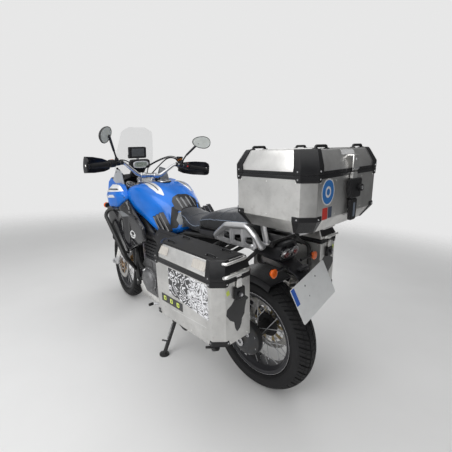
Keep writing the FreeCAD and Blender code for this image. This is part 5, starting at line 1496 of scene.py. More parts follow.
    def lid(self) -> Stock:
        """Lid with an upright rim and sloping bands over their inner faces; its top, corner guards and
        tie-down loops come from close_lid and loops.

        Returns:
            The piece's stock.
        """
        stock = Stock()
        rim = self.seam + self.rim
        rings = [self.ring(self.seam + 1.0, -self.wall), self.ring(self.seam + 1.0),
                 self.ring(rim), self.ring(self.top - 1.5, 0.0, self.drawn_in(self.top - 1.5)),
                 self.ring(self.top, -2.0, self.drawn_in(self.top))]
        # The rim and sloping bands take the lighter aluminium: a painted highlight for the light from above,
        # while the body below keeps the case aluminium.
        stock.skin(rings, Coat.BRIGHT_ALU_AND_TOP_LIGHT, caps=False)
        inner = [self.ring(self.top, -2.0, self.drawn_in(self.top)),
                 self.ring(self.top - self.wall, -2.0 - self.wall, self.drawn_in(self.top)),
                 self.ring(rim, -self.wall), self.ring(self.seam + 1.0, -self.wall)]
        stock.skin(inner[1:], Coat.CASE_ALU, caps=False)
        return stock

    def hinge(self, lid: bool, start: float, third: float, leaf: float) -> Stock:
        """Knuckles and leaves of the hinge on the front edge.

        Args:
            lid: The lid's middle knuckle, or else the two on the body.
            start: Where the first knuckle begins.
            third: From one knuckle to the next.
            leaf: How far the lid's leaf stands above the seam.

        Returns:
            The knuckles with their leaves.
        """
        stock, x, z = Stock(), self.x_high + 9.0, self.seam
        for k in (1,) if lid else (0, 2):
            y0 = start + third * k
            y1 = y0 + third - 0.6
            stock.rod((x, y0, z), (x, y1, z), 7.8, Coat.CORNER_BLACK, 20, 0.8)
            low, high = (z + 3, z + leaf) if lid else (z - 22, z - 3)
            stock.box((self.x_high - 0.4, y0, low), (x - 1, y1, high), Coat.CORNER_BLACK, 0, 0.8)
        return stock

    def close_lid(self, stock: Stock, top: Coat, mat: Coat | None, mat_inset: float) -> None:
        """Top sheet with its mat, the seam profile and corner guards with their screws.

        Args:
            stock: The lid's stock.
            top: Finish of the top sheet.
            mat: Finish of the raised mat, or None.
            mat_inset: How far the mat stays inside the top's edge.
        """
        edge = self.ring(self.top, -2.0, self.drawn_in(self.top))
        under = self.ring(self.top - self.wall, -4.0, self.drawn_in(self.top))
        stock.skin([edge, edge + np.array((0, 0, 0.2)),
                    self.ring(self.top + 0.6, -4.0, self.drawn_in(self.top))], top)
        stock.skin([under + np.array((0, 0, -0.2)), under], Coat.CASE_ALU)
        if mat is not None:
            rows = [(self.top, -mat_inset), (self.top + 2.4, -mat_inset),
                    (self.top + 3.4, -mat_inset - 1.4)]
            stock.skin([self.ring(z, out, self.drawn_in(self.top)) for z, out in rows], mat)
        rows = [(self.seam + 0.5, -self.wall - 1), (self.seam + 0.5, 2.2), (self.seam + 5, 3.0),
                (self.seam + self.band * 0.8, 2.4), (self.seam + self.band * 0.8, 0.2)]
        stock.skin([self.ring(z, out) for z, out in rows], Coat.CORNER_BLACK, caps=False)
        rim = self.seam + self.rim
        for corner in self.corners():
            self.wrap(stock, corner, [(self.seam + 0.5, 3.6, 1.0), (self.seam + 3, 4.2, 1.0),
                                      (rim, 4.2, 0.9), (self.top - 2, 3.6, 0.72),
                                      (self.top + 2.6, 1.5, 0.7), (self.top + 3.0, -6.0, 0.6)],
                      30.0, Coat.CORNER_BLACK)
            plan = self.plan(4.2)
            ends = {0: (7, 0), 1: (1, 2), 2: (3, 4), 3: (5, 6)}[corner]
            for at, onward in ((plan[ends[0]], plan[ends[0] - 1]),
                               (plan[ends[1]], plan[(ends[1] + 1) % 8])):
                step = unit(onward - at)
                out = np.array((step[1], -step[0]))
                place = at + step * 11
                if out @ (place - plan.mean(0)) < 0:
                    out = -out
                stock.bolt((*place, self.seam + 12), (*out, 0.0), 3.4, Coat.STEEL, 1.6)

    def loops(self, stock: Stock, places: Sequence[Point], along: str, half: float = 26.0) -> None:
        """Tie-down loops on the lid's top; along names the way they run.

        Args:
            stock: The stock that takes it in.
            places: Middles of the loops.
            along: Name of their direction.
            half: Half their length.
        """
        for x, y in places:
            run = np.array((1.0, 0, 0)) if along == "X" else np.array((0, 1.0, 0))
            at = np.array((x, y, self.top + 1.5))
            up = np.array((0, 0, 1.0))
            path = [at - run * half, at - run * (half - 4) + up * 10, at + run * (half - 4) + up * 10,
                    at + run * half]
            stock.tube(path, half * 0.14, Coat.CORNER_BLACK, 10, 7.0)
            for side in SIDES:
                foot = at + run * half * side
                stock.box(foot - np.array((8, 8, 2)), foot + np.array((8, 8, 3.5)),
                          Coat.CORNER_BLACK, 3.0, 1.0)


def slab(stock: Stock, outline: Sequence[Point], axis: str, at: float, thickness: float,
         coat: Coat, radius: float = 0.0, steps: int = 6) -> None:
    """Thin film or plate on a flat face; thickness may be negative."""
    low, high = sorted((at, at + thickness))
    stock.prism(outline, low, high, coat, radius, axis, steps)


@dataclass
class SideCases:
    """The two side cases on their racks; the right one mirrors the left."""

    case: LuggageCase = field(default_factory=lambda: LuggageCase(
        "pannier", -175.0, 300.0, 276.0, 456.0, 505.0, 785.0, 855.0,
        (3.0, 40.0, 40.0, 3.0), (20.0, 20.0, 20.0, 4.0), 0.0, 0.5, 22.0))

    def films(self, side: int) -> Stock:
        """Printed films on the outer face and the rear face.

        Args:
            side: 1 for the left and -1 for the right.

        Returns:
            The piece's stock.
        """
        stock, case = Stock(), self.case
        face = case.y_high + 0.1
        if side > 0:
            slab(stock, [(-118, 612), (158, 640), (158, 764), (-118, 764)], "Y", face, 0.35,
                 Coat.CONTOURS, 3.0)
            slab(stock, box_loop(58, 580, 226, 620), "Y", face, 0.35,
                 Coat.FILM_BLACK, 4.0)
            for x in (84, 136, 188):
                slab(stock, box_loop(x, 590, x + 20, 611), "Y", face + 0.3, 0.3,
                     Coat.FILM_YELLOW, 3.0)
                slab(stock, box_loop(x + 5, 594, x + 12, 606), "Y",
                     face + 0.5, 0.3, Coat.FILM_BLACK, 2.0)
            slab(stock, [(-100, 575), (150, 562), (150, 564), (-100, 577)], "Y", face, 0.3,
                 Coat.FILM_WHITE)
        leaf = [(284, 672), (300, 668), (308, 640), (312, 612), (326, 596), (330, 574), (340, 556),
                (356, 546), (366, 566), (372, 596), (394, 612), (414, 640), (410, 664), (386, 676),
                (368, 694), (330, 700), (304, 690)]
        slab(stock, leaf, "X", case.x_low - 0.1, -0.35, Coat.FILM_BLACK, 5.0)
        slab(stock, [(392, 724), (408, 720), (412, 738), (398, 746)], "X", case.x_low - 0.1, -0.35,
             Coat.FILM_YELLOW, 3.0)
        return stock

    def latch(self) -> Stock:
        """Hasp, lock and carrying handle on the rear face.

        Returns:
            The piece's stock.
        """
        stock, case = Stock(), self.case
        x = case.x_low
        stock.prism(box_loop(322, 694, 372, 744), x - 16, x, Coat.CORNER_BLACK,
                    5.0, "X", chamfer=2.0)
        stock.rod((x - 15, 352, 718), (x - 26, 352, 718), 10, Coat.DARK_STEEL, 20, 1.5)
        stock.rod((x - 25, 352, 718), (x - 28, 352, 718), 6, Coat.STEEL, 16, 0.8)
        stock.prism([(334, 744), (362, 744), (359, 782), (337, 782)], x - 12, x - 3,
                    Coat.BRIGHT_ALU_AND_TOP_LIGHT, 2.0, "X", chamfer=1.2)
        stock.tube([(x - 9, 340, 760), (x - 13, 340, 782)], 2.2, Coat.STEEL, 8)
        return stock

    def lid_parts(self, stock: Stock) -> None:
        """Hasp keeper, grab bars, loops and square films on the lid.

        Args:
            stock: The stock that takes it in.
        """
        case = self.case
        x = case.x_low
        stock.prism([(334, 788), (362, 788), (358, 808), (338, 808)], x - 10, x + 1,
                    Coat.BRIGHT_ALU_AND_TOP_LIGHT, 2.0, "X", chamfer=1.2)
        stock.tube([(x + 2, 300, 800), (x - 14, 300, 806), (x - 14, 420, 806), (x + 2, 420, 800)], 7.0,
                   Coat.BRIGHT_ALU_AND_TOP_LIGHT, 18, 9.0)
        out = unit(np.array((-48.0, 0.0, 20.0)))
        ring = np.array([(x + 20 * t, y, 807 + 48 * t)
                         for t, y in ((0.03, 279), (0.97, 282), (0.97, 402), (0.03, 408))])
        stock.skin([ring + out * 0.2, ring + out * 1.4], Coat.CORNER_BLACK)
        stock.tube([(x + 20, 296, 848), (x + 2, 300, 850), (x + 2, 404, 850), (x + 20, 408, 848)], 6.0,
                   Coat.BRIGHT_ALU_AND_TOP_LIGHT, 16, 8.0)
        slope = np.array((0.0, math.cos(math.atan2(20.0, 48.0)), math.sin(math.atan2(20.0, 48.0))))
        run = np.array((0.0, -slope[2], slope[1]))
        for centre in (204.0, -58.0):
            mid = np.array((centre, 446.6, 831.0)) + slope * 0.4
            ring = np.array([mid + np.array((u, 0, 0)) + run * v
                             for u, v in rounded(box_loop(-42, -19, 42, 19), 5)])
            stock.skin([ring, ring + slope * 0.5], Coat.FILM_BROWN)
        case.loops(stock, [(200, 400), (-80, 400)], "X")
        case.loops(stock, [(200, 316), (-80, 316)], "X")

    def make(self) -> None:
        """Build both cases and both lids."""
        lids = {1: Body.LID_LEFT, -1: Body.LID_RIGHT}
        for side, word in ((1, "left"), (-1, "right")):
            body, lid = self.case.body(), self.case.lid()
            self.case.close_lid(lid, Coat.CORNER_BLACK, Coat.MAT_RUBBER, 10.0)
            start, third = self.case.y_low + 20, (self.case.y_high - self.case.y_low - 80.0) / 3.0
            body.take(self.films(side)).take(self.latch())
            body.take(self.case.hinge(False, start, third, 20))
            self.lid_parts(lid)
            lid.take(self.case.hinge(True, start, third, 20))
            if side < 0:
                body, lid = flipped(body), flipped(lid)
            Piece(f"side_case_{word}", body, Body.CHASSIS, "case_alu", [f"pannier_{word}"],
                  0.7).make()
            Piece(f"side_case_lid_{word}", lid, lids[side], "case_alu", [f"pannier_lid_{word}"],
                  0.7).make()


def flipped(stock: Stock) -> Stock:
    """The mirror image of a stock on the motorcycle's other side."""
    return Stock().take(stock, lambda p: p * np.array((1.0, -1.0, 1.0)), True)


@dataclass
class TopCase:
    """The top case on the rear carrier."""

    case: LuggageCase = field(default_factory=lambda: LuggageCase(
        "topcase", -432.0, -62.0, -266.0, 266.0, 972.0, 1180.0, 1262.0,
        (42.0, 42.0, 42.0, 42.0), (24.0, 24.0, 24.0, 24.0), 32.0, 50.0, 30.0, 23.0))

    def latch(self) -> Stock:
        """Lock body, handle and hasp in the middle of the rear face.

        Returns:
            The piece's stock.
        """
        stock, x = Stock(), self.case.x_low
        stock.prism([(-58, 1078), (16, 1078), (24, 1152), (-66, 1152)], x - 20, x,
                    Coat.CORNER_BLACK, 8.0, "X", chamfer=3.0)
        stock.rod((x - 18, -44, 1116), (x - 32, -44, 1116), 14, Coat.CORNER_BLACK, 24, 2.0)
        stock.rod((x - 31, -44, 1116), (x - 34, -44, 1116), 7, Coat.STEEL, 18, 0.8)
        stock.prism([(-36, 992), (6, 992), (10, 1076), (-40, 1076)], x - 18, x - 2,
                    Coat.CORNER_BLACK, 8.0, "X", chamfer=3.0)
        stock.prism(box_loop(-22, 1006, -8, 1060), x - 19, x - 17,
                    Coat.FILM_GREY, 3.0, "X")
        stock.prism([(-34, 1152), (6, 1152), (4, 1176), (-32, 1176)], x - 14, x - 3,
                    Coat.BRIGHT_ALU_AND_TOP_LIGHT, 2.0, "X", chamfer=1.0)
        return stock

    def films(self) -> Stock:
        """A plain roundel and two square films on the rear face.

        Returns:
            The piece's stock.
        """
        stock, x = Stock(), self.case.x_low - 0.1
        for radius, coat, lift in ((47, Coat.FILM_WHITE, 0.3), (42, Coat.FILM_BLUE, 0.5),
                                   (20, Coat.FILM_WHITE, 0.7), (12, Coat.FILM_BLUE, 0.9)):
            loop = circle(radius, 48) * np.array((0.92, 1.0)) + np.array((156.0, 1118.0))
            slab(stock, loop, "X", x, -lift, coat)
        slab(stock, box_loop(154, 1022, 188, 1064), "X", x, -0.35,
             Coat.FILM_RED, 1.5)
        slab(stock, box_loop(124, 1024, 150, 1064), "X", x, -0.35,
             Coat.FILM_SLATE, 1.5)
        return stock

    def make(self) -> None:
        """Build the case and its lid."""
        case = self.case
        body, lid = case.body(), case.lid()
        body.take(self.latch()).take(self.films()).take(case.hinge(False, -90.0, 60.0, 24))
        case.close_lid(lid, Coat.CASE_ALU, None, 0.0)
        ridge = box_loop(case.x_low + 74, -170, case.x_high - 74, 170)
        lid.prism(ridge, case.top, case.top + 2.6, Coat.CASE_ALU, 12.0, "Z", chamfer=1.2)
        case.loops(lid, [(case.x_low + 50, 132), (case.x_low + 50, -150)], "Y", 38.0)
        case.loops(lid, [(case.x_high - 50, 150), (case.x_high - 50, -150)], "Y", 38.0)
        x = case.x_low
        lid.prism([(-36, 1182), (8, 1182), (6, 1240), (-34, 1240)], x - 14, x - 9, Coat.BRIGHT_ALU_AND_TOP_LIGHT,
                  2.0, "X", chamfer=1.2)
        lid.box((x - 13, -34, 1235), (x + 14, 6, 1240), Coat.BRIGHT_ALU_AND_TOP_LIGHT, 0.0, 1.2)
        lid.bolt((x - 14, -14, 1224), (-1, 0, 0), 4.5, Coat.STEEL, 2.0)
        out = unit(np.array((-52.0, 0.0, 24.0)))
        ring = np.array([(x + 24 * t, y, 1210 + 52 * t)
                         for t, y in ((0.6, 44), (0.94, 44), (0.94, -56), (0.6, -56))])
        lid.skin([ring + out * 0.1, ring + out * 0.5], Coat.FILM_WHITE)
        lid.rod((x - 15, -36, 1190), (x - 15, 8, 1190), 3.0, Coat.STEEL, 12)
        lid.take(case.hinge(True, -90.0, 60.0, 24))
        Piece("top_case", body, Body.CHASSIS, "case_alu", ["topcase"], 0.7).make()
        Piece("top_case_lid", lid, Body.TOPCASE_LID, "case_alu", ["topcase_lid"], 0.7).make()


# Bodywork


class Drape:
    """Lays flat shapes on a stock's surface by looking at it along one axis."""

    def __init__(self, stock: Stock, axis: str, side: int = 1) -> None:
        """Prepare the surface.

        Args:
            stock: The surface.
            axis: The axis looked along.
            side: 1 to look from its high end, -1 from its low end.
        """
        points = np.vstack(stock.points)
        self.tree = BVHTree.FromPolygons([Vector(p) for p in points], stock.faces)
        self.third, self.side = "XYZ".index(axis), side
        self.others = [i for i in range(3) if i != self.third]

    def at(self, a: float, b: float, lift: float = 0.0) -> tuple[np.ndarray, np.ndarray]:
        """Place and outward direction of the surface at two plane coordinates.

        Args:
            a: First plane coordinates.
            b: Second plane coordinates.
            lift: Distance off the surface.

        Returns:
            The places and the directions.
        """
        start, way = Vector((0, 0, 0)), Vector((0, 0, 0))
        start[self.others[0]], start[self.others[1]] = a, b
        start[self.third], way[self.third] = 3000.0 * self.side, -1.0 * self.side
        hit, normal, _, _ = self.tree.ray_cast(start, way)
        if hit is None:
            hit, normal, _, _ = self.tree.find_nearest(start + way * 2100.0)
        if normal[self.third] * self.side < 0:
            normal = -normal
        return np.array(hit + normal * lift), np.array(normal)

    def lay(self, lift: float) -> Callable[[np.ndarray], np.ndarray]:
        """A function from plane points to places lifted off the surface."""
        return lambda flat: np.array([self.at(a, b, lift)[0] for a, b in flat])

    def film(self, stock: Stock, outline: Sequence[Point], coat: Coat, radius: float = 0.0,
             lift: float = 0.5, step: float = 9.0) -> None:
        """A film with this outline, laid on the surface."""
        loop = rounded(outline, radius, 4) if radius else np.array(outline, float)
        stock.sheet(loop, self.lay(lift), coat, step, self.lay(lift - 0.9))


def pillow(outline: np.ndarray, outer: Callable[[np.ndarray, np.ndarray], np.ndarray],
           edge: float) -> Callable[[np.ndarray], np.ndarray]:
    """Side panel whose face follows a function and rolls in at its edge.

    Args:
        outline: Plane outline in x and z.
        outer: Distance from the middle of the face, from x and z.
        edge: Radius of the rolled edge.

    Returns:
        A function from plane points to places.
    """
    def place(flat: np.ndarray) -> np.ndarray:
        """Face of the panel at plane points."""
        reach = np.clip(edge - distance_to(flat, outline), 0.0, edge)
        drop = edge - np.sqrt(np.maximum(edge * edge - reach * reach, 0.0))
        y = outer(flat[:, 0], flat[:, 1]) - drop
        return np.column_stack([flat[:, 0], y, flat[:, 1]])
    return place


@dataclass
class FuelTank:
    """Painted tank with a knee recess, filler cap, rear pad and shoulder stripes."""

    stations: tuple[tuple[float, ...], ...] = (
        # x, top, shoulder y z, flank y z, middle y z, low y z, sill y z
        (1064, 1014, 142, 998, 156, 974, 156, 944, 148, 916, 128, 902),
        (1022, 1040, 182, 1020, 197, 986, 194, 940, 184, 896, 164, 868),
        (940, 1056, 194, 1030, 205, 990, 200, 936, 188, 880, 166, 848),
        (860, 1058, 190, 1024, 201, 980, 193, 920, 184, 862, 166, 824),
        (780, 1040, 166, 1002, 180, 960, 176, 904, 180, 838, 166, 794),
        (710, 1006, 138, 972, 154, 934, 158, 876, 176, 812, 164, 772),
        (650, 968, 112, 938, 130, 902, 146, 852, 170, 796, 158, 762),
        (604, 920, 92, 896, 108, 866, 128, 830, 158, 794, 148, 768),
        (562, 866, 72, 850, 84, 832, 96, 814, 104, 798, 98, 786))

    def surface(self) -> Stock:
        """Smooth skin over the stations.

        Returns:
            The piece's stock.
        """
        rings = []
        for row in self.stations:
            x, top = row[0], row[1]
            pairs = [(row[i], row[i + 1]) for i in range(2, 12, 2)]
            (sy, sz), sill = pairs[0], pairs[-1]
            half = [(0.0, top), (sy * 0.4, top - 1.0), (sy * 0.78, top - (top - sz) * 0.35),
                    *pairs, (sill[0] * 0.86, sill[1] - 6), (sill[0] * 0.4, sill[1] - 8),
                    (0.0, sill[1] - 8)]
            curve = spline(half, 44)
            left = [(x, y, z) for y, z in curve]
            right = [(x, -y, z) for y, z in curve[1:-1][::-1]]
            rings.append(np.array(left + right))
        lines = [spline([ring[i] for ring in rings], 56) for i in range(len(rings[0]))]
        rings = [np.array([line[k] for line in lines]) for k in range(56)]
        ends = []
        for ring, push in ((rings[0], 1.0), (rings[-1], -1.0)):
            middle = ring.mean(0)
            ends.append([middle + (ring - middle) * s + np.array((push * d, 0, 0))
                         for s, d in ((0.96, 3.0), (0.86, 4.5), (0.4, 5.5))])
        return Stock().skin([*ends[0][::-1], *rings, *ends[1]], Coat.BLUE).moved(clear_of_steering)

    def cap(self, stock: Stock) -> None:
        """Filler cap with a ring, a lock cover and screws.

        Args:
            stock: The stock that takes it in.
        """
        base, out = self.top.at(872.0, 0.0)
        out = unit(out)
        stock.turned([(-4, 10), (-4, 50), (1.5, 50), (3.0, 48), (3.2, 44)], base, Coat.BLACK_PLASTIC,
                     64, out, False)
        stock.turned([(-2, 43.5), (4.0, 43.5), (7.0, 41.5), (7.8, 37), (7.8, 24), (6.4, 22),
                      (6.4, 0.1)], base, Coat.STEEL, 64, out)
        side, up, _ = frame_of(out)
        stock.box(base + out * 7 + np.array((-16, -9, -1)), base + out * 7 + np.array((16, 9, 3.4)),
                  Coat.DARK_STEEL, 7.0, 1.2)
        for k in range(6):
            turn = math.radians(60 * k + 30)
            place = base + (side * math.cos(turn) + up * math.sin(turn)) * 46.8
            stock.bolt(place + out * 1.6, out, 2.8, Coat.STEEL, 1.2)

    def make(self) -> None:
        """Build the tank and its trim."""
        tank = self.surface()
        self.top = Drape(tank, "Z")
        trim = Stock()
        self.cap(trim)
        stripe = [(962, 92), (946, 118), (884, 134), (820, 144), (748, 136), (700, 108),
                  (764, 92), (836, 88), (900, 84)]
        pad = [(670, 70), (684, 20), (676, -40), (640, -86), (596, -66), (584, -20), (600, 30),
               (590, 66), (616, 92), (650, 92)]
        for side in SIDES:
            self.top.film(trim, [(x, side * y) for x, y in stripe], Coat.WHITE_STRIPE, 5.0)
            line = [(924, 103), (762, 112), (752, 120), (914, 113)]
            self.top.film(trim, [(x, side * y) for x, y in line], Coat.BLACK_STRIPE, 2.0, 0.9)
        self.top.film(trim, pad, Coat.GLOSS_BLACK, 10.0, 1.0)
        for y, wide in ((48, 9), (14, 12), (-22, 10), (-54, 7)):
            rows = [(664, y), (652, y + wide), (606, y + wide * 0.4), (598, y - wide * 0.6)]
            self.top.film(trim, rows, Coat.GREY_STRIPE, 4.0, 1.5)
        for side in SIDES:
            knee = Drape(tank, "Y", side)
            knee.film(trim, [(604, 800), (588, 884), (640, 924), (618, 932), (576, 884), (572, 806)],
                      Coat.BLACK_PLASTIC, 8.0, 0.8)
        low = Drape(tank, "X", -1)
        low.film(trim, [(-96, 806), (96, 806), (104, 850), (84, 892), (30, 908), (-30, 908),
                        (-84, 892), (-104, 850)], Coat.GREY_STRIPE, 16.0, 0.9)
        Piece("fuel_tank_skin", tank, Body.CHASSIS, "blue_paint", ["fuel_tank"],
              smooth_deg=50).make()
        Piece("fuel_tank_trim", trim, Body.CHASSIS, "blue_paint", bevel=0.0).make()


@dataclass
class SideFairing:
    """Painted cowl, dark scoop, silver inner panel and air fins beside the tank's nose."""

    cowl_outline: tuple[Point, ...] = ((1000, 955), (1062, 1042), (1150, 1050), (1262, 984),
                                       (1316, 884), (1240, 872), (1090, 890))
    scoop_outline: tuple[Point, ...] = ((1000, 950), (1090, 886), (1240, 868), (1314, 878),
                                        (1296, 800), (1190, 640), (1070, 556), (1012, 590),
                                        (866, 660), (790, 700), (806, 786), (880, 832), (966, 858))

    @staticmethod
    def cowl_face(x: np.ndarray, z: np.ndarray) -> np.ndarray:
        """How far out the painted cowl's face lies.

        Args:
            x: Place along the machine.
            z: Height.

        Returns:
            Distances from the middle plane.
        """
        ridge = 6.0 * np.exp(-((z - 985 + (x - 1000) * 0.12) / 16.0) ** 2)
        return 252 - 34 * smoothstep(-x, -1090, -1000) - 26 * smoothstep(x, 1210, 1320) \
            - 0.0011 * (z - 950) ** 2 + ridge

    @staticmethod
    def scoop_face(x: np.ndarray, z: np.ndarray) -> np.ndarray:
        """How far out the dark scoop's face lies.

        Args:
            x: Place along the machine.
            z: Height.

        Returns:
            Distances from the middle plane.
        """
        dish = 16.0 * np.exp(-(((x - 1100) / 70.0) ** 2 + ((z - 760) / 90.0) ** 2))
        return 249 - 22 * smoothstep(-x, -1060, -985) - 12 * smoothstep(x, 1240, 1320) \
            - dish - 20 * smoothstep(-z, -700, -556)

    def cowl(self) -> Stock:
        """Painted upper cowl with its striped graphic.

        Returns:
            The piece's stock.
        """
        line = rounded(self.cowl_outline, [20, 26, 30, 24, 12, 12, 20])
        stock = Stock()
        areas = [(np.array([(1026, 1004), (1300, 976), (1300, 1030), (1040, 1050)], float),
                  Coat.WHITE_STRIPE)]
        areas = [(clip_to(area, line), coat) for area, coat in areas]
        face = pillow(line, self.cowl_face, 12.0)

        def back(flat: np.ndarray) -> np.ndarray:
            """Inner face, against the tank."""
            return np.column_stack([flat[:, 0], np.full(len(flat), 190.0), flat[:, 1]])
        stock.sheet(line, face, Coat.BLUE, 9.0, back, areas)
        on = Drape(stock, "Y")
        on.film(stock, [(1062, 1010), (1218, 1000), (1232, 1009), (1076, 1020)], Coat.BLACK_STRIPE,
                2.0, 0.8)
        on.film(stock, [(1108, 956), (1228, 944), (1240, 962), (1120, 974)], Coat.WHITE_STRIPE, 3.0)
        for x, z in ((1024, 962), (1294, 896)):
            place, out = on.at(x, z)
            stock.bolt(place, out, 5.0, Coat.DARK_STEEL, 2.0)
        return stock

    def scoop(self) -> Stock:
        """Dark lower cowl: a thin shell with lips, an oval and a slanted film.

        Returns:
            The piece's stock.
        """
        line = rounded(self.scoop_outline, [6, 10, 8, 8, 30, 40, 30, 30, 24, 24, 14, 14, 10])
        stock = Stock()
        face = pillow(line, self.scoop_face, 14.0)

        def back(flat: np.ndarray) -> np.ndarray:
            """Inner face of the shell."""
            places = face(flat)
            places[:, 1] = np.maximum(places[:, 1] - 5.0, 192.0)
            return places
        stock.sheet(line, face, Coat.GLOSS_BLACK, 9.0, back)
        on = Drape(stock, "Y")
        on.film(stock, [(1112, 862), (1040, 868), (972, 838), (1050, 828)], Coat.GREY_STRIPE, 3.0)
        on.film(stock, oval(38, 27, 2.0, 36) + np.array((946, 716)), Coat.FILM_WHITE)
        on.film(stock, oval(22, 12, 2.0, 24) + np.array((944, 724)), Coat.FILM_BLACK, 0.0, 0.8)
        on.film(stock, [(922, 702), (970, 702), (964, 708), (928, 708)], Coat.FILM_BLACK, 1.0,
                0.8)
        for x, z in ((1016, 900), (1286, 822), (1052, 600), (1172, 668), (820, 716), (840, 800)):
            place, out = on.at(x, z)
            stock.bolt(place, out, 5.0, Coat.DARK_STEEL, 2.0)
        stock.prism([(1020, 830), (1080, 850), (1076, 862), (1016, 844)], 190, 214,
                    Coat.BLACK_PLASTIC, 3.0, "Y", chamfer=1.5)
        for z in (600, 648, 696, 744, 792):
            x = 1072 + (z - 600) * 0.18
            stock.prism([(x - 46, z), (x + 6, z + 10), (x + 6, z + 16), (x - 46, z + 6)], 188, 226,
                        Coat.BLACK_PLASTIC, 1.5, "Y")
        return stock

    def fins(self) -> Stock:
        """Three slanted air fins under the tank's flank.

        Returns:
            The piece's stock.
        """
        stock = Stock()
        for k in range(3):
            x, z = 700 - k * 38, 872 + k * 16
            rows = [(x, z), (x + 15, z + 4), (x - 74, z - 104), (x - 92, z - 100)]
            stock.prism(rows, 168, 200, Coat.GLOSS_BLACK, 5.0, "Y", chamfer=3.0)
        stock.prism([(700, 716), (980, 770), (984, 858), (948, 850), (930, 800), (716, 742)], 166,
                    186, Coat.BLACK_PLASTIC, 8.0, "Y", chamfer=2.0)
        return stock

    def inner_panel(self) -> Stock:
        """Silver panel between the dash and the tank's shoulder.

        Returns:
            The piece's stock.
        """
        line = rounded([(1085, 1020), (1120, 1128), (1205, 1140), (1262, 1060), (1180, 1020)],
                       [6, 18, 18, 10, 6])
        stock = Stock()
        face = pillow(line, lambda x, z: 190 - 0.0009 * (z - 1060) ** 2, 4.0)

        def back(flat: np.ndarray) -> np.ndarray:
            """Inner face of the panel."""
            places = face(flat)
            places[:, 1] -= 5.0
            return places
        stock.sheet(line, face, Coat.SILVER, 9.0, back)
        on = Drape(stock, "Y")
        for x, z in ((1110, 1040), (1190, 1122)):
            place, out = on.at(x, z)
            stock.bolt(place, out, 4.5, Coat.DARK_STEEL, 1.8)
        return stock

    def radiator(self) -> Stock:
        """Finned core between two tanks, with hose stubs.

        Returns:
            The piece's stock.
        """
        stock = Stock()
        run = unit(np.array((46.0, 226.0)))
        corner = np.array((1056.0, 628.0))
        across = np.array((136.0, 0.0))
        for k in range(44):
            a = corner + run * (k * 4.8)
            b = a + across
            stock.prism([a, b, b + run * 1.2, a + run * 1.2], 162, 182, Coat.CORE)
        for low in (0.0, 212.0):
            a = corner + run * low
            stock.prism([a, a + across, a + across + run * 10, a + run * 10], 158, 186,
                        Coat.BLACK_PLASTIC, 2.0, "Y", chamfer=1.5)
        for shift in (-6.0, 136.0):
            a = corner + np.array((shift, 0.0)) - run * 6
            b = a + run * 232
            wide = np.array((8.0, 0.0))
            stock.prism([a, a + wide, b + wide, b], 158, 186, Coat.BLACK_PLASTIC, 2.0, "Y",
                        chamfer=1.5)
        stock.rod((1064, 176, 640), (1040, 150, 624), 13, Coat.HOSE, 18, 2.0)
        return stock

    def make(self) -> None:
        """Build both sides."""
        for name, stock, slot, node in (
                ("painted_cowls", self.cowl(), "blue_paint", "side_cowls"),
                ("dark_scoops", self.scoop(), "black_plastic", "side_scoops"),
                ("inner_panels", self.inner_panel(), "silver_paint", "tank_side_panels")):
            Piece(name, stock.mirrored(), Body.CHASSIS, slot, [node], smooth_deg=40).make()
        Piece("air_fins", self.fins().mirrored(), Body.CHASSIS, "black_plastic").make()
        Piece("radiator_core", self.radiator(), Body.CHASSIS, "radiator_black",
              ["radiator"]).make()


def clip_to(shape: np.ndarray, window: np.ndarray) -> np.ndarray:
    """The part of a convex plane shape inside a nearly convex window.

    Args:
        shape: Corners of the shape.
        window: Corners of the window.

    Returns:
        Corners of the clipped shape.
    """
    area = np.sum(window[:, 0] * np.roll(window[:, 1], -1)
                  - np.roll(window[:, 0], -1) * window[:, 1])
    middle = window.mean(0)
    out = list(shape)
    for a, b in zip(window, np.roll(window, -1, 0)):
        a, b = a + (middle - a) * 0.004, b + (middle - b) * 0.004
        normal = np.array((-(b - a)[1], (b - a)[0])) * (1 if area > 0 else -1)
        if np.linalg.norm(normal) < 1e-6:
            continue
        kept = []
        for p, q in zip(out, out[1:] + out[:1]):
            dp, dq = float((p - a) @ normal), float((q - a) @ normal)
            if dp >= 0:
                kept.append(p)
            if dp * dq < 0:
                kept.append(p + (q - p) * dp / (dp - dq))
        out = kept
        if len(out) < 3:
            return shape
    return np.array(out)


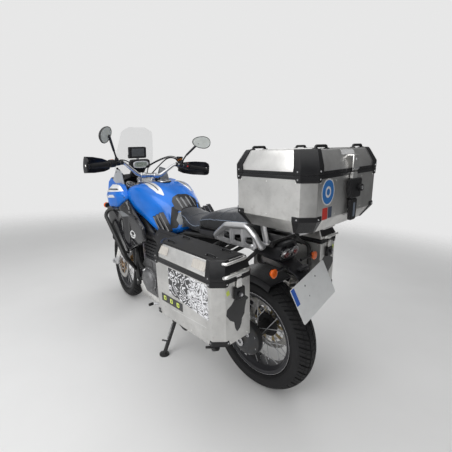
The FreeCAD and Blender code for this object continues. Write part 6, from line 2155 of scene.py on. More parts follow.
@dataclass
class Nose:
    """Nose cowl, twin lamps, clear screen, instruments and navigation unit."""

    def screen(self) -> Stock:
        """Curved clear sheet; its screws come from screen_mounts.

        Returns:
            The piece's stock.
        """
        stock = Stock()
        rows = [(-95, 1060), (95, 1060), (150, 1130), (156, 1210), (122, 1400), (62, 1430), (-62, 1430),
                (-122, 1400), (-156, 1210), (-150, 1130)]
        line = rounded(rows, [20, 20, 40, 40, 44, 34, 34, 44, 40, 40], 6)

        def sheet_at(radius: float) -> Callable[[np.ndarray], np.ndarray]:
            """The curved sheet at one radius of its bend."""
            def place(flat: np.ndarray) -> np.ndarray:
                """Places on the sheet."""
                rise = (flat[:, 1] - 1050.0) / 0.91
                x = 966.0 + np.sqrt(radius ** 2 - flat[:, 0] ** 2) - 0.42 * rise
                return np.column_stack([x, flat[:, 0], flat[:, 1]])
            return place
        stock.sheet(line, sheet_at(400.0), Coat.SCREEN, 16.0, sheet_at(396.4))
        return stock

    def screen_mounts(self) -> Stock:
        """Screws, rubber washers and the bracket behind the screen's foot.

        Returns:
            The piece's stock.
        """
        stock = Stock()
        for y, z in ((78, 1082), (-78, 1082), (128, 1140), (-128, 1140)):
            rise = (z - 1050.0) / 0.91
            at = np.array((966 + math.sqrt(400 ** 2 - y * y) - 0.42 * rise, y, z))
            out = unit(np.array((at[0] - 966 + 0.42 * rise, y, 0)) / 400 + np.array((0, 0, 0.38)))
            stock.rod(at - out * 6, at + out * 1.6, 8.0, Coat.HOSE, 20, 0.8)
            stock.bolt(at + out * 1.2, out, 5.5, Coat.DARK_STEEL, 2.2)
            back = at - out * 6
            foot = np.array((1290 - abs(y) * 0.2, y * 0.72, 1078))
            stock.tube([back, back - out * 12, foot], 4.0, Coat.BLACK_PLASTIC, 10, 8.0)
        return stock

    def cowl(self) -> Stock:
        """Nose shell that narrows to its beak and to both sides.

        Returns:
            The piece's stock.
        """
        rows = [(1180, 1062), (1290, 1096), (1368, 1056), (1440, 930), (1396, 886), (1262, 896),
                (1240, 930)]
        profile = rounded(rows, [10, 16, 20, 20, 16, 10, 10], 5)
        rings = []
        middle = np.array((1290.0, 985.0))
        for y in np.linspace(-186, 186, 41):
            share = abs(y) / 186.0
            scale_x = 1.0 - 0.34 * share ** 2.6
            scale_z = 1.0 - 0.16 * share ** 3
            flat = middle + (profile - middle) * np.array((scale_x, scale_z))
            rings.append(np.column_stack([flat[:, 0], np.full(len(flat), y), flat[:, 1]]))
        shell = Stock().skin(rings, Coat.BLUE).moved(clear_of_steering)
        places = np.vstack(shell.points)
        shell.finishes = [Coat.BLACK_PLASTIC if places[list(face), 0].mean() < 1296 else Coat.BLUE
                          for face in shell.faces]
        return shell

    def lamps(self, nose: Stock) -> Stock:
        """Two lamps with deep reflectors under clear covers, and a black surround.

        Args:
            nose: The shell that they stand in.

        Returns:
            The lamps.
        """
        stock = Stock()
        front = Drape(nose, "X")
        mask = oval(150, 56, 3.0, 60) + np.array((0.0, 966.0))
        stock.sheet(mask, front.lay(1.2), Coat.GLOSS_BLACK, 12.0, front.lay(-2.0))
        for side in SIDES:
            centre, out = front.at(side * 72.0, 968.0, 1.0)
            out = unit(out + np.array((1.0, 0, 0)))
            stock.turned([(0, 54), (5, 54), (7, 51), (6, 48), (-2, 47)], centre, Coat.BLACK_PLASTIC,
                         56, out)
            stock.turned([(2.4, 47), (0.5, 44), (-0.8, 34), (-1.6, 18), (-1.8, 0.1)], centre,
                         Coat.REFLECTOR, 56, out)
            stock.turned([(2.0, 16), (9.0, 15), (11.0, 10), (11.6, 0.1)], centre, Coat.STEEL, 40,
                         out)
            stock.turned([(3.0, 48.5), (9.0, 46), (14.5, 36), (18.5, 20), (20.0, 0.1)], centre,
                         Coat.CLEAR_LENS, 56, out)
        low, out = front.at(0.0, 918.0, 0.5)
        stock.rod(low - out * 2, low + out * 5, 15, Coat.CLEAR_LENS, 30, 2.5)
        return stock

    def dash(self) -> Stock:
        """Instrument pod with a pale surround, its display and two buttons.

        Returns:
            The piece's stock.
        """
        stock = Stock()
        rows = rounded([(1176, 1136), (1168, 1196), (1192, 1206), (1214, 1180), (1214, 1140)],
                       [8, 8, 8, 10, 8], 4)
        rings = []
        middle = np.array((1192.0, 1168.0))
        for y, s in ((-78, 0.72), (-75, 0.88), (-68, 0.97), (-56, 1.0), (56, 1.0), (68, 0.97),
                     (75, 0.88), (78, 0.72)):
            flat = middle + (rows - middle) * s
            rings.append(np.column_stack([flat[:, 0], np.full(len(flat), y), flat[:, 1]]))
        stock.skin(rings, Coat.BLACK_PLASTIC)
        face = unit(np.array((-0.99, 0.0, -0.13)))
        up = np.array((-0.13, 0.0, 0.99))
        origin = np.array((1171.4, 0.0, 1166.0))

        def lay(shape: np.ndarray, lift: float) -> np.ndarray:
            """Plane points on the pod's rear face."""
            return origin + face * lift + np.outer(shape[:, 0], (0, 1.0, 0)) \
                + np.outer(shape[:, 1], up)
        outer = oval(62, 25, 3.4, 56)
        inner = oval(50, 19, 4.0, 56)
        stock.skin([lay(outer, -1.0), lay(outer, 2.2), lay(outer * 0.97, 3.4), lay(inner, 3.0),
                    lay(inner, 1.4)], Coat.DIAL_WHITE)
        stock.skin([lay(inner * 0.99, 1.0), lay(inner * 0.99, 1.6)], Coat.LCD)
        for a, b, w, h in ((-34, 4, 11, 2), (-34, -4, 11, 2), (-40, 0, 2, 9), (-28, 0, 2, 9),
                           (-14, 4, 11, 2), (-14, -4, 11, 2), (-8, 0, 2, 9), (14, -9, 40, 2),
                           (14, 9, 40, 2), (30, 0, 10, 3)):
            rows2 = np.array([(a - w / 2, b - h / 2), (a + w / 2, b - h / 2),
                              (a + w / 2, b + h / 2), (a - w / 2, b + h / 2)])
            stock.skin([lay(rows2, 1.5), lay(rows2, 1.9)], Coat.LCD_INK)
        for y in (-66.0, 66.0):
            at = origin + np.array((0, y, -8)) - face * 0.5
            stock.rod(at, at + face * 4, 5.0, Coat.GRIP, 18, 1.2)
        rows = [(1196, 1128), (1190, 1150), (1210, 1160), (1266, 1100), (1266, 1070), (1240, 1078)]
        stock.prism(rows, -50, 50, Coat.BLACK_PLASTIC, 5.0, "Y", chamfer=3.0)
        return stock

    def navigator(self) -> Stock:
        """Navigation unit in its cradle on a ball arm.

        Returns:
            The piece's stock.
        """
        stock = Stock()
        lean = unit(np.array((-8.0, 0.0, 80.0)))
        back = np.array((lean[2], 0.0, -lean[0]))
        base = np.array((1205.0, 0.0, 1212.0))

        def at(x: float, y: float, z: float) -> np.ndarray:
            """Place from depth, side and height on the unit."""
            return base + back * x + np.array((0, y, 0)) + lean * z

        def slab_on(wide: float, low: float, high: float, x0: float, x1: float, coat: Coat,
                    radius: float) -> None:
            """Rounded slab across the unit."""
            flat = rounded(box_loop(-wide, low, wide, high), radius, 4)
            stock.skin([np.array([at(x, y, z) for y, z in flat]) for x in (x0, x1)], coat)
        slab_on(68, 0, 80, 0, 20, Coat.BLACK_PLASTIC, 9.0)
        slab_on(64, 4, 76, -1.6, 0, Coat.GLOSS_BLACK, 7.0)
        slab_on(50, 12, 70, -2.2, -1.5, Coat.MAP_SCREEN, 2.0)
        slab_on(70, -2, 26, 8, 24, Coat.CORNER_BLACK, 6.0)
        for k in range(4):
            stock.rod(at(-2.6, 57, 20 + k * 14), at(0, 57, 20 + k * 14), 3.6, Coat.GRIP, 14, 0.6)
        stock.rod((1203, 0, 1180), (1216, 0, 1216), 9.0, Coat.DARK_STEEL, 20, 1.0)
        return stock

    def make(self) -> None:
        """Build the nose's pieces."""
        nose = self.cowl()
        lamps = self.lamps(nose)
        Piece("nose_cowl", nose, Body.CHASSIS, "blue_paint", ["front_cowl"], 1.5, 40).make()
        Piece("head_lamps", lamps, Body.CHASSIS, "black_plastic", ["headlight"]).make()
        Piece("screen", self.screen(), Body.CHASSIS, "clear_screen", ["windscreen"],
              smooth_deg=60).make()
        Piece("screen_mounts", self.screen_mounts(), Body.CHASSIS, "black_plastic").make()
        Piece("dash_pod", self.dash(), Body.CHASSIS, "black_plastic", ["instrument_cluster"],
              0.8).make()
        Piece("navigator", self.navigator(), Body.CHASSIS, "black_plastic", ["navigation_unit"],
              0.8).make()


# Wheels


@dataclass
class WireWheel:
    """Tyre, rim, hub, spokes and brake discs of one wheel."""

    name: str
    body: Body
    centre: Point
    outer_r: float
    width: float
    seat_r: float
    rim_w: float
    pitches: int
    spokes: int
    hub_r: float
    hub_y: float
    rim_y: float

    def tread_row(self, share: float, depth: float) -> tuple[float, float]:
        """Across and radius of the crown at a share from its middle to a shoulder.

        Args:
            share: Share of the way to the shoulder.
            depth: Its depth.

        Returns:
            The place across and the radius.
        """
        reach, sag = self.width / 2 - 7.0, self.width * 0.19
        bend = (reach * reach + sag * sag) / (2 * sag)
        turn = share * math.asin(reach / bend)
        return (bend - depth) * math.sin(turn), self.outer_r - bend + (bend - depth) * math.cos(turn)

    def tyre(self) -> Stock:
        """Tyre with blocks cut by two ring grooves and slanted side grooves.

        Returns:
            The piece's stock.
        """
        columns = ((0.0, 1.0), (0.15, 1.0), (0.18, 0.0), (0.36, 0.0), (0.55, 0.0), (0.58, 0.45),
                   (0.61, 0.0), (0.78, 0.0), (0.97, 0.0))
        half_rows = ((0.03, 0.0, 0.5), (0.17, 0.0, 0.5), (0.19, 1.0, 0.0), (0.25, 1.0, 0.0),
                     (0.27, 0.0, 1.0), (0.42, 0.0, 1.0), (0.56, 0.0, 1.0), (0.58, 0.35, 1.0),
                     (0.61, 0.35, 1.0), (0.63, 0.0, 1.0), (0.78, 0.0, 1.0), (0.9, 0.0, 0.9),
                     (1.0, 0.0, 0.5))
        rows = [(-s, a, b) for s, a, b in reversed(half_rows)] + [(0.0, 0.0, 0.0), *half_rows]
        turns = np.array([(k + c) / self.pitches for k in range(self.pitches) for c, _ in columns])
        cross = np.array([g for _ in range(self.pitches) for _, g in columns])
        groove = 7.0
        rings = []
        for share, ring_cut, slant_cut in rows:
            cut = np.maximum(ring_cut, cross * slant_cut) * groove
            skew = 0.85 * abs(share) ** 1.2 + (0.5 if share < 0 else 0.0)
            angle = (turns + skew / self.pitches) * 2 * math.pi
            placed = np.array([self.tread_row(share, d) for d in cut])
            rings.append(self.ring(placed[:, 0], placed[:, 1], angle))
        half, belly = self.width / 2, self.seat_r + 0.5 * (self.outer_r - self.seat_r)
        bead = self.rim_w / 2 - 7.4
        shoulder_y, shoulder_r = self.width / 2 - 7.0, self.outer_r - self.width * 0.19
        flank = spline([(shoulder_y, shoulder_r), (half - 1.4, shoulder_r - 9), (half, belly),
                        (half - 5, self.seat_r + 27), (bead + 4, self.seat_r + 16)], 16)
        line = []
        for k, (y, r) in enumerate(flank[1:]):
            line.append((y, r))
            if k in (2, 3, 9, 10, 13):
                line.append((y + 0.9, r - 1.4))
                line.append((y + 0.9, r - 2.6))
        line += [(bead, self.seat_r + 13.6), (bead, self.seat_r + 0.6), (bead - 11, self.seat_r + 0.6),
                 (bead - 11, self.seat_r + 12), (half - 12, belly), (shoulder_y - 11, shoulder_r - 6),
                 (0.0, self.outer_r - 15)]
        for side in (1, -1):
            skew = 0.85 + (0.5 if side < 0 else 0.0)
            angle = (turns + skew / self.pitches) * 2 * math.pi
            more = [self.ring(side * y, r, angle) for y, r in line[:len(line) if side > 0 else -1]]
            rings = rings + more if side > 0 else list(reversed(more)) + rings
        return Stock().skin(rings, Coat.TYRE, closed=True)

    def ring(self, y: float, r: float, angle: np.ndarray) -> np.ndarray:
        """Ring of points about the axle.

        Args:
            y: Place across.
            r: Its radius.
            angle: Angles of its points.

        Returns:
            Its points.
        """
        count = len(angle)
        return np.array(self.centre) + np.column_stack(
            [r * np.sin(angle), np.broadcast_to(y, count), r * np.cos(angle)])

    def rim(self) -> Stock:
        """Black rim with rolled flanges, spoke seats and a valve.

        Returns:
            The piece's stock.
        """
        half, seat = self.rim_w / 2, self.seat_r
        side = [(half - 1, seat + 12), (half - 5, seat + 12), (half - 7, seat + 1),
                (half - 22, seat - 1), (half * 0.45, seat - 16)]
        inner = [(half * 0.45 + 3, seat - 23), (half - 16, seat - 14), (half - 3, seat - 8),
                 (half, seat + 4)]
        loop = side + [(-y, r) for y, r in reversed(side)] + [(-y, r) for y, r in inner[::-1]] \
            + inner
        profile = rounded(loop, 2.5, 3)
        stock = Stock().turned(profile, self.centre, Coat.RIM_BLACK, 144, loop=True)
        for side_sign in SIDES:
            stock.turned([(side_sign * (half - 1), seat + 10.6), (side_sign * (half + 0.2), seat + 10.2),
                          (side_sign * (half + 0.2), seat + 8.6), (side_sign * (half - 1), seat + 8.2)],
                         self.centre, Coat.STEEL, 144, loop=True)
        low = np.array(self.centre) + np.array((0, 0, -seat + 24.0))
        stock.rod(low, low + np.array((0, 0, 26)), 3.4, Coat.STEEL, 14, 0.8)
        stock.rod(low + np.array((0, 0, 24)), low + np.array((0, 0, 34)), 4.6, Coat.HOSE, 14, 1.2)
        return stock

    def wires(self) -> Stock:
        """Crossed spokes with bent heads at the hub and nipples at the rim.

        Returns:
            The piece's stock.
        """
        stock = Stock()
        rim_r = self.seat_r - 20.0
        centre = np.array(self.centre, float)
        for index in range(self.spokes):
            side = SIDES[index % 2]
            lead = math.radians(26.0) * (1 if (index // 2) % 2 else -1)
            at_rim = 2 * math.pi * index / self.spokes
            at_hub = at_rim + lead
            low = centre + np.array((self.hub_r * math.sin(at_hub), side * self.hub_y,
                                     self.hub_r * math.cos(at_hub)))
            high = centre + np.array((rim_r * math.sin(at_rim), side * self.rim_y,
                                      rim_r * math.cos(at_rim)))
            along = unit(high - low)
            stock.rod(low, high, 2.1, Coat.SPOKE, 10)
            stock.rod(high - along * 17, high + along * 3, 3.6, Coat.STEEL, 8, 0.6)
            elbow = low + np.array((0, side * 7.0, 0))
            stock.tube([low + along * 5, low, elbow], 2.3, Coat.SPOKE, 10, 3.0)
            stock.rod(elbow - np.array((0, side * 1.0, 0)), elbow + np.array((0, side * 1.6, 0)), 4.2,
                      Coat.SPOKE, 12, 0.5)
        return stock

    def disc(self, outer_r: float, inner_r: float, face: float, coat: Coat, hub_coat: Coat) -> Stock:
        """Drilled disc on a bobbin-mounted carrier; face is its inner side's place across.

        Args:
            outer_r: Radius of its rim.
            inner_r: Radius of its inner edge.
            face: Its inner side's place across.
            coat: Its finish.
            hub_coat: Finish of the carrier.

        Returns:
            The disc.
        """
        away = math.copysign(1.0, face)
        centre = np.array(self.centre, float)
        holes = [circle(inner_r, 72)]
        rows = 30
        for k in range(rows):
            turn = 2 * math.pi * k / rows
            for step in range(3):
                radius = inner_r + 8 + step * (outer_r - inner_r - 15) / 2
                spot = radius * np.array((math.cos(turn + step * 0.075), math.sin(turn + step * 0.075)))
                holes.append(circle(3.0, 8) + spot)

        def plane(y: float) -> Callable[[np.ndarray], np.ndarray]:
            """Places on the disc's plane."""
            return lambda flat: centre + np.column_stack([flat[:, 0], np.full(len(flat), y),
                                                          flat[:, 1]])
        wave = circle(1.0, 180) * (outer_r - 1.2 + 1.2 * np.cos(np.linspace(0, 60 * math.pi, 180,
                                                                          endpoint=False)))[:, None]
        stock = Stock().sheet(wave, plane(face + away * 5.0), coat, 14.0, plane(face), holes=holes)
        arms = 10
        for k in range(arms):
            turn = 2 * math.pi * (k + 0.5) / arms
            way = np.array((math.sin(turn), 0.0, math.cos(turn)))
            across = np.array((math.cos(turn), 0.0, -math.sin(turn)))
            at = centre + way * (inner_r - 1)
            stock.rod(at + np.array((0, face - away * 1.2, 0)),
                      at + np.array((0, face + away * 6.6, 0)), 7.6, Coat.STEEL, 20, 1.0)
            stock.rod(at + np.array((0, face + away * 5.8, 0)),
                      at + np.array((0, face + away * 7.2, 0)), 4.2, Coat.DARK_STEEL, 14, 0.4)
            lean = across * (11 if k % 2 else -11)
            arm = [centre + way * 52 + lean - across * 6, centre + way * 52 + lean + across * 6,
                   at + across * 10, at - across * 10]
            stock.skin([np.array([p + np.array((0, face + away * depth, 0)) for p in arm])
                        for depth in (0.4, 5.0)], hub_coat)
        stock.turned([(face + away * 0.2, 34), (face + away * 5.4, 34), (face + away * 6.4, 38),
                      (face + away * 6.4, 56), (face + away * 5.0, 60), (face + away * 0.2, 60)],
                     centre, hub_coat, 72, loop=True)
        for k in range(5):
            turn = 2 * math.pi * k / 5
            at = centre + np.array((47 * math.sin(turn), face + away * 6.0, 47 * math.cos(turn)))
            stock.bolt(at, (0, away, 0), 6.0, Coat.STEEL, 4.0)
        return stock

    def toothed_ring(self, radius: float, face: float) -> Stock:
        """Slotted sensor ring beside a disc's carrier.

        Args:
            radius: Its radius.
            face: Its inner side's place across.

        Returns:
            The ring.
        """
        stock = Stock()
        centre = np.array(self.centre, float)
        for k in range(48):
            turn = 2 * math.pi * k / 48
            at = centre + np.array((radius * math.sin(turn), face, radius * math.cos(turn)))
            out = np.array((math.sin(turn), 0, math.cos(turn)))
            stock.rod(at - out * 2.5, at + out * 2.5, 1.2, Coat.STEEL, 6)
        stock.turned(box_loop(face - 1, radius - 5, face + 1, radius - 2.5), centre, Coat.STEEL,
                     96, loop=True)
        stock.turned(box_loop(face - 1, radius + 2.5, face + 1, radius + 4.5), centre, Coat.STEEL,
                     96, loop=True)
        return stock

    def finish(self, hub: Stock, discs: Stock, slot_names: tuple[str, str, str]) -> None:
        """Make the three pieces of this wheel.

        Args:
            hub: Stock of the hub.
            discs: Stock of the discs.
            slot_names: Slots of the tyre, the wheel and the disc.
        """
        tyre, wheel, disc = slot_names
        Piece(tyre + "_rubber", self.tyre(), self.body, "tyre", [tyre], smooth_deg=28).make()
        hub.take(self.rim()).take(self.wires())
        Piece(wheel + "_wires", hub, self.body, "rim_black", [wheel], smooth_deg=40).make()
        Piece(disc + "_drilled", discs, self.body, "disc_steel", [disc], smooth_deg=30).make()


@dataclass
class Wheels:
    """The rear and the front wheel."""

    def rear(self) -> None:
        """Rear wheel with the drive flange on its left and one disc on its right."""
        wheel = WireWheel("rear", Body.REAR_WHEEL, REAR_AXLE, 321.0, 150.0, 216.0, 116.0, 42, 32,
                          59.0, 59.0, 24.0)
        hub = Stock().turned(rounded([(-66, 14.1), (78, 14.1), (78, 58), (74, 66), (64, 66), (58, 42),
                                      (30, 36), (-30, 34), (-46, 38), (-52, 66), (-62, 66),
                                      (-66, 58)], 2.0, 3), REAR_AXLE, Coat.FRAME_BLACK, 96, loop=True)
        for k in range(10):
            turn = 2 * math.pi * k / 10
            at = np.array(REAR_AXLE) + np.array((50 * math.sin(turn), 78, 50 * math.cos(turn)))
            hub.bolt(at, (0, 1, 0), 5.0, Coat.STEEL, 2.4)
        discs = wheel.disc(141.0, 105.0, -66.0, Coat.REAR_DISC, Coat.GOLD)
        discs.take(wheel.toothed_ring(88.0, -69.0))
        wheel.finish(hub, discs, ("rear_tyre", "rear_wheel", "rear_disc"))

    def front(self) -> None:
        """Front wheel with a disc on each side."""
        wheel = WireWheel("front", Body.FRONT_WHEEL, FRONT_AXLE, FRONT_TYRE_R, 110.0, 241.0, 78.0,
                          44, 36, 47.0, 39.0, 14.0)
        half = rounded([(0, 12.1), (58, 12.1), (58, 30), (46, 50), (36, 52), (32, 50), (26, 30),
                        (0, 27)], [0, 0, 2, 3, 3, 3, 4, 0], 3)
        hub = Stock()
        for side in SIDES:
            hub.turned([(side * y, r) for y, r in half], FRONT_AXLE, Coat.BRONZE, 96)
        discs = Stock()
        for side in SIDES:
            discs.take(wheel.disc(155.0, 121.0, side * 58.0, Coat.FRONT_DISC, Coat.BRONZE))
        discs.take(wheel.toothed_ring(82.0, 66.5))
        wheel.finish(hub, discs, ("front_tyre", "front_wheel", "front_discs"))

    def make(self) -> None:
        """Build both wheels."""
        self.rear()
        self.front()


# Fork, bar and what they carry

AXLE_AHEAD = float((np.array(FRONT_AXLE) - STEER_FOOT) @ STEER_AHEAD)
AXLE_ALONG = float((np.array(FRONT_AXLE) - STEER_FOOT) @ STEER_AXIS)


def on_steering(points: np.ndarray) -> np.ndarray:
    """Places of points given ahead of, beside and along the steering axis."""
    return STEER_FOOT + points[:, :1] * STEER_AHEAD + points[:, 1:2] * np.array((0.0, 1.0, 0.0)) \
        + points[:, 2:] * STEER_AXIS


@dataclass
class FrontFork:
    """Upside-down fork with its yokes, calipers, mudguard and axle."""

    half_track: float = 105.0
    offset: float = 30.0
    outer_r: float = 27.0
    inner_r: float = 21.5
    outer_low: float = 640.0
    lower_yoke: float = 900.0
    upper_yoke: float = 1120.0
    guard_r: float = 343.0
    guard_half: float = 67.0

    def legs(self, stock: Stock) -> None:
        """Black outer tubes, bright sliders, axle lugs and caps.

        Args:
            stock: The stock that takes it in.
        """
        top = self.upper_yoke + 30
        for side in SIDES:
            y = side * self.half_track

            def at(along: float) -> tuple[float, float, float]:
                """Point in the middle of this leg."""
                return (self.offset, y, along)

            low = self.outer_low
            for stations, coat in (
                    ([(low - 2, 26.4), (low + 10, 28.2), (low + 22, 28.2), (low + 26, 26.6),
                      (low + 60, 26.8), (900, 26.8), (940, 27), (top - 3, 27), (top, 25)],
                     Coat.FRAME_BLACK),
                    ([(low - 12, 21.6), (low - 10, 25.2), (low - 2, 26.4), (low, 26.4)], Coat.MAT_RUBBER),
                    ([(AXLE_ALONG + 20, 21.5), (low + 8, 21.5)], Coat.BRIGHT_ALU_AND_TOP_LIGHT),
                    ([(AXLE_ALONG - 14, 22), (AXLE_ALONG - 8, 26), (AXLE_ALONG + 62, 26),
                      (AXLE_ALONG + 72, 23.5), (AXLE_ALONG + 78, 21.8)], Coat.CAST_SILVER),
                    ([(top, 23), (top + 2, 22.4), (top + 2, 18), (top - 2, 17.6)], Coat.CAST_SILVER)):
                stock.tube([at(along) for along, _ in stations], 1.0, coat, 40)
                ring = stock.points[-1].reshape(len(stations), 40, 3)
                for row, (along, radius) in zip(ring, stations):
                    row[:, :2] = (row[:, :2] - (self.offset, y)) * radius + (self.offset, y)
            stock.rod(at(top - 4), at(top + 4), 8.0, Coat.DARK_STEEL, 6, 1.0)
            stock.rod((AXLE_AHEAD, y - 28, AXLE_ALONG), (AXLE_AHEAD, y + 28, AXLE_ALONG), 26.5,
                      Coat.CAST_SILVER, 48, 2.0)
            for step in (-12, 12):
                at_bolt = (AXLE_AHEAD - 30, y + step, AXLE_ALONG - 8)
                stock.rod((AXLE_AHEAD - 10, y + step, AXLE_ALONG - 22),
                          (AXLE_AHEAD - 30, y + step, AXLE_ALONG - 8), 6.5, Coat.CAST_SILVER, 16)
                stock.bolt(at_bolt, (-0.8, 0, 0.57), 4.6, Coat.STEEL, 3.0)

    def yoke(self, stock: Stock, low: float, thick: float, coat: Coat, shaded_recesses: float) -> None:
        """One clamp plate with waisted middle, split clamps and their bolts.

        Args:
            stock: The stock that takes it in.
            low: Its underside along the steering axis.
            thick: Its thickness.
            coat: Its finish.
            shaded_recesses: Whether thin dark patches are laid on its top as painted shade for recesses that
                are not cut.
        """
        wide = self.half_track + self.outer_r + 4
        rows = [(self.offset + 28, wide), (self.offset - 27, wide), (self.offset - 32, wide - 46),
                (-30, 52)]
        front = [(self.offset + 10, 46.0), (self.offset + 28, wide - 50)]
        loop = rows + [(a, -s) for a, s in reversed(rows)] + [(a, -s) for a, s in reversed(front)] \
            + front
        radii = [24, 20, 20, 22, 22, 20, 20, 24, 18, 30, 30, 18]
        stock.prism(loop, low, low + thick, coat, radii, "Z", 6, 2.5)
        for side in SIDES:
            y = side * self.half_track
            stock.turned([(low - 2, 28), (low - 2, 31), (low + thick + 2, 31), (low + thick + 2, 28)],
                         (self.offset, y, 0), coat, 48, (0, 0, 1), True)
            for along in ((low + 9, low + thick - 9) if thick > 30 else (low + thick / 2,)):
                stock.rod((self.offset - 34, y - side * 21, along), (self.offset - 34, y + side * 9, along),
                          7.5, coat, 20, 1.0)
                stock.bolt((self.offset - 34, y + side * 9, along), (0, side, 0), 5.0, Coat.STEEL, 3.5)
        # Thin dark patches on the top plate: painted shade standing for recesses that are not cut.
        if shaded_recesses:
            for side in SIDES:
                recess_shade = rounded([(self.offset - 18, side * 52), (self.offset + 8, side * 56),
                                  (self.offset + 14, side * 70), (self.offset - 20, side * 70)], 5, 4)
                stock.prism(recess_shade, low + thick - 0.2, low + thick + 0.5, Coat.DARK_STEEL, 0, "Z")

    def make_fork(self) -> None:
        """Both legs, both yokes and the stem."""
        stock = Stock()
        self.legs(stock)
        self.yoke(stock, self.lower_yoke, 36.0, Coat.FRAME_BLACK, 0)
        self.yoke(stock, self.upper_yoke, 24.0, Coat.CAST_SILVER, 1)
        stock.rod((0, 0, 905), (0, 0, 1154), 17.0, Coat.STEEL, 40, 1.0)
        stock.rod((0, 0, 1144), (0, 0, 1153), 20.0, Coat.DARK_STEEL, 6, 1.0)
        stock.moved(on_steering)
        Piece("fork_legs", stock, Body.STEERING, "fork_metal", ["fork"], smooth_deg=36).make()
        axle = Stock()
        axle.turned([(-138, 7), (-138, 12), (138, 12), (138, 18), (146, 17), (146, 8), (140, 7)],
                    FRONT_AXLE, Coat.STEEL, 40, loop=True)
        Piece("front_spindle", axle, Body.STEERING, "axle_steel", ["front_axle"]).make()

    def calipers(self) -> None:
        """Four-piston caliper behind each leg."""
        stock = Stock()
        middle = np.array((self.offset - 62, 0.0, AXLE_ALONG + 118))
        for side in SIDES:
            part = Stock()
            face = [(-32, -50), (-14, -55), (27, -55), (27, 30), (18, 55), (-26, 55), (-32, 40)]
            arc = [(75 + 160 * math.cos(t), -118 + 160 * math.sin(t))
                   for t in np.linspace(math.radians(107.5), math.radians(132.0), 7)]
            bridge = [(27, 38), (18, 55), (-26, 55), (-32, 40), *reversed(arc)]
            for low, high, loop, radii in ((66.0, 92.0, face, 8), (44.5, 54.5, face, 8),
                                           (50.0, 70.0, bridge, 0)):
                ends = sorted((side * low, side * high))
                part.prism(loop, *ends, Coat.CAST_SILVER, radii, "Y", 4, 2.0)
            for along in (-26, 14):
                part.rod((-2, side * 90, along), (-2, side * 95.5, along), 17.0, Coat.CAST_SILVER, 40, 1.5)
                part.rod((-2, side * 95, along), (-2, side * 96.4, along), 12.0, Coat.DARK_STEEL, 32, 0.5)
            part.rod((-24, side * 48, -6), (-24, side * 95, -6), 4.0, Coat.STEEL, 16, 0.6)
            for along in (-44, 46):
                part.bolt((20, side * 92, along), (0, side, 0), 6.0, Coat.STEEL, 4.0)
            part.rod((-10, side * 80, 54), (-10, side * 80, 61), 4.0, Coat.HOSE, 12, 0.6)
            for low, high in ((56.0, 57.6), (63.4, 65.5)):
                ends = sorted((side * low, side * high))
                part.prism([(-24, -30), (18, -30), (14, 8), (-24, 20)], *ends, Coat.BRONZE, 4)
            stock.take(part.moved(lambda p: p + middle))
            stock.rod((self.offset - 50, side * 88, AXLE_ALONG + 90),
                      (self.offset - 6, side * 100, AXLE_ALONG + 90), 9, Coat.CAST_SILVER, 20)
            stock.rod((self.offset - 50, side * 88, AXLE_ALONG + 146),
                      (self.offset - 6, side * 100, AXLE_ALONG + 146), 9, Coat.CAST_SILVER, 20)
        stock.moved(on_steering)
        Piece("fork_calipers", stock, Body.STEERING, "caliper_metal", ["front_calipers"]).make()

    def mudguard(self) -> None:
        """Low guard with folded cheeks, carried by a stay to each leg."""
        half, r = self.guard_half, self.guard_r
        outer = rounded([(-half, r - 25), (-half, r + 1), (-half + 18, r + 3.6), (half - 18, r + 3.6),
                         (half, r + 1), (half, r - 25)], 9, 5, False)
        inner = rounded([(half - 3, r - 25), (half - 3, r - 2), (half - 19, r + 0.6),
                         (19 - half, r + 0.6), (3 - half, r - 2), (3 - half, r - 25)], 8, 5, False)
        rings = []
        for share in np.linspace(0, 1, 60):
            turn = math.radians(-72 + 112 * share)
            trim = 1 - 0.75 * max(0.0, 1 - min(share, 1 - share) / 0.06) ** 2
            row = np.vstack([outer, inner])
            y = row[:, 0] * (0.35 + 0.65 * trim) if trim < 1 else row[:, 0]
            rings.append(np.array(FRONT_AXLE) + np.column_stack(
                [-row[:, 1] * math.sin(-turn), y, row[:, 1] * math.cos(turn)])
                * np.array((-1.0, 1.0, 1.0)))
        stock = Stock().skin(rings, Coat.BLACK_PLASTIC)
        for side in SIDES:
            cheek = Stock()
            loop = [(self.offset - 24, AXLE_ALONG + 226), (self.offset + 24, AXLE_ALONG + 226),
                    (self.offset + 66, AXLE_ALONG + r - 22), (self.offset - 84, AXLE_ALONG + r - 34)]
            ends = sorted((side * (half - 3), side * (half + 0.5)))
            cheek.prism(loop, *ends, Coat.BLACK_PLASTIC, 14, "Y", 5, 0.8)
            cheek.rod((self.offset, side * half, AXLE_ALONG + 250),
                      (self.offset, side * (self.half_track - 24), AXLE_ALONG + 250), 10,
                      Coat.BLACK_PLASTIC, 24)
            cheek.bolt((self.offset, side * (half + 0.5), AXLE_ALONG + 238), (0, side, 0), 5.0,
                       Coat.STEEL, 2.5)
            cheek.turned([(-9, 22), (-9, 25.5), (9, 25.5), (9, 22)],
                         (self.offset, side * self.half_track, AXLE_ALONG + 250), Coat.BLACK_PLASTIC,
                         40, (0, 0, 1), True)
            stock.take(cheek.moved(on_steering))
        Piece("fork_mudguard", stock, Body.STEERING, "black_plastic", ["front_fender"]).make()

    def make(self) -> None:
        """Build the front end below the bar."""
        self.make_fork()
        self.calipers()
        self.mudguard()


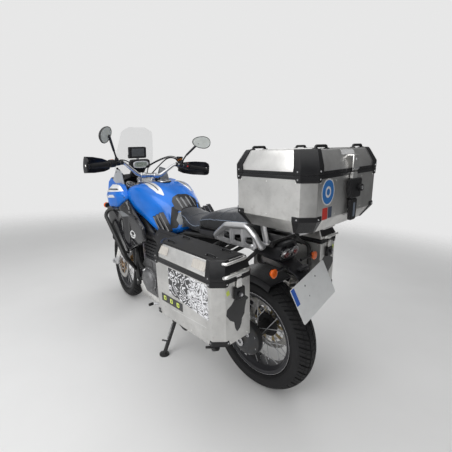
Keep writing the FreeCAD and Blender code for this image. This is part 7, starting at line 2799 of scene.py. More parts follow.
@dataclass
class Bars:
    """Handlebar with grips, switches, levers, guards, mirrors and hoses."""

    centre: Point = (1046.0, 0.0, 1092.0)
    bend_y: float = 80.0
    rise: Point = (1030.0, 190.0, 1178.0)
    end: Point = (968.0, 412.0, 1146.0)
    grip_length: float = 125.0
    mirror: Point = (884.0, 330.0, 1340.0)
    mirror_wide: float = 68.0
    mirror_high: float = 46.0
    toe: float = math.radians(15.0)

    def spot(self, side: int, inward: float, ahead: float = 0.0, up: float = 0.0) -> np.ndarray:
        """Point near the bar, measured in from its end.

        Args:
            side: 1 for the left and -1 for the right.
            inward: Distance in from the end.
            ahead: Distance forward.
            up: Distance upward.

        Returns:
            The point.
        """
        end = on_side(self.end, side)
        rise = on_side(self.rise, side)
        return end + unit(rise - end) * inward + np.array((ahead, 0.0, up))

    def bar(self) -> None:
        """Tapered bar in two clamps on risers."""
        stock = Stock()
        half = [self.end, self.rise, (self.centre[0], self.bend_y, self.centre[2])]
        left = [np.array(p, float) for p in half]
        line = rounded([*[p * (1, -1, 1) for p in left], *reversed(left)], 60.0, 10, False)
        line = np.array([a + (b - a) * k / 4 for a, b in zip(line, line[1:]) for k in range(4)]
                        + [line[-1]])
        radii = [11.0 + 2.6 * float(1 - smoothstep(np.array(abs(y)), 90.0, 150.0)) for y in line[:, 1]]
        stock.tube(line, 1.0, Coat.BAR_ALU, 32)
        rings = stock.points[-1].reshape(len(line), 32, 3)
        for ring, middle, radius in zip(rings, line, radii):
            ring[:] = middle + (ring - middle) * radius
        for side in SIDES:
            foot = steer_point(8, side * 48, 1144)
            knee = steer_point(8, side * 48, 1214)
            head = np.array((self.centre[0], side * 48.0, self.centre[2]))
            back = unit(head - knee)
            stock.rod(foot, foot + STEER_AXIS * 10, 19.0, Coat.CAST_SILVER, 32, 2.0)
            stock.rod(foot + STEER_AXIS * 6, knee, 14.5, Coat.CAST_SILVER, 32, 1.5)
            stock.rod(knee - back * 8, head, 13.0, Coat.CAST_SILVER, 32)
            stock.rod(head - (0, 19, 0), head + (0, 19, 0), 19.5, Coat.CAST_SILVER, 40, 2.0)
            for step in (-12, 12):
                for way in (-1, 1):
                    at = head + np.array((way * 13.0, step, 17.5))
                    stock.bolt(at - (0, 0, 2), (0.15 * way, 0, 1), 4.6, Coat.STEEL, 3.2)
        clamp = rounded([(-22, -64), (34, -64), (40, -30), (30, 0), (40, 30), (34, 64), (-22, 64),
                         (-30, 30), (-30, -30)], 8, 4)
        stock.take(Stock().prism(clamp, 1176, 1196, Coat.CAST_SILVER, 0.0, "Z", chamfer=3.0)
                   .moved(on_steering))
        cross = [np.array((self.centre[0] + 4, y, self.centre[2] + 1)) for y in (-30, 30)]
        stock.rod(*cross, 15.0, Coat.MAT_RUBBER, 32, 2.0)
        Piece("bar_tube", stock, Body.STEERING, "bar_silver", ["handlebar"]).make()

    def grips(self) -> None:
        """Ribbed grips, switch boxes, levers and the brake reservoir."""
        stock = Stock()
        for side in SIDES:
            inward = unit(self.spot(side, 1) - self.spot(side, 0))
            profile = [(-4, 11.2), (-4, 15.0), (-1, 15.8)]
            for k in range(19):
                at = 4 + k * 5.6
                profile += [(at, 15.8), (at + 0.6, 14.6), (at + 1.8, 14.6), (at + 2.4, 15.8)]
            profile += [(112, 15.8), (114, 18.5), (119, 18.5), (121, 16.5), (125, 16.5), (125, 11.2)]
            stock.turned(profile, self.spot(side, 0), Coat.GRIP, 32, tuple(inward), True)
            stock.turned([(127, 11.2), (127, 17), (130, 20), (140, 22.5), (160, 22.5), (166, 19),
                          (168, 11.2)], self.spot(side, 0), Coat.BLACK_PLASTIC, 32, tuple(inward), True)
            middle = self.spot(side, 146)
            box = Stock()
            for along, size in ((-17, 0.8), (-15, 1.0), (15, 1.0), (17, 0.8)):
                section = oval(23 * size, 24.5 * size, 3.6, 36)
                ring = np.column_stack([section[:, 0] - 2, np.full(36, along), section[:, 1] + 1])
                box.points.append(ring)
            rings, box.points = box.points, []
            box.skin(rings, Coat.BLACK_PLASTIC)
            box.box((-21, -10, -4), (-26.5, -1, 6), Coat.RED if side < 0 else Coat.BLACK_PLASTIC, 1.5, 1.0)
            box.box((-21, 2, -8), (-25.5, 11, 0), Coat.BLACK_PLASTIC, 1.5, 1.0)
            box.box((-21, 1, 4), (-25.0, 12, 12), Coat.DARK_STEEL, 1.5, 1.0)
            box.box((-10, -9, 24), (4, -1, 27.4), Coat.RED if side < 0 else Coat.AMBER, 1.5, 1.0)
            box.box((-10, 2, 24), (4, 11, 26.8), Coat.BLACK_PLASTIC, 1.5, 1.0)
            turned = inward * side * -1
            axes = np.array([unit(np.cross(turned, (0, 0, 1))), turned, (0, 0, 1)])
            axes[2] = np.cross(axes[0], axes[1])
            stock.take(box.moved(lambda p: middle + (p * (1, 1, 1)) @ axes))
            perch = self.spot(side, 187)
            stock.rod(perch - inward * 15, perch + inward * 15, 18.5, Coat.BLACK_PLASTIC, 32, 2.0)
            pivot = perch + np.array((34.0, side * 6.0, 2.0))
            stock.rod(perch + (12, 0, 0), pivot, 10.0, Coat.BLACK_PLASTIC, 24)
            stock.rod(pivot - (0, 0, 10), pivot + (0, 0, 10), 11.0, Coat.BLACK_PLASTIC, 24, 1.5)
            stock.bolt(pivot + (0, 0, 10), (0, 0, 1), 5.0, Coat.STEEL, 2.6)
            start = pivot + (4, 0, 0)
            stop = on_side(self.end, side) + (44, side * 2, -2)
            curve = spline([start, start + (stop - start) * 0.22 + (10, 0, 0),
                            start + (stop - start) * 0.5 + (10, 0, 0),
                            start + (stop - start) * 0.8 + (4, 0, 0), stop], 26)
            stock.tube(curve, [6.6, 6.6, 5.6, 5.2, 5.2, 5.6, 5.6, 6.4], Coat.BLACK_PLASTIC, 16)
            stock.rod(stop - (0, 3 * side, 0), stop + (0, 4 * side, 0), 8.0, Coat.BLACK_PLASTIC, 20, 2.5)
            if side < 0:
                for low, high, radius, coat in ((8, 24, 9, Coat.BLACK_PLASTIC), (22, 52, 21, Coat.CLEAR_LENS),
                                                (23, 30, 23, Coat.BLACK_PLASTIC),
                                                (48, 61, 23.5, Coat.BLACK_PLASTIC)):
                    stock.rod(pivot + (0, 0, low), pivot + (0, 0, high), radius, coat, 40, 1.5)
                stock.rod(pivot + (0, 0, 30), pivot + (0, 0, 49), 19, Coat.AMBER_LENS, 32)
                for step in (-1, 1):
                    stock.bolt(pivot + (0, step * 15, 61), (0, 0, 1), 3.4, Coat.STEEL, 1.4)
        Piece("bar_grips", stock, Body.STEERING, "black_plastic", ["bar_controls"]).make()

    def guards(self) -> None:
        """Swept hand guards on an alloy strip, each with a bright bolt."""
        stock = Stock()
        for side in SIDES:
            tip = on_side(GUARD_TIP, side) - (0, side * 14, 0)
            lines = []
            for rows in ([(-14, 0), (26, 6), (62, 4), (104, -36), (138, -86), (156, -132), (166, -176)],
                         [(-14, -7), (24, -2), (57, -5), (97, -42), (130, -90), (148, -134),
                          (157, -176)]):
                lines.append(spline(rows, 40))
            rings = []
            for k, share in enumerate(np.linspace(0, 1, 40)):
                high = np.interp(share, [0, 0.08, 0.3, 0.55, 0.8, 1.0], [26, 44, 55, 56, 48, 30])
                low = np.interp(share, [0, 0.08, 0.3, 0.6, 0.85, 1.0], [-24, -40, -47, -47, -38, -22])
                ring = []
                for line, levels in ((lines[0], np.linspace(0, 1, 9)), (lines[1], np.linspace(1, 0, 9))):
                    for level in levels:
                        lean = 7.0 * (2 * abs(level - 0.42)) ** 2.2
                        back = np.array((-lean, -lean * 0.5))
                        flat = line[k] + back
                        ring.append((tip[0] + flat[0], tip[1] + side * flat[1],
                                     tip[2] + low + (high - low) * level))
                rings.append(np.array(ring))
            stock.skin(rings, Coat.BLACK_PLASTIC)
            strip = [(tip[0] + a - 12, tip[1] + side * (b - 12), tip[2] - 8)
                     for a, b in spline([(-2, 2), (50, 0), (94, -40), (132, -92), (150, -134),
                                         (158, -166)], 24)]
            stock.tube(strip, 1.0, Coat.FRAME_BLACK, section=oval(4.0, 9.0, 4.0, 12))
            outward = unit(self.spot(side, 0) - self.spot(side, 1))
            end = self.spot(side, 0)
            stock.rod(end + outward * 4, (tip[0], tip[1] - side * 5, tip[2]), 12.0, Coat.FRAME_BLACK, 28,
                      1.0)
            stock.bolt((tip[0] + 2, tip[1] + side * 1.0, tip[2]), (0, side, 0), 7.5, Coat.BRIGHT_ALU_AND_TOP_LIGHT, 4.0)
            inner = np.array((tip[0] + 152, tip[1] - side * 168, tip[2] - 8))
            clamp = self.spot(side, 218, 8, -4)
            stock.rod(inner, clamp, 6.0, Coat.FRAME_BLACK, 20)
            stock.turned([(-9, 11.3), (-9, 16), (9, 16), (9, 11.3)], self.spot(side, 218),
                         Coat.FRAME_BLACK, 32, tuple(outward), True)
            stock.bolt((tip[0] + 20, tip[1] - side * 6.5, tip[2] + 8), (-0.2, -side, 0), 6.5,
                       Coat.BRIGHT_ALU_AND_TOP_LIGHT, 3.0)
        Piece("hand_shields", stock, Body.STEERING, "black_plastic", ["hand_guards"],
              smooth_deg=50).make()

    def mirrors(self) -> None:
        """Egg-shaped mirrors on bent stems."""
        stock = Stock()
        for side in SIDES:
            base = self.spot(side, 187, 0, 14)
            centre = on_side(self.mirror, side)
            elbow = base + (-30, side * 26, 58)
            neck = centre + (12, -side * 18, -6)
            stock.rod(base - (0, 0, 4), base + unit(elbow - base) * 18, 12.5, Coat.BLACK_PLASTIC, 28, 2.0)
            stock.rod(base + unit(elbow - base) * 15, base + unit(elbow - base) * 30, 8.5,
                      Coat.MAT_RUBBER, 6, 1.0)
            stem = rounded([base, elbow, neck], 34.0, 12, False)
            stock.tube(stem, [5.6, 5.4, 5.0, 5.0, 5.6, 8.5], Coat.BLACK_PLASTIC, 20)
            toe = side * self.toe + (math.radians(30.0) if side > 0 else 0.0)
            roll = math.radians(-32.0 if side > 0 else 0.0)
            cos_toe, sin_toe = math.cos(toe), math.sin(toe)

            def place(ahead: float, wide: float, high: float) -> np.ndarray:
                """Egg ring of the head at one depth."""
                egg = oval(wide, high, 2.15, 72)
                inboard = -egg[:, 0] / self.mirror_wide
                egg[:, 1] *= 1 - 0.16 * inboard
                flat = egg @ np.array([[math.cos(roll), math.sin(roll)],
                                       [-math.sin(roll), math.cos(roll)]])
                x, y = np.full(72, ahead), side * flat[:, 0]
                return centre + np.column_stack([x * cos_toe - y * sin_toe, x * sin_toe + y * cos_toe,
                                                 flat[:, 1]])
            wide, high = self.mirror_wide, self.mirror_high * 0.93
            stock.skin([place(1.6, wide - 5, high - 5), place(0.0, wide - 3.4, high - 3.4),
                        place(0.0, wide - 1.6, high - 1.6), place(4, wide, high),
                        place(10, wide - 1, high - 1), place(18, wide - 9, high - 8),
                        place(23, wide - 20, high - 17), place(26, wide - 36, high - 29)],
                       Coat.BLACK_PLASTIC)
            stock.skin([place(1.4, wide - 4.6, high - 4.6), place(1.2, 1.0, 0.7)], Coat.MIRROR)
        Piece("mirror_pair", stock, Body.STEERING, "black_plastic", ["mirrors"]).make()

    def hoses(self) -> None:
        """Brake hose and cables that arch from the controls to the fork."""
        stock = Stock()
        pivot = self.spot(-1, 187, 34, 12) + (0, -6, 0)
        low = steer_point(66, -62, 940)
        stock.tube(spline([pivot, steer_point(28, -196, 1366), steer_point(32, -140, 1360),
                           steer_point(44, -92, 1290), steer_point(66, -50, 1190),
                           steer_point(72, -52, 1130), steer_point(74, -60, 1030), low,
                           steer_point(66, -104, 800), steer_point(62, -106, 640),
                           steer_point(36, -128, 540), steer_point(-20, -112, AXLE_ALONG + 210),
                           steer_point(-42, -82, AXLE_ALONG + 178)], 90), 4.2, Coat.HOSE, 12)
        stock.tube(spline([low, steer_point(68, 0, 925), steer_point(66, 62, 930),
                           steer_point(66, 104, 800), steer_point(62, 106, 640),
                           steer_point(36, 128, 540), steer_point(-20, 112, AXLE_ALONG + 210),
                           steer_point(-42, 82, AXLE_ALONG + 178)], 80), 4.2, Coat.HOSE, 12)
        for side in SIDES:
            for along in (660, 780):
                stock.turned([(-6, 27), (-6, 29.2), (6, 29.2), (6, 27)],
                             steer_point(30, side * 105, along), Coat.BLACK_PLASTIC, 32,
                             tuple(STEER_AXIS), True)
        for shift in (0, 9):
            start = self.spot(-1, 150, 20, 4 + shift)
            stock.tube(spline([start, steer_point(12, -228, 1362 + shift),
                               steer_point(24, -160, 1376 + shift), steer_point(36, -96, 1346 + shift),
                               steer_point(60, -40, 1290 + shift), steer_point(64, 0, 1250 + shift),
                               steer_point(56, 24 + shift, 1135), steer_point(52, 40 + shift, 1060)],
                              60), 3.2, Coat.HOSE, 10)
        start = self.spot(1, 187, 38, 2)
        stock.tube(spline([start, steer_point(28, 190, 1336), steer_point(34, 130, 1312),
                           steer_point(54, 76, 1236), steer_point(70, 52, 1160),
                           steer_point(72, 48, 1060), steer_point(60, 60, 960)], 50), 3.6,
                   Coat.HOSE, 10)
        Piece("bar_hoses", stock, Body.STEERING, "black_plastic").make()

    def make(self) -> None:
        """Build the bar and its fittings."""
        self.bar()
        self.grips()
        self.guards()
        self.mirrors()
        self.hoses()


# Engine, drive and exhaust


@dataclass
class Powertrain:
    """Engine, exhaust, shaft drive, rear suspension and rear brake."""

    half: float = 135.0
    can_y: float = -207.0
    can_r: float = 55.0
    drive_r: float = 92.0

    def cover(self, stock: Stock, centre: Point, radius: float, depth: float, bolts: int,
              coat: Coat = Coat.ENGINE) -> None:
        """Domed side cover with a flange, ribs and a ring of bolts.

        Args:
            stock: The stock that takes it in.
            centre: Its middle.
            radius: Its radius.
            depth: Its depth.
            bolts: Count of its bolts.
            coat: Its finish.
        """
        side = math.copysign(1.0, centre[1])
        profile = [(0, radius), (side * depth * 0.3, radius), (side * depth * 0.34, radius - 3),
                   (side * depth * 0.34, radius - 12), (side * depth * 0.62, radius - 16),
                   (side * depth * 0.88, radius - 28), (side * depth * 0.98, radius - 44),
                   (side * depth, max(radius - 60, 4.0)), (side * depth, 0)]
        profile = rounded(profile, [0, 2, 1, 3, 6, 8, 8, 6, 0], 3, False)
        stock.turned(profile, centre, coat, 72)
        for k in range(bolts):
            turn = 2 * math.pi * (k + 0.3) / bolts
            at = np.array(centre) + ((radius - 6) * math.cos(turn), side * depth * 0.33,
                                     (radius - 6) * math.sin(turn))
            stock.rod(at - (0, side * 9, 0), at + (0, side * 0.6, 0), 7.5, coat, 20, 0.8)
            stock.bolt(at + (0, side * 0.6, 0), (0, side, 0), 4.6, Coat.STEEL, 3.4)
        stock.turned([(side * depth * 0.96, 20), (side * (depth - 0.4), 19.5),
                      (side * (depth - 0.4), 8), (side * depth * 0.96, 8)], centre, Coat.ENGINE_DARK, 40,
                     loop=True)

    def engine(self) -> None:
        """Crankcase, cylinders with ribs, head with its cover, and side covers."""
        stock = Stock()
        case = [(590, 300), (648, 250), (998, 250), (1041, 302), (1041, 428), (983, 522), (642, 522),
                (590, 448)]
        radii = [20, 30, 30, 25, 25, 20, 30, 25]
        stock.prism(case, -self.half + 8, self.half - 8, Coat.ENGINE_DARK, radii, "Y", 6, 6)
        for side in SIDES:
            ends = sorted((side * (self.half - 9), side * self.half))
            stock.prism(case, *ends, Coat.ENGINE, radii, "Y", 6, 2)
            for x, z in ((612, 320), (612, 430), (668, 270), (760, 262), (860, 262), (960, 262),
                         (1022, 320), (1024, 420), (975, 500), (690, 505)):
                stock.bolt((x, side * self.half, z), (0, side, 0), 5.2, Coat.STEEL, 4.0)
            for x in (700, 780, 860):
                stock.prism([(x, 262), (x + 5, 262), (x + 30, 510), (x + 24, 510)],
                            *span(side, self.half - 1, self.half + 5), Coat.ENGINE, 1.5)
        slope = (27.0 / 175.0)
        for k in range(13):
            z = 522 + k * 12.8
            x = 742 + (z - 515) * slope
            reach = 247 - (2 if k % 2 else 0)
            wide = 121 if k % 2 else 126
            stock.box((x - (0 if k % 2 else 4), -wide, z), (x + reach, wide, z + 9.5), Coat.ENGINE_DARK,
                      12, 1.5)
        head = [(764, 682), (1020, 682), (1026, 742), (774, 742)]
        stock.prism(head, -139, 139, Coat.ENGINE, 6, "Y", 4, 2.5)
        top = [(774, 742), (1028, 742), (1032, 798), (978, 820), (812, 820), (778, 790)]
        stock.prism(top, -141, 141, Coat.ENGINE_DARK, [4, 4, 16, 18, 18, 16], "Y", 5, 5)
        for side in SIDES:
            for x, z in ((792, 760), (1012, 760), (830, 806), (960, 806), (900, 750)):
                stock.rod((x, side * 132, z), (x, side * 142, z), 10, Coat.ENGINE_DARK, 24, 1.5)
                stock.bolt((x, side * 141, z), (0, side, 0), 5, Coat.STEEL, 3)
            stock.prism([(850, 700), (950, 700), (960, 735), (860, 735)],
                        *span(side, 138, 141.4), Coat.ENGINE_DARK, 8)
        self.cover(stock, (915, self.half, 375), 88, 45, 9)
        self.cover(stock, (820, -self.half, 372), 105, 49, 11)
        self.cover(stock, (985, -self.half, 360), 48, 29, 4)
        self.cover(stock, (700, self.half, 360), 62, 25, 6)
        stock.rod((1036, 20, 320), (1084, 20, 316), 34, Coat.DARK_STEEL, 48, 4)
        stock.turned([(0, 34.6), (4, 35.4), (8, 34.6)], (1050, 20, 319), Coat.DARK_STEEL, 48,
                     (1, 0, -0.08), True)
        for x, y, z in ((700, 60, 252), (860, -40, 252)):
            stock.bolt((x, y, z), (0, 0, -1), 11, Coat.STEEL, 6)
        stock.tube(spline([(968, 146, 420), (1010, 160, 470), (1050, 150, 560), (1090, 120, 620),
                           (1128, 96, 640)], 30), 14, Coat.HOSE, 20)
        stock.tube(spline([(960, -142, 715), (1030, -150, 720), (1090, -120, 760), (1130, -96, 790)], 24),
                   13, Coat.HOSE, 20)
        for centre, way in (((974, 148, 428), (0.6, 0.2, 0.77)), ((1116, 104, 636), (0.8, -0.5, 0.3)),
                            ((972, -143, 715), (1, -0.1, 0)), ((1120, -102, 784), (0.8, 0.4, 0.5))):
            stock.turned([(-6, 13), (-6, 16.4), (6, 16.4), (6, 13)], centre, Coat.STEEL, 32, way, True)
        for side in SIDES:
            stock.tube([(800, side * 70, 818), (786, side * 70, 846), (730, side * 66, 858)], 24,
                       Coat.MAT_RUBBER, 28, 20)
        Piece("engine_cases", stock, Body.CHASSIS, "engine_grey", ["engine"], bevel=0.8).make()

    def exhaust(self) -> None:
        """Header pipes, collector and the silencer with its guard and straps."""
        stock = Stock()
        for y, low_y in ((62, -40), (-62, -88)):
            stock.tube([(1018, y, 742), (1098, y, 735), (1094, y, 300), (1040, low_y, 222),
                        (760, low_y, 222)], 18.5, Coat.EXHAUST, 28, 38)
            stock.rod((1020, y, 742), (1030, y, 741), 28, Coat.STEEL, 36, 2)
            for step in (-24, 24):
                stock.rod((1024, y, 742 + step), (1042, y, 741 + step), 4.5, Coat.STEEL, 6, 0.8)
            stock.tube([(1080, y, 736), (1088, y, 735)], 21.5, Coat.STEEL, 28)
        stock.rod((800, -64, 222), (690, -64, 222), 30, Coat.EXHAUST, 36, 6)
        stock.tube([(790, -64, 222), (690, -64, 222), (596, -218, 238), (420, -222, 262),
                    (330, self.can_y, 322)], 23.5, Coat.EXHAUST, 32, 50)
        low, high = np.array((352.0, self.can_y, 316.0)), np.array((-60.0, self.can_y, 514.0))
        along = unit(high - low)
        length = float(np.linalg.norm(high - low))
        stock.turned(rounded([(0, 26), (0, 34), (26, 53), (length - 30, 54.5), (length - 8, 50),
                              (length, 40), (length, 34)], [0, 4, 10, 10, 6, 4, 0], 4, False), low,
                     Coat.EXHAUST, 72, tuple(along))
        for place in (34, length - 44):
            stock.turned([(place, 53), (place, 55), (place + 16, 55), (place + 16, 53)], low,
                         Coat.STEEL, 72, tuple(along), True)
            for turn in (0.5, 2.5, 4.5):
                side, up, _ = frame_of(along)
                out = side * math.cos(turn) + up * math.sin(turn)
                stock.bolt(low + along * (place + 8) + out * 54.6, out, 2.6, Coat.STEEL, 1.0, False)
        stock.turned([(length, 31), (length + 44, 31.5), (length + 44, 27), (length + 6, 26.5),
                      (length + 6, 4)], low, Coat.EXHAUST, 56, tuple(along))
        side, up, _ = frame_of(along)
        outer = -unit(side) if side[1] > 0 else unit(side)
        rings = []
        for share in np.linspace(0.16, 0.78, 20):
            ring = []
            for radius in (55.0, 52.8):
                turns = np.linspace(-0.95, 0.95, 13)
                turns = turns if radius > 54 else turns[::-1]
                trim = 1 - 0.4 * abs(share - 0.47) / 0.31
                for turn in turns * trim:
                    out = outer * math.cos(turn) + np.cross(along, outer) * math.sin(turn)
                    ring.append(low + along * share * length + out * radius)
            rings.append(np.array(ring))
        stock.skin(rings, Coat.BLACK_PLASTIC)
        stock.rod(low + along * 250 + (0, 20, 30), low + along * 250 + (0, 66, 60), 11, Coat.FRAME_BLACK,
                  20, 1)
        Piece("exhaust_pipes", stock, Body.CHASSIS, "stainless", ["exhaust"], smooth_deg=38).make()

    def drive(self) -> None:
        """Final drive case with its bolts, plugs and the rubber boot of the shaft."""
        stock = Stock()
        r = self.drive_r
        stock.turned(rounded([(82, 12.2), (82, r - 10), (92, r - 1), (122, r - 1), (128, r - 6),
                              (150, r - 32), (159, 40), (159, 22), (154, 18), (154, 12.2)],
                             [0, 4, 4, 4, 4, 10, 5, 2, 2, 0], 4), REAR_AXLE, Coat.ENGINE_DARK, 96,
                     loop=True)
        for k in range(8):
            turn = 2 * math.pi * (k + 0.4) / 8
            out = np.array((math.cos(turn), 0, math.sin(turn)))
            at = np.array(REAR_AXLE) + out * (r - 13) + (0, 118, 0)
            stock.rod(at, at + (0, 12, 0), 8.5, Coat.ENGINE_DARK, 24, 1.5)
            stock.bolt(at + (0, 12, 0), (0, 1, 0), 5.2, Coat.STEEL, 4)
        for k in range(12):
            turn = 2 * math.pi * (k + 0.5) / 12
            way = np.array((math.cos(turn), 0.0, math.sin(turn)))
            across = np.array((-math.sin(turn), 0.0, math.cos(turn))) * 2.0
            near, far = np.array(REAR_AXLE) + way * 42, np.array(REAR_AXLE) + way * (r - 20)
            stock.skin([np.array([near - across + (0, 152, 0), near + across + (0, 152, 0),
                                  near + across + (0, 159.4, 0), near - across + (0, 159.4, 0)]),
                        np.array([far - across + (0, 130, 0), far + across + (0, 130, 0),
                                  far + across + (0, 139, 0), far - across + (0, 139, 0)])],
                       Coat.ENGINE_DARK)
        neck_a, neck_b = np.array((50.0, 132, 327)), np.array((118.0, 132, 331))
        stock.rod(neck_a, neck_b, 45, Coat.ENGINE_DARK, 56, 2)
        for k in range(4):
            turn = math.pi * (k + 0.5) / 2
            at = neck_b + (0, 38 * math.cos(turn), 38 * math.sin(turn))
            stock.bolt(at, (1, 0, 0), 4.5, Coat.STEEL, 3.5)
        stock.bolt((-40, 148, 366), (-0.1, 0.95, 0.2), 9, Coat.STEEL, 5)
        stock.bolt((-20, 140, 246), (0, 0.9, -0.4), 7, Coat.STEEL, 4)
        Piece("drive_case", stock, Body.CHASSIS, "engine_grey", ["final_drive"], bevel=0.6).make()
        boot = Stock()
        start, stop = np.array((538.0, 132, 371)), np.array((470.0, 132, 364.5))
        rings = [(start + (stop - start) * share, 40.6 + 3.0 * math.sin(share * 10 * math.pi) ** 2)
                 for share in np.linspace(0, 1, 41)]
        boot.tube([p for p, _ in rings], 1.0, Coat.MAT_RUBBER, 40)
        shape = boot.points[-1].reshape(41, 40, 3)
        for ring, (middle, radius) in zip(shape, rings):
            ring[:] = middle + (ring - middle) * radius
        for side in SIDES:
            boot.turned([(0, 14), (0, 24), (5, 24), (8, 20), (8, 14)] if side > 0 else
                        [(0, 14), (0, 24), (-5, 24), (-8, 20), (-8, 14)], (548, side * 190, 372),
                        Coat.STEEL, 40, loop=True)
            boot.rod((548, side * 188, 372), (548, side * 196, 372), 9, Coat.DARK_STEEL, 6, 1)
        boot.turned([(-133, 12.5), (-133, 22), (-139, 22), (-146, 16), (-146, 8)], REAR_AXLE, Coat.STEEL, 6)
        boot.box((-60, -138, 314), (-36, -131, 330), Coat.STEEL, 2, 1)
        Piece("drive_boot", boot, Body.CHASSIS, "black_plastic").make()

    def shock(self) -> None:
        """Coil spring over a damper with its adjuster and reservoir."""
        stock = Stock()
        low, high = np.array((412.0, 0.0, 404.0)), np.array((478.0, 0.0, 776.0))
        span = unit(high - low)
        side, up, _ = frame_of(span)
        stock.rod(low + span * 14, low + span * 300, 12.5, Coat.STEEL, 32)
        stock.rod(low + span * 190, low + span * 350, 22, Coat.DARK_STEEL, 36, 2)
        stock.rod(low + span * 56, low + span * 66, 33.5, Coat.FRAME_BLACK, 48, 2)
        stock.rod(low + span * 290, low + span * 300, 33.5, Coat.BRIGHT_ALU_AND_TOP_LIGHT, 48, 2)
        stock.rod(low + span * 302, low + span * 312, 30, Coat.BRIGHT_ALU_AND_TOP_LIGHT, 24, 2)
        turns = np.linspace(0, 7.5 * 2 * math.pi, 260)
        coil = [low + span * (70 + 216 * t / turns[-1]) + 28 * (side * math.cos(t) + up * math.sin(t))
                for t in turns]
        stock.tube(coil, 5.4, Coat.RED, 12)
        for end in (low, high):
            stock.rod(end - (0, 24, 0), end + (0, 24, 0), 15, Coat.FRAME_BLACK, 36, 1.5)
            stock.rod(end - (0, 27, 0), end + (0, 27, 0), 8, Coat.STEEL, 6, 1)
        Piece("shock_spring", stock, Body.CHASSIS, "frame_black", ["rear_shock"]).make()

    def brake(self) -> None:
        """Rear caliper on its hanger."""
        stock = Stock()
        for low, high, coat in ((-95, -76, Coat.BRONZE), (-64, -54, Coat.BRONZE)):
            stock.prism([(-36, -22), (-28, -24), (30, -24), (36, -14), (36, 26), (26, 34), (-26, 34),
                         (-36, 24)], low, high, coat, 7, "Y", 4, 2)
        stock.prism([(-36, 14), (36, 14), (36, 26), (26, 34), (-26, 34), (-36, 24)], -80, -60,
                    Coat.BRONZE, 5, "Y", 4, 1)
        stock.rod((0, -94, 4), (0, -97, 4), 16, Coat.BRONZE, 40, 1.5)
        stock.rod((0, -96, 4), (0, -98, 4), 11, Coat.DARK_STEEL, 32, 0.6)
        for x in (-24, 24):
            stock.bolt((x, -95, 22), (0, -1, 0), 5, Coat.STEEL, 3)
        turn = math.radians(46)
        spin = np.array([[math.cos(turn), 0, math.sin(turn)], [0, 1, 0],
                         [-math.sin(turn), 0, math.cos(turn)]])
        stock.moved(lambda p: p @ spin + np.array((-96.0, 0.0, 413.0)))
        stock.prism([(-110, 421), (-60, 431), (14, 331), (16, 312), (-16, 307)], -97, -90, Coat.CAST_SILVER,
                    [8, 8, 8, 10, 10], "Y", 4, 1.5)
        stock.turned([(-96, 12.3), (-96, 24), (-89, 24), (-89, 12.3)], REAR_AXLE, Coat.STEEL, 40, loop=True)
        stock.tube(spline([(-80, -96, 432), (-40, -110, 452), (60, -120, 430), (180, -118, 410),
                           (330, -114, 404), (470, -120, 400)], 40), 4.0, Coat.HOSE, 12)
        Piece("rear_brake", stock, Body.CHASSIS, "caliper_metal", ["rear_caliper"]).make()

    def make(self) -> None:
        """Build the engine, exhaust, drive, spring and brake."""
        self.engine()
        self.exhaust()
        self.drive()
        self.shock()
        self.brake()


# Seats


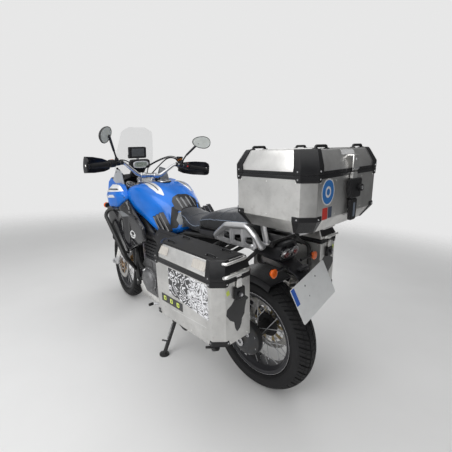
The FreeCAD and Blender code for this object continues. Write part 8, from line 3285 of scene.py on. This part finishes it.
@dataclass
class Saddle:
    """One upholstered seat, swelled by a cloth simulation and then sewn.

    A row is a place along it, half width, underside, top and corner radius.
    """

    name: str
    node: str
    rows: tuple[tuple[float, float, float, float, float], ...]
    dish: float
    cap: float = 7.0

    def section(self, row: Sequence[float], inset: float) -> np.ndarray:
        """Crowned cross-section at one row.

        Args:
            row: Its place along the pad, half width, low and high.
            inset: Distance inward.

        Returns:
            Its points.
        """
        x, half, low, high, _ = row
        wide, tall = half - inset, (high - low) / 2 - inset / 2
        shape = oval(wide, tall, 3.4, 64)
        crown = np.where(shape[:, 1] > 0, (shape[:, 0] / wide) ** 2 * self.dish, 0.0)
        tuck = np.where(shape[:, 1] < 0, 1 + 0.05 * shape[:, 1] / tall, 1.0)
        return np.column_stack([np.full(64, x), shape[:, 0] * tuck,
                                (low + high) / 2 + shape[:, 1] - crown])

    def form(self) -> bpy.types.Object:
        """Plain closed form of the pad, remeshed evenly.

        Returns:
            The object of the form.
        """
        rows = spline(self.rows, 22)
        rings = [self.section(row, 4.0) for row in rows]
        for share, pull in ((0, 5.0), (-1, 5.0)):
            edge = rings[share]
            middle = edge.mean(0)
            small = middle + (edge - middle) * (1 - 12.0 / np.ptp(edge[:, 1]) * 2)
            small[:, 0] += pull * (1 if share == 0 else -1) * math.copysign(1, rings[0][0, 0]
                                                                             - rings[-1][0, 0])
            rings = [small, *rings] if share == 0 else [*rings, small]
        stock = Stock().skin(rings, Coat.SEAT)
        mesh = bpy.data.meshes.new(self.name)
        place = np.array(PLACE)
        mesh.from_pydata((np.vstack(stock.points) @ place[:3, :3].T + place[:3, 3]).tolist(), [],
                         stock.faces)
        pad = bpy.data.objects.new(self.name, mesh)
        bpy.context.scene.collection.objects.link(pad)
        build = bmesh.new()
        build.from_mesh(mesh)
        bmesh.ops.recalc_face_normals(build, faces=build.faces)
        build.to_mesh(mesh)
        build.free()
        remesh = pad.modifiers.new("remesh", "REMESH")
        remesh.mode, remesh.voxel_size = "VOXEL", 0.0055
        self.apply(pad)
        return pad

    def apply(self, pad: bpy.types.Object) -> None:
        """Turn what the modifiers show into the pad's mesh.

        Args:
            pad: The cushion's object.
        """
        view = bpy.context.evaluated_depsgraph_get()
        shown = bpy.data.meshes.new_from_object(pad.evaluated_get(view))
        pad.modifiers.clear()
        old, pad.data = pad.data, shown
        bpy.data.meshes.remove(old)

    def swell(self, pad: bpy.types.Object) -> None:
        """Let air pressure fill the cover, its underside held to the base.

        Args:
            pad: The cushion's object.
        """
        count = len(pad.data.vertices)
        start = np.empty(count * 3)
        pad.data.vertices.foreach_get("co", start)
        start = start.reshape(-1, 3)
        place = np.array(PLACE.inverted())
        local = start @ place[:3, :3].T + place[:3, 3]
        rows = np.array(sorted(self.rows))
        low = np.interp(local[:, 0], rows[:, 0], rows[:, 2])
        held = smoothstep(local[:, 2] - low, 22.0, 6.0)
        group = pad.vertex_groups.new(name="held")
        for index in np.nonzero(held > 0)[0]:
            group.add([int(index)], float(held[index]), "REPLACE")
        cloth = pad.modifiers.new("cloth", "CLOTH")
        cloth.settings.use_pressure = True
        cloth.settings.uniform_pressure_force = 4.0
        cloth.settings.vertex_group_mass = "held"
        cloth.settings.tension_stiffness = cloth.settings.compression_stiffness = 12.0
        cloth.settings.effector_weights.gravity = 0.0
        cloth.point_cache.frame_start, cloth.point_cache.frame_end = 1, 20
        scene = bpy.context.scene
        for frame_number in range(1, 21):
            scene.frame_set(frame_number)
        self.apply(pad)
        scene.frame_set(1)
        swelled = np.empty(count * 3)
        pad.data.vertices.foreach_get("co", swelled)
        moved = swelled.reshape(-1, 3) - start
        size = np.linalg.norm(moved, axis=1, keepdims=True)
        limit = self.cap * MM
        scale = np.where(size > 1e-9, np.minimum(size, limit) / np.maximum(size, 1e-9), 1.0)
        pad.data.vertices.foreach_set("co", (start + moved * scale).ravel())

    def sew(self, pad: bpy.types.Object) -> None:
        """Piping along both edges, cross seams and the side cloth.

        Args:
            pad: The cushion's object.
        """
        place = np.array(PLACE.inverted())
        tree = BVHTree.FromObject(pad, bpy.context.evaluated_depsgraph_get())
        rows = spline(self.rows, 40)
        stock = Stock()
        edges = []
        for side in SIDES:
            line = []
            for x, half, low, high, _ in rows:
                target = PLACE @ Vector((x, side * (half - 3), high - 0.3 * (high - low)))
                hit, normal, _, _ = tree.find_nearest(target)
                spot = PLACE.inverted() @ (hit + normal * 0.0006)
                line.append(tuple(spot))
            edges.append(np.array(line))
            stock.tube(spline(line[1:-1], 120), 2.1, Coat.PIPING, 8)
        for share in (0.5,):
            row = rows[int(share * 39)]
            seam = []
            for across in np.linspace(-0.9, 0.9, 40):
                origin = PLACE @ Vector((row[0], across * row[1], row[3] + 60))
                down = (PLACE.to_3x3() @ Vector((0, 0, -1))).normalized()
                hit, normal, _, _ = tree.ray_cast(origin, down)
                if hit:
                    seam.append(tuple(PLACE.inverted() @ (hit + normal * 0.0002)))
            stock.tube(seam, 0.9, Coat.SEAT_SIDE, 6)
            for a, b in zip(seam[::1], seam[1::1]):
                middle = (np.array(a) + np.array(b)) / 2
                stock.rod(middle + (3.0, -1.6, 0.3), middle + (3.0, 1.6, 0.3), 0.5, Coat.PIPING, 5)
                stock.rod(middle + (-3.0, -1.6, 0.3), middle + (-3.0, 1.6, 0.3), 0.5, Coat.PIPING, 5)
        piping = Piece(self.name + "_piping", stock, Body.CHASSIS, "seat_cover").make()
        centres = np.array([p.center for p in pad.data.polygons])
        local = centres @ place[:3, :3].T + place[:3, 3]
        ordered = rows[np.argsort(rows[:, 0])]
        line_z = np.interp(local[:, 0], ordered[:, 0], ordered[:, 3] - 0.3 * (ordered[:, 3] - ordered[:, 2]))
        half = np.interp(local[:, 0], ordered[:, 0], ordered[:, 1])
        sides = (local[:, 2] < line_z - 1.0) | (np.abs(local[:, 1]) > half + 2)
        pad.data.materials.clear()
        pad.data.materials.append(Coat.SEAT.material)
        pad.data.materials.append(Coat.SEAT_SIDE.material)
        pad.data.polygons.foreach_set("material_index", sides.astype(int).tolist())

    def make(self) -> None:
        """Form, swell and sew the seat."""
        pad = self.form()
        self.swell(pad)
        self.sew(pad)
        pad.data.shade_smooth()
        smooth = pad.modifiers.new("smooth", "SUBSURF")
        smooth.levels = smooth.render_levels = 1
        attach(pad, Body.CHASSIS.value)
        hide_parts(self.node)
        LOG.info("%s: %d faces", self.name, len(pad.data.polygons))


@dataclass
class Seating:
    """Rider's and passenger's seats."""

    def make(self) -> None:
        """Build both seats."""
        Saddle("rider_saddle", "rider_seat",
               ((600, 84, 812, 914, 22), (545, 92, 812, 904, 22), (470, 120, 812, 886, 26),
                (390, 142, 812, 878, 28), (318, 148, 812, 902, 28)), 7.0).make()
        Saddle("passenger_saddle", "passenger_seat",
               ((314, 150, 845, 926, 28), (230, 148, 845, 950, 30), (80, 138, 850, 964, 30),
                (-40, 118, 862, 966, 26)), 5.0).make()


# Tail


@dataclass
class Tail:
    """Side covers, tail, lamps, blank plate, grab rail and mudguard trim."""

    carrier_z: float = 985.0

    def covers(self) -> None:
        """Dark side panels with a raised field and two screws each."""
        stock = Stock()
        rows = [(380, 800), (640, 812), (700, 760), (640, 640), (560, 560), (470, 640), (300, 720)]
        field_rows = [(400, 782), (630, 792), (668, 752), (618, 660), (560, 596), (486, 660),
                      (348, 728)]
        for side in SIDES:
            stock.prism(rows, *span(side, 191, 201), Coat.BLACK_PLASTIC,
                        [14, 14, 20, 20, 20, 20, 20], "Y", 6, 3)
            stock.prism(field_rows, *span(side, 199, 204), Coat.BLACK_PLASTIC, 14, "Y", 6, 3)
            for x, z in ((660, 760), (372, 760), (566, 600)):
                stock.bolt((x, side * 201, z), (0, side, 0), 6, Coat.DARK_STEEL, 2)
            stock.rod((560, side * 170, 700), (560, side * 192, 700), 9, Coat.BLACK_PLASTIC, 20)
        Piece("side_panels", stock, Body.CHASSIS, "black_plastic", ["side_covers"]).make()

    def tail(self) -> None:
        """Tail shell, plate arm, lamps and the blank white plate with a blue band."""
        stock = Stock()
        rows = spline([(40, 92, 790, 846), (-60, 88, 764, 848), (-130, 76, 756, 847),
                       (-168, 62, 752, 846)], 16)
        rings = []
        for x, half, low, high in rows:
            shape = oval(half, (high - low) / 2, 3.2, 40)
            rings.append(np.column_stack([np.full(40, x), shape[:, 0] * (1 + 0.0012 * shape[:, 1]),
                                          (low + high) / 2 + shape[:, 1]]))
        stock.skin(rings, Coat.BLACK_PLASTIC)
        spine = spline([(-60, 766), (-160, 758), (-250, 718), (-300, 640), (-326, 600)], 24)
        rings = []
        for k, (x, z) in enumerate(spine):
            half = np.interp(k / 23, [0, 0.4, 0.55, 1], [58, 52, 40, 26])
            x, z = (x, z) + np.array((6.0, -3.0)) * min(1.0, k / 8)
            ahead = spine[min(k + 1, 23)] - spine[max(k - 1, 0)]
            out = unit(np.array((ahead[1], -ahead[0])))
            shape = oval(half, 6.5, 3.0, 28)
            rings.append(np.column_stack([x + out[0] * shape[:, 1], shape[:, 0] + k,
                                          z + out[1] * shape[:, 1]]))
        stock.skin(rings, Coat.BLACK_PLASTIC)
        Piece("tail_shell", stock, Body.CHASSIS, "black_plastic", ["tail_unit"]).make()
        plate = Stock()
        centre, (yaw, pitch, roll) = np.array((-322.0, 26.0, 660.0)), (-0.076, 0.294, -0.272)
        out = np.array((-math.cos(yaw) * math.cos(pitch), -math.sin(yaw) * math.cos(pitch),
                        math.sin(pitch)))
        level = np.array((-math.sin(yaw), math.cos(yaw), 0.0))
        rise = np.cross(level, out)
        across = level * math.cos(roll) + rise * math.sin(roll)
        upward = rise * math.cos(roll) - level * math.sin(roll)

        def card(wide: tuple[float, float], high: tuple[float, float], lift: tuple[float, float],
                 coat: Coat, radius: float) -> None:
            """Flat rounded card on the plate's plane."""
            loop = rounded([(wide[0], high[0]), (wide[1], high[0]), (wide[1], high[1]),
                            (wide[0], high[1])], radius, 5)
            plate.skin([centre + np.outer(loop[:, 0], across) + np.outer(loop[:, 1], upward) + out * up
                        for up in lift], coat)
        card((-96, 96), (-58, 66), (-3.0, -0.4), Coat.BLACK_PLASTIC, 6)
        card((-130, 130), (-84, 84), (-0.2, 1.2), Coat.PLATE_WHITE, 7)
        card((105, 127), (4, 81), (1.25, 1.6), Coat.PLATE_BLUE, 3)
        for shift in (-40, 40):
            plate.bolt(centre + across * shift + upward * 52 + out, out, 4.2, Coat.STEEL, 1.6, False)
            plate.rod((-286, shift * 0.5, 654), centre + across * shift - out * 2, 6, Coat.BLACK_PLASTIC,
                      16)
        plate.box((-262, -34, 734), (-234, 34, 748), Coat.BLACK_PLASTIC, 6, 3)
        plate.box((-262, -26, 731.4), (-240, 26, 734.6), Coat.CLEAR_LENS, 4, 1)
        Piece("blank_plate", plate, Body.CHASSIS, "plate_alu").make()

    def lamps(self) -> None:
        """Twin clear tail lobes with red inners, and four amber indicators."""
        stock = Stock()
        for side in SIDES:
            a, b = np.array((-164.0, side * 32, 800)), np.array((-186.0, side * 33, 790))
            along = unit(b - a)
            stock.turned(rounded([(0, 0), (0, 29.5), (12, 29.5), (20, 23), (24, 10), (24.2, 0)],
                                 [0, 2, 6, 6, 3, 0], 4, False), a, Coat.CLEAR_LENS, 48, tuple(along))
            stock.turned([(-2, 30), (-2, 31.6), (6, 31.6), (6, 30)], a, Coat.GLOSS_BLACK, 48,
                         tuple(along), True)
            stock.turned([(9, 28), (4, 25), (1.5, 14), (1, 0.1)], a, Coat.REFLECTOR, 48, tuple(along))
            stock.turned([(1, 23), (13, 18), (13, 15), (4, 14)], a, Coat.STEEL, 32, tuple(along), True)
            for k in range(9):
                turn = 2 * math.pi * k / 8
                radius = 0 if k == 8 else 9.5
                side_way, up_way, _ = frame_of(along)
                at = a + along * 10 + (side_way * math.cos(turn) + up_way * math.sin(turn)) * radius
                stock.rod(at, at + along * 5, 2.8, Coat.RED_LENS, 14, 1)
        stock.prism([(-170, 772), (-158, 828), (-150, 828), (-158, 772)], -64, 64, Coat.GLOSS_BLACK, 2,
                    "Y", 3, 2)
        Piece("tail_lobes", stock, Body.CHASSIS, "lens", ["tail_lamp"]).make()
        blink = Stock()
        for side in SIDES:
            for middle, reach, way in (((-197, 160, 748), -1.0, (-196, 58, 748)),
                                       ((1322, 228, 874), 1.0, (1306, 206, 872))):
                centre = on_side(middle, side)
                root = on_side(way, side)
                toward = unit(centre - root)
                blink.tube([root, root + (centre - root) * 0.5, centre - toward * 16], [7, 5.6, 6.6],
                           Coat.BLACK_PLASTIC, 16)
                blink.rod(centre - toward * 24, centre - toward * 10, 9.0, Coat.BLACK_PLASTIC, 20, 3)
                for back, front, radius, coat in ((-13.5, -3, 20.4, Coat.BLACK_PLASTIC),
                                                  (-3, 13, 21.5, Coat.AMBER)):
                    flare = rounded([(back, 0), (back, radius * (0.72 if back < 0 else 1)), (front, radius),
                                     (front + (2 if front > 5 else 0), radius - 7), (front + 2, 0)],
                                    [0, 4, 2, 3, 0], 4, False)
                    blink.turned([(x * reach, r) for x, r in flare], centre, coat, 40, (1, 0, 0))
        Piece("indicator_lamps", blink, Body.CHASSIS, "lens", ["indicators"]).make()

    def rail(self) -> None:
        """Cast grab handles, carrier plate with slots, and the struts below it."""
        stock = Stock()
        for side in SIDES:
            arch = [(160.0, 150, 842), (124, 196, 868), (30, 214, 934), (-104, 214, 950), (-150, 210, 906),
                    (-164, 198, 862), (-126, 136, 848)]
            line = rounded([on_side(p, side) for p in arch], 40.0, 10, False)
            stock.tube(line, [11, 12, 14, 15, 15, 15, 14, 13, 12], Coat.CAST_SILVER, steps=24)
            link = rounded([on_side(p, side) for p in
                            [(-96, 212, 950), (-140, 204, 966), (-215, 176, 975), (-216, 150, 985)]],
                           24.0, 8, False)
            stock.tube(link, 8.5, Coat.FRAME_BLACK, 20)
            stock.tube(rounded([(170, side * 112, 842), (165, side * 140, 842), (140, side * 170, 850)],
                               12, 6, False), 9, Coat.CAST_SILVER, 20)
            stock.prism([(120, 836), (176, 836), (176, 852), (150, 866), (120, 866)],
                        *span(side, 132, 148), Coat.CAST_SILVER, 5, "Y", 4, 3)
            stock.bolt((160, side * 148, 846), (0, side, 0), 6.5, Coat.STEEL, 4)
            stock.tube([(-120, side * 104, 851), (-126, side * 132, 920), (-130, side * 150, self.carrier_z)],
                       13, Coat.CAST_SILVER, 24, 20)
            stock.rod((-120, side * 104, 851), (-121, side * 107, 862), 18, Coat.CAST_SILVER, 28, 3)
        stock.rod((-130, -206, 962), (-130, 206, 962), 9, Coat.FRAME_BLACK, 24)
        deck = rounded([(-98, -150), (-98, 150), (-330, 150), (-330, -150)], 28, 8)
        slots = [rounded([(x, y - 34), (x, y + 34), (x - 30, y + 34), (x - 30, y - 34)], 12, 5)
                 for x in (-130, -190, -250) for y in (-92, 0, 92)]
        z = self.carrier_z

        def top(flat: np.ndarray) -> np.ndarray:
            """Top face of the deck."""
            return np.column_stack([flat, np.full(len(flat), z + 8.0)])

        def under(flat: np.ndarray) -> np.ndarray:
            """Underside of the deck."""
            return np.column_stack([flat, np.full(len(flat), z)])
        stock.sheet(deck, top, Coat.CORNER_BLACK, 30.0, under, holes=slots)
        for side in SIDES:
            wing = [(150, 842), (138, 872), (96, 900), (30, 922), (-70, 932), (-120, 908), (-140, 868),
                    (-120, 842), (-40, 838), (60, 836)]
            holes = [rounded([(x + 24, 858), (x + 16, 888), (x - 24, 896), (x - 30, 858)], 8, 4)
                     for x in (64, -10, -82)]
            outer_y, inner_y = side * 186.0, side * 178.0
            stock.sheet(rounded(wing, 16, 5),
                        lambda flat, y=outer_y: np.column_stack([flat[:, 0], np.full(len(flat), y),
                                                                 flat[:, 1]]), Coat.CAST_SILVER, 26.0,
                        lambda flat, y=inner_y: np.column_stack([flat[:, 0], np.full(len(flat), y),
                                                                 flat[:, 1]]), holes=holes)
            for x, high in ((112, 886), (26, 916), (-48, 922), (-118, 894)):
                stock.prism(box_loop(x - 4, 842, x + 4, high),
                            *span(side, 185, 194), Coat.CAST_SILVER, 2.0, "Y", 3, 2.0)
            for x in (130, -104):
                stock.rod((x, side * 120, 852), (x, side * 190, 852), 12, Coat.CAST_SILVER, 28, 2)
                stock.bolt((x, side * 190, 852), (0, side, 0), 8, Coat.STEEL, 5)
            skirt = [(316, 822), (322, 850), (60, 862), (40, 846), (70, 832)]
            stock.prism(skirt, *span(side, 126, 146), Coat.BLACK_PLASTIC, 8.0, "Y", 5, 4.0)
        Piece("carrier_rail", stock, Body.CHASSIS, "silver_paint", ["grab_rail"], bevel=0.8).make()

    def make(self) -> None:
        """Build the tail and what it carries."""
        self.covers()
        self.tail()
        self.lamps()
        self.rail()


# Frame fittings


@dataclass
class Fittings:
    """Bolts, springs, rubbers, welds and ties on the frame, stands and racks."""

    def bars(self) -> None:
        """Second crash-bar tube, clamps and weld beads."""
        stock = Stock()
        for side in SIDES:
            inner = [(1082, 150, 400), (1030, 246, 540), (1200, 268, 800), (1080, 126, 800)]
            stock.tube([on_side(p, side) for p in inner], 8.0, Coat.FRAME_BLACK, 20, 40)
            for a, b in (((1060, 218, 556), (1046, 250, 575)), ((1150, 262, 712), (1166, 277, 726))):
                stock.rod(on_side(a, side), on_side(b, side), 7, Coat.FRAME_BLACK, 16)
            for x, y, z, r in ((1082, 156, 400, 12.5), (1076, 128, 862, 12.5)):
                at = np.array((x, side * y, z), float)
                stock.rod(at - (0, side * 6, 0), at + (0, side * 12, 0), r + 4.5, Coat.FRAME_BLACK, 28, 2)
                stock.bolt(at + (0, side * 12, 0), (0, side, 0), 7, Coat.STEEL, 4)
        Piece("crash_bar_ties", stock, Body.CHASSIS, "frame_black").make()

    def frame_bits(self) -> None:
        """Weld beads, engine bolts, peg rubbers, battery box and cable ties."""
        stock = Stock()
        for side in SIDES:
            for x, y, z, way in ((592, 184, 440, (0.1, 0, 1)), (800, 168, 765, (1, 0.1, 0.5)),
                                 (1092, 118, 700, (0.5, 0.2, 1)), (470, 122, 792, (1, -0.2, 0.2)),
                                 (100, 112, 832, (1, 0, 0.1))):
                r = 17.6 if x > 580 else 12.6
                stock.turned([(-3, r), (-1.5, r + 1.2), (1.5, r + 1.2), (3, r)], (x, side * y, z),
                             Coat.FRAME_BLACK, 32, way, True)
            for x, z in ((600, 300), (830, 778), (1058, 330), (560, 262), (500, 232), (594, 430)):
                y = {600: 190, 830: 167, 1058: 168}.get(x, 190.4)
                stock.bolt((x, side * y, z), (0, side, 0), 7.5, Coat.STEEL, 5)
                stock.turned([(0, 9.5), (side * 1.4, 9.5), (side * 1.4, 7)], (x, side * y, z), Coat.STEEL, 24)
            for k in range(7):
                x = 485 + k * 6.4
                stock.box((x, min(side * 222, side * 280), 333.4), (x + 3.4, max(side * 222, side * 280),
                                                                   338.5), Coat.MAT_RUBBER, 1, 1)
            rubber = []
            for k in range(9):
                rubber += [(side * (2 + k * 6.6), 13.4), (side * (4 + k * 6.6), 15),
                           (side * (7 + k * 6.6), 15),
                           (side * (8 + k * 6.6), 13.4)]
            stock.turned(rubber, (300, side * 202, 450), Coat.MAT_RUBBER, 28)
        stock.box((420, -90, 640), (560, 90, 790), Coat.BLACK_PLASTIC, 10, 4)
        stock.box((600, -120, 700), (740, 120, 800), Coat.BLACK_PLASTIC, 16, 6)
        stock.rod((672, 266, 318), (673, 296, 319), 9.5, Coat.MAT_RUBBER, 20, 2)
        stock.box((672, -292, 302), (704, -262, 315), Coat.STEEL, 4, 2)
        Piece("frame_fittings", stock, Body.CHASSIS, "frame_black").make()

    def skid(self) -> None:
        """Bolts and pressed ribs of the skid plate."""
        stock = Stock()
        for y in (-80, -40, 0, 40, 80):
            stock.prism(box_loop(700, 187.6, 1060, 190.6), y - 7, y + 7,
                        Coat.BRIGHT_ALU_AND_TOP_LIGHT, 1.2)
        for side in SIDES:
            for x, z in ((700, 212), (960, 218), (1100, 330)):
                stock.bolt((x, side * 124, z), (0, side, 0), 6.5, Coat.STEEL, 3.5)
        Piece("skid_ribs", stock, Body.CHASSIS, "plate_alu").make()

    def stands(self) -> None:
        """Return springs and pads of both stands."""
        stock = Stock()
        pivot = np.array((505.0, 214.0, 252.0))
        foot_z = (292.0 * math.sin(LEAN) - WORLD_DROP) / math.cos(LEAN)
        foot = np.array((540.0, 292.0, foot_z))
        leg = unit(foot - pivot)
        start, stop = pivot + leg * 26 + (0, 16, 0), pivot + leg * 128 + (0, 15, 0)
        coil = []
        side, up, along = frame_of(stop - start)
        for t in np.linspace(0, 1, 200):
            turn = t * 16 * 2 * math.pi
            coil.append(start + (stop - start) * t + 5.2 * (side * math.cos(turn) + up * math.sin(turn)))
        stock.tube(coil, 1.5, Coat.STEEL, 8)
        for end in (start, stop):
            stock.rod(end - (0, 12, 0), end + (0, 4, 0), 4, Coat.STEEL, 14, 0.8)
        stock.rod(foot + (0, 0, 9.2), foot + (0, 0, 12.6), 16, Coat.FRAME_BLACK, 24, 1.5)
        Piece("side_stand_spring", stock, Body.SIDE_STAND, "frame_black").make()
        centre = Stock()
        for side_sign in SIDES:
            start = np.array((428.0, side_sign * 112, 208.0))
            stop = np.array((300.0, side_sign * 124, 199.0))
            coil = []
            side, up, along = frame_of(stop - start)
            for t in np.linspace(0, 1, 220):
                turn = t * 18 * 2 * math.pi
                coil.append(start + (stop - start) * t + 5.5 * (side * math.cos(turn) + up * math.sin(turn)))
            centre.tube(coil, 1.5, Coat.STEEL, 8)
            centre.rod(stop - (0, side_sign * 6, 0), stop + (0, side_sign * 14, 0), 4, Coat.STEEL, 14)
        Piece("centre_stand_springs", centre, Body.CENTRE_STAND, "frame_black").make()

    def racks(self) -> None:
        """Turn-lock knobs and rubbers of the side racks."""
        stock = Stock()
        for side in SIDES:
            for x in (200, -60):
                for z in (560, 760):
                    at = np.array((x, side * 266, z), float)
                    stock.turned([(side * -1, 9.2), (side * -1, 12), (side * 1, 12), (side * 1, 9.2)], at,
                                 Coat.MAT_RUBBER, 24, loop=True)
            for a, b in (((130, 112, 829), (150, 130, 824)), ((-110, 100, 848), (-106, 118, 842))):
                a, b = on_side(a, side), on_side(b, side)
                stock.rod(a, b, 13.0, Coat.FRAME_BLACK, 24, 2)
        Piece("rack_fittings", stock, Body.CHASSIS, "frame_black").make()

    def make(self) -> None:
        """Add every fitting."""
        self.bars()
        self.frame_bits()
        self.skid()
        self.stands()
        self.racks()


# Kept nodes


NODE_COATS = {
    "frame": Coat.FRAME_BLACK, "crash_bars": Coat.FRAME_BLACK, "pannier_racks": Coat.FRAME_BLACK,
    "side_stand": Coat.FRAME_BLACK, "centre_stand": Coat.FRAME_BLACK, "swingarm": Coat.ENGINE_DARK,
    "final_drive": Coat.ENGINE_DARK, "skid_plate": Coat.BRIGHT_ALU_AND_TOP_LIGHT, "exhaust": Coat.EXHAUST,
    "engine": Coat.ENGINE, "fork": Coat.CAST_SILVER, "front_axle": Coat.STEEL,
    "rear_axle": Coat.STEEL, "front_calipers": Coat.BRONZE, "rear_caliper": Coat.BRONZE,
    "fuel_tank": Coat.BLUE, "side_cowls": Coat.BLUE, "side_scoops": Coat.GLOSS_BLACK,
    "tank_side_panels": Coat.SILVER, "windscreen": Coat.SCREEN, "rear_tyre": Coat.TYRE,
    "front_tyre": Coat.TYRE, "rear_wheel": Coat.RIM_BLACK, "front_wheel": Coat.RIM_BLACK,
    "rear_disc": Coat.REAR_DISC, "front_discs": Coat.FRONT_DISC, "grab_rail": Coat.CAST_SILVER,
    "handlebar": Coat.BAR_ALU, "rider_seat": Coat.SEAT, "passenger_seat": Coat.SEAT,
    "tail_lamp": Coat.CLEAR_LENS, "indicators": Coat.AMBER, "foot_levers": Coat.BAR_ALU,
    "radiator": Coat.CORE, "headlight": Coat.CLEAR_LENS,
}


def dress_nodes(nodes: dict[str, bpy.types.Object]) -> None:
    """Give each carried-over node its finish, smooth shading and softened edges.

    Args:
        nodes: The nodes of the frame file.
    """
    for name, node in nodes.items():
        coat = NODE_COATS.get(name, Coat.BLACK_PLASTIC)
        node.data.materials.clear()
        node.data.materials.append(coat.material)
        weld = node.modifiers.new("weld", "WELD")
        weld.merge_threshold = 0.00002
        node.data.shade_smooth()
        node.data.set_sharp_from_angle(angle=math.radians(32.0))
        bevel = node.modifiers.new("edges", "BEVEL")
        bevel.width, bevel.segments = 0.0008, 2
        bevel.limit_method, bevel.angle_limit = "ANGLE", math.radians(40.0)
        bevel.harden_normals = True


PARTS: list[type] = [SideCases, TopCase, FuelTank, SideFairing, Nose, Wheels, FrontFork, Bars,
                     Powertrain, Seating, Tail, Fittings]


# Stage


@dataclass
class Studio:
    """Floor, soft lamps and the camera at the photograph's place."""

    eye: tuple[float, float, float] = (-0.969 - ORIGIN_X * MM, 1.25 - ORIGIN_Y * MM, 1.173)
    yaw_deg: float = -43.76
    pitch_deg: float = -10.89
    roll_deg: float = 2.38
    focal_share: float = 309.4 / 452.0

    def camera(self) -> None:
        """Set the camera to the fitted view."""
        yaw, pitch, roll = (math.radians(v) for v in (self.yaw_deg, self.pitch_deg, self.roll_deg))
        forward = Vector((math.cos(yaw) * math.cos(pitch), math.sin(yaw) * math.cos(pitch),
                          math.sin(pitch)))
        level = Vector((math.sin(yaw), -math.cos(yaw), 0.0))
        upright = level.cross(forward)
        right = level * math.cos(roll) + upright * math.sin(roll)
        up = upright * math.cos(roll) - level * math.sin(roll)
        data = bpy.data.cameras.new("view")
        data.sensor_width = 36.0
        data.lens = 36.0 * self.focal_share
        data.clip_start, data.clip_end = 0.02, 60.0
        camera = bpy.data.objects.new("view", data)
        bpy.context.scene.collection.objects.link(camera)
        camera.matrix_world = Matrix((
            (right.x, up.x, -forward.x, self.eye[0]), (right.y, up.y, -forward.y, self.eye[1]),
            (right.z, up.z, -forward.z, self.eye[2]), (0.0, 0.0, 0.0, 1.0)))
        bpy.context.scene.camera = camera

    def floor(self) -> None:
        """Pale floor that runs out of sight."""
        mesh = bpy.data.meshes.new("floor")
        half = 14.0
        mesh.from_pydata([(-half, -half, 0), (half, -half, 0), (half, half, 0), (-half, half, 0)],
                         [], [(0, 1, 2, 3)])
        bench = Bench("floor_pale")
        grain = bench.noise(3.0, 4.0)
        east, north = bench.axis("X"), bench.axis("Y")
        far = ((east * east + north * north) ** 0.5).ramp(2.6, 6.5)
        bench.set(Base_Color=bench.mix(grain, (0.76, 0.757, 0.75), (0.81, 0.807, 0.8)),
                  Roughness=0.72 + grain * 0.1, Alpha=1.0 - far)
        mesh.materials.append(bench.material)
        floor = bpy.data.objects.new("floor", mesh)
        bpy.context.scene.collection.objects.link(floor)

    def lamp(self, name: str, at: Point, aim: Point, size: float, power: float) -> None:
        """One soft area lamp.

        Args:
            name: Its name.
            at: Its place.
            aim: The point that it faces.
            size: Side of its square.
            power: Its power in watts.
        """
        data = bpy.data.lights.new(name, "AREA")
        data.size, data.energy = size, power
        lamp = bpy.data.objects.new(name, data)
        lamp.location = at
        lamp.rotation_euler = (Vector(aim) - Vector(at)).to_track_quat("-Z", "Y").to_euler()
        bpy.context.scene.collection.objects.link(lamp)

    def make(self) -> None:
        """Build the whole stage."""
        scene = bpy.context.scene
        scene.view_settings.view_transform = "Standard"
        world = bpy.data.worlds.new("room")
        scene.world = world
        world.use_nodes = True
        tree = world.node_tree
        soft = tree.nodes["Background"]
        soft.inputs[0].default_value = (0.86, 0.87, 0.88, 1.0)
        ways, apart = tree.nodes.new("ShaderNodeTexCoord"), tree.nodes.new("ShaderNodeVectorMath")
        apart.operation, apart.inputs[1].default_value = "DOT_PRODUCT", (0.45, 0.8, 0.4)
        room = tree.nodes.new("ShaderNodeMapRange")
        for index, value in enumerate((-0.8, 0.8, 0.14, 0.6), 1):
            room.inputs[index].default_value = value
        tree.links.new(ways.outputs["Generated"], apart.inputs[0])
        tree.links.new(apart.outputs["Value"], room.inputs[0])
        tree.links.new(room.outputs[0], soft.inputs[1])
        pale = tree.nodes.new("ShaderNodeBackground")
        pale.inputs[0].default_value = (0.8, 0.8, 0.8, 1.0)
        path, share = tree.nodes.new("ShaderNodeLightPath"), tree.nodes.new("ShaderNodeMixShader")
        tree.links.new(path.outputs["Is Camera Ray"], share.inputs[0])
        tree.links.new(soft.outputs[0], share.inputs[1])
        tree.links.new(pale.outputs[0], share.inputs[2])
        tree.links.new(share.outputs[0], tree.nodes["World Output"].inputs[0])
        self.camera()
        self.floor()
        self.lamp("ceiling", (-0.4, 0.6, 3.4), (0.0, 0.0, 0.6), 4.0, 58.0)
        self.lamp("window", (-0.9, 3.4, 2.3), (-0.2, 0.0, 0.7), 2.4, 66.0)
        self.lamp("fill", (1.8, -2.6, 2.0), (0.2, 0.0, 0.6), 2.2, 22.0)


def main() -> None:
    """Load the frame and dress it."""
    logging.basicConfig(level=logging.INFO, format="%(name)s: %(message)s")
    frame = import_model()
    Studio().make()
    dress_nodes(frame["nodes"])
    for part in PARTS:
        part().make()


if __name__ == "__main__":
    main()
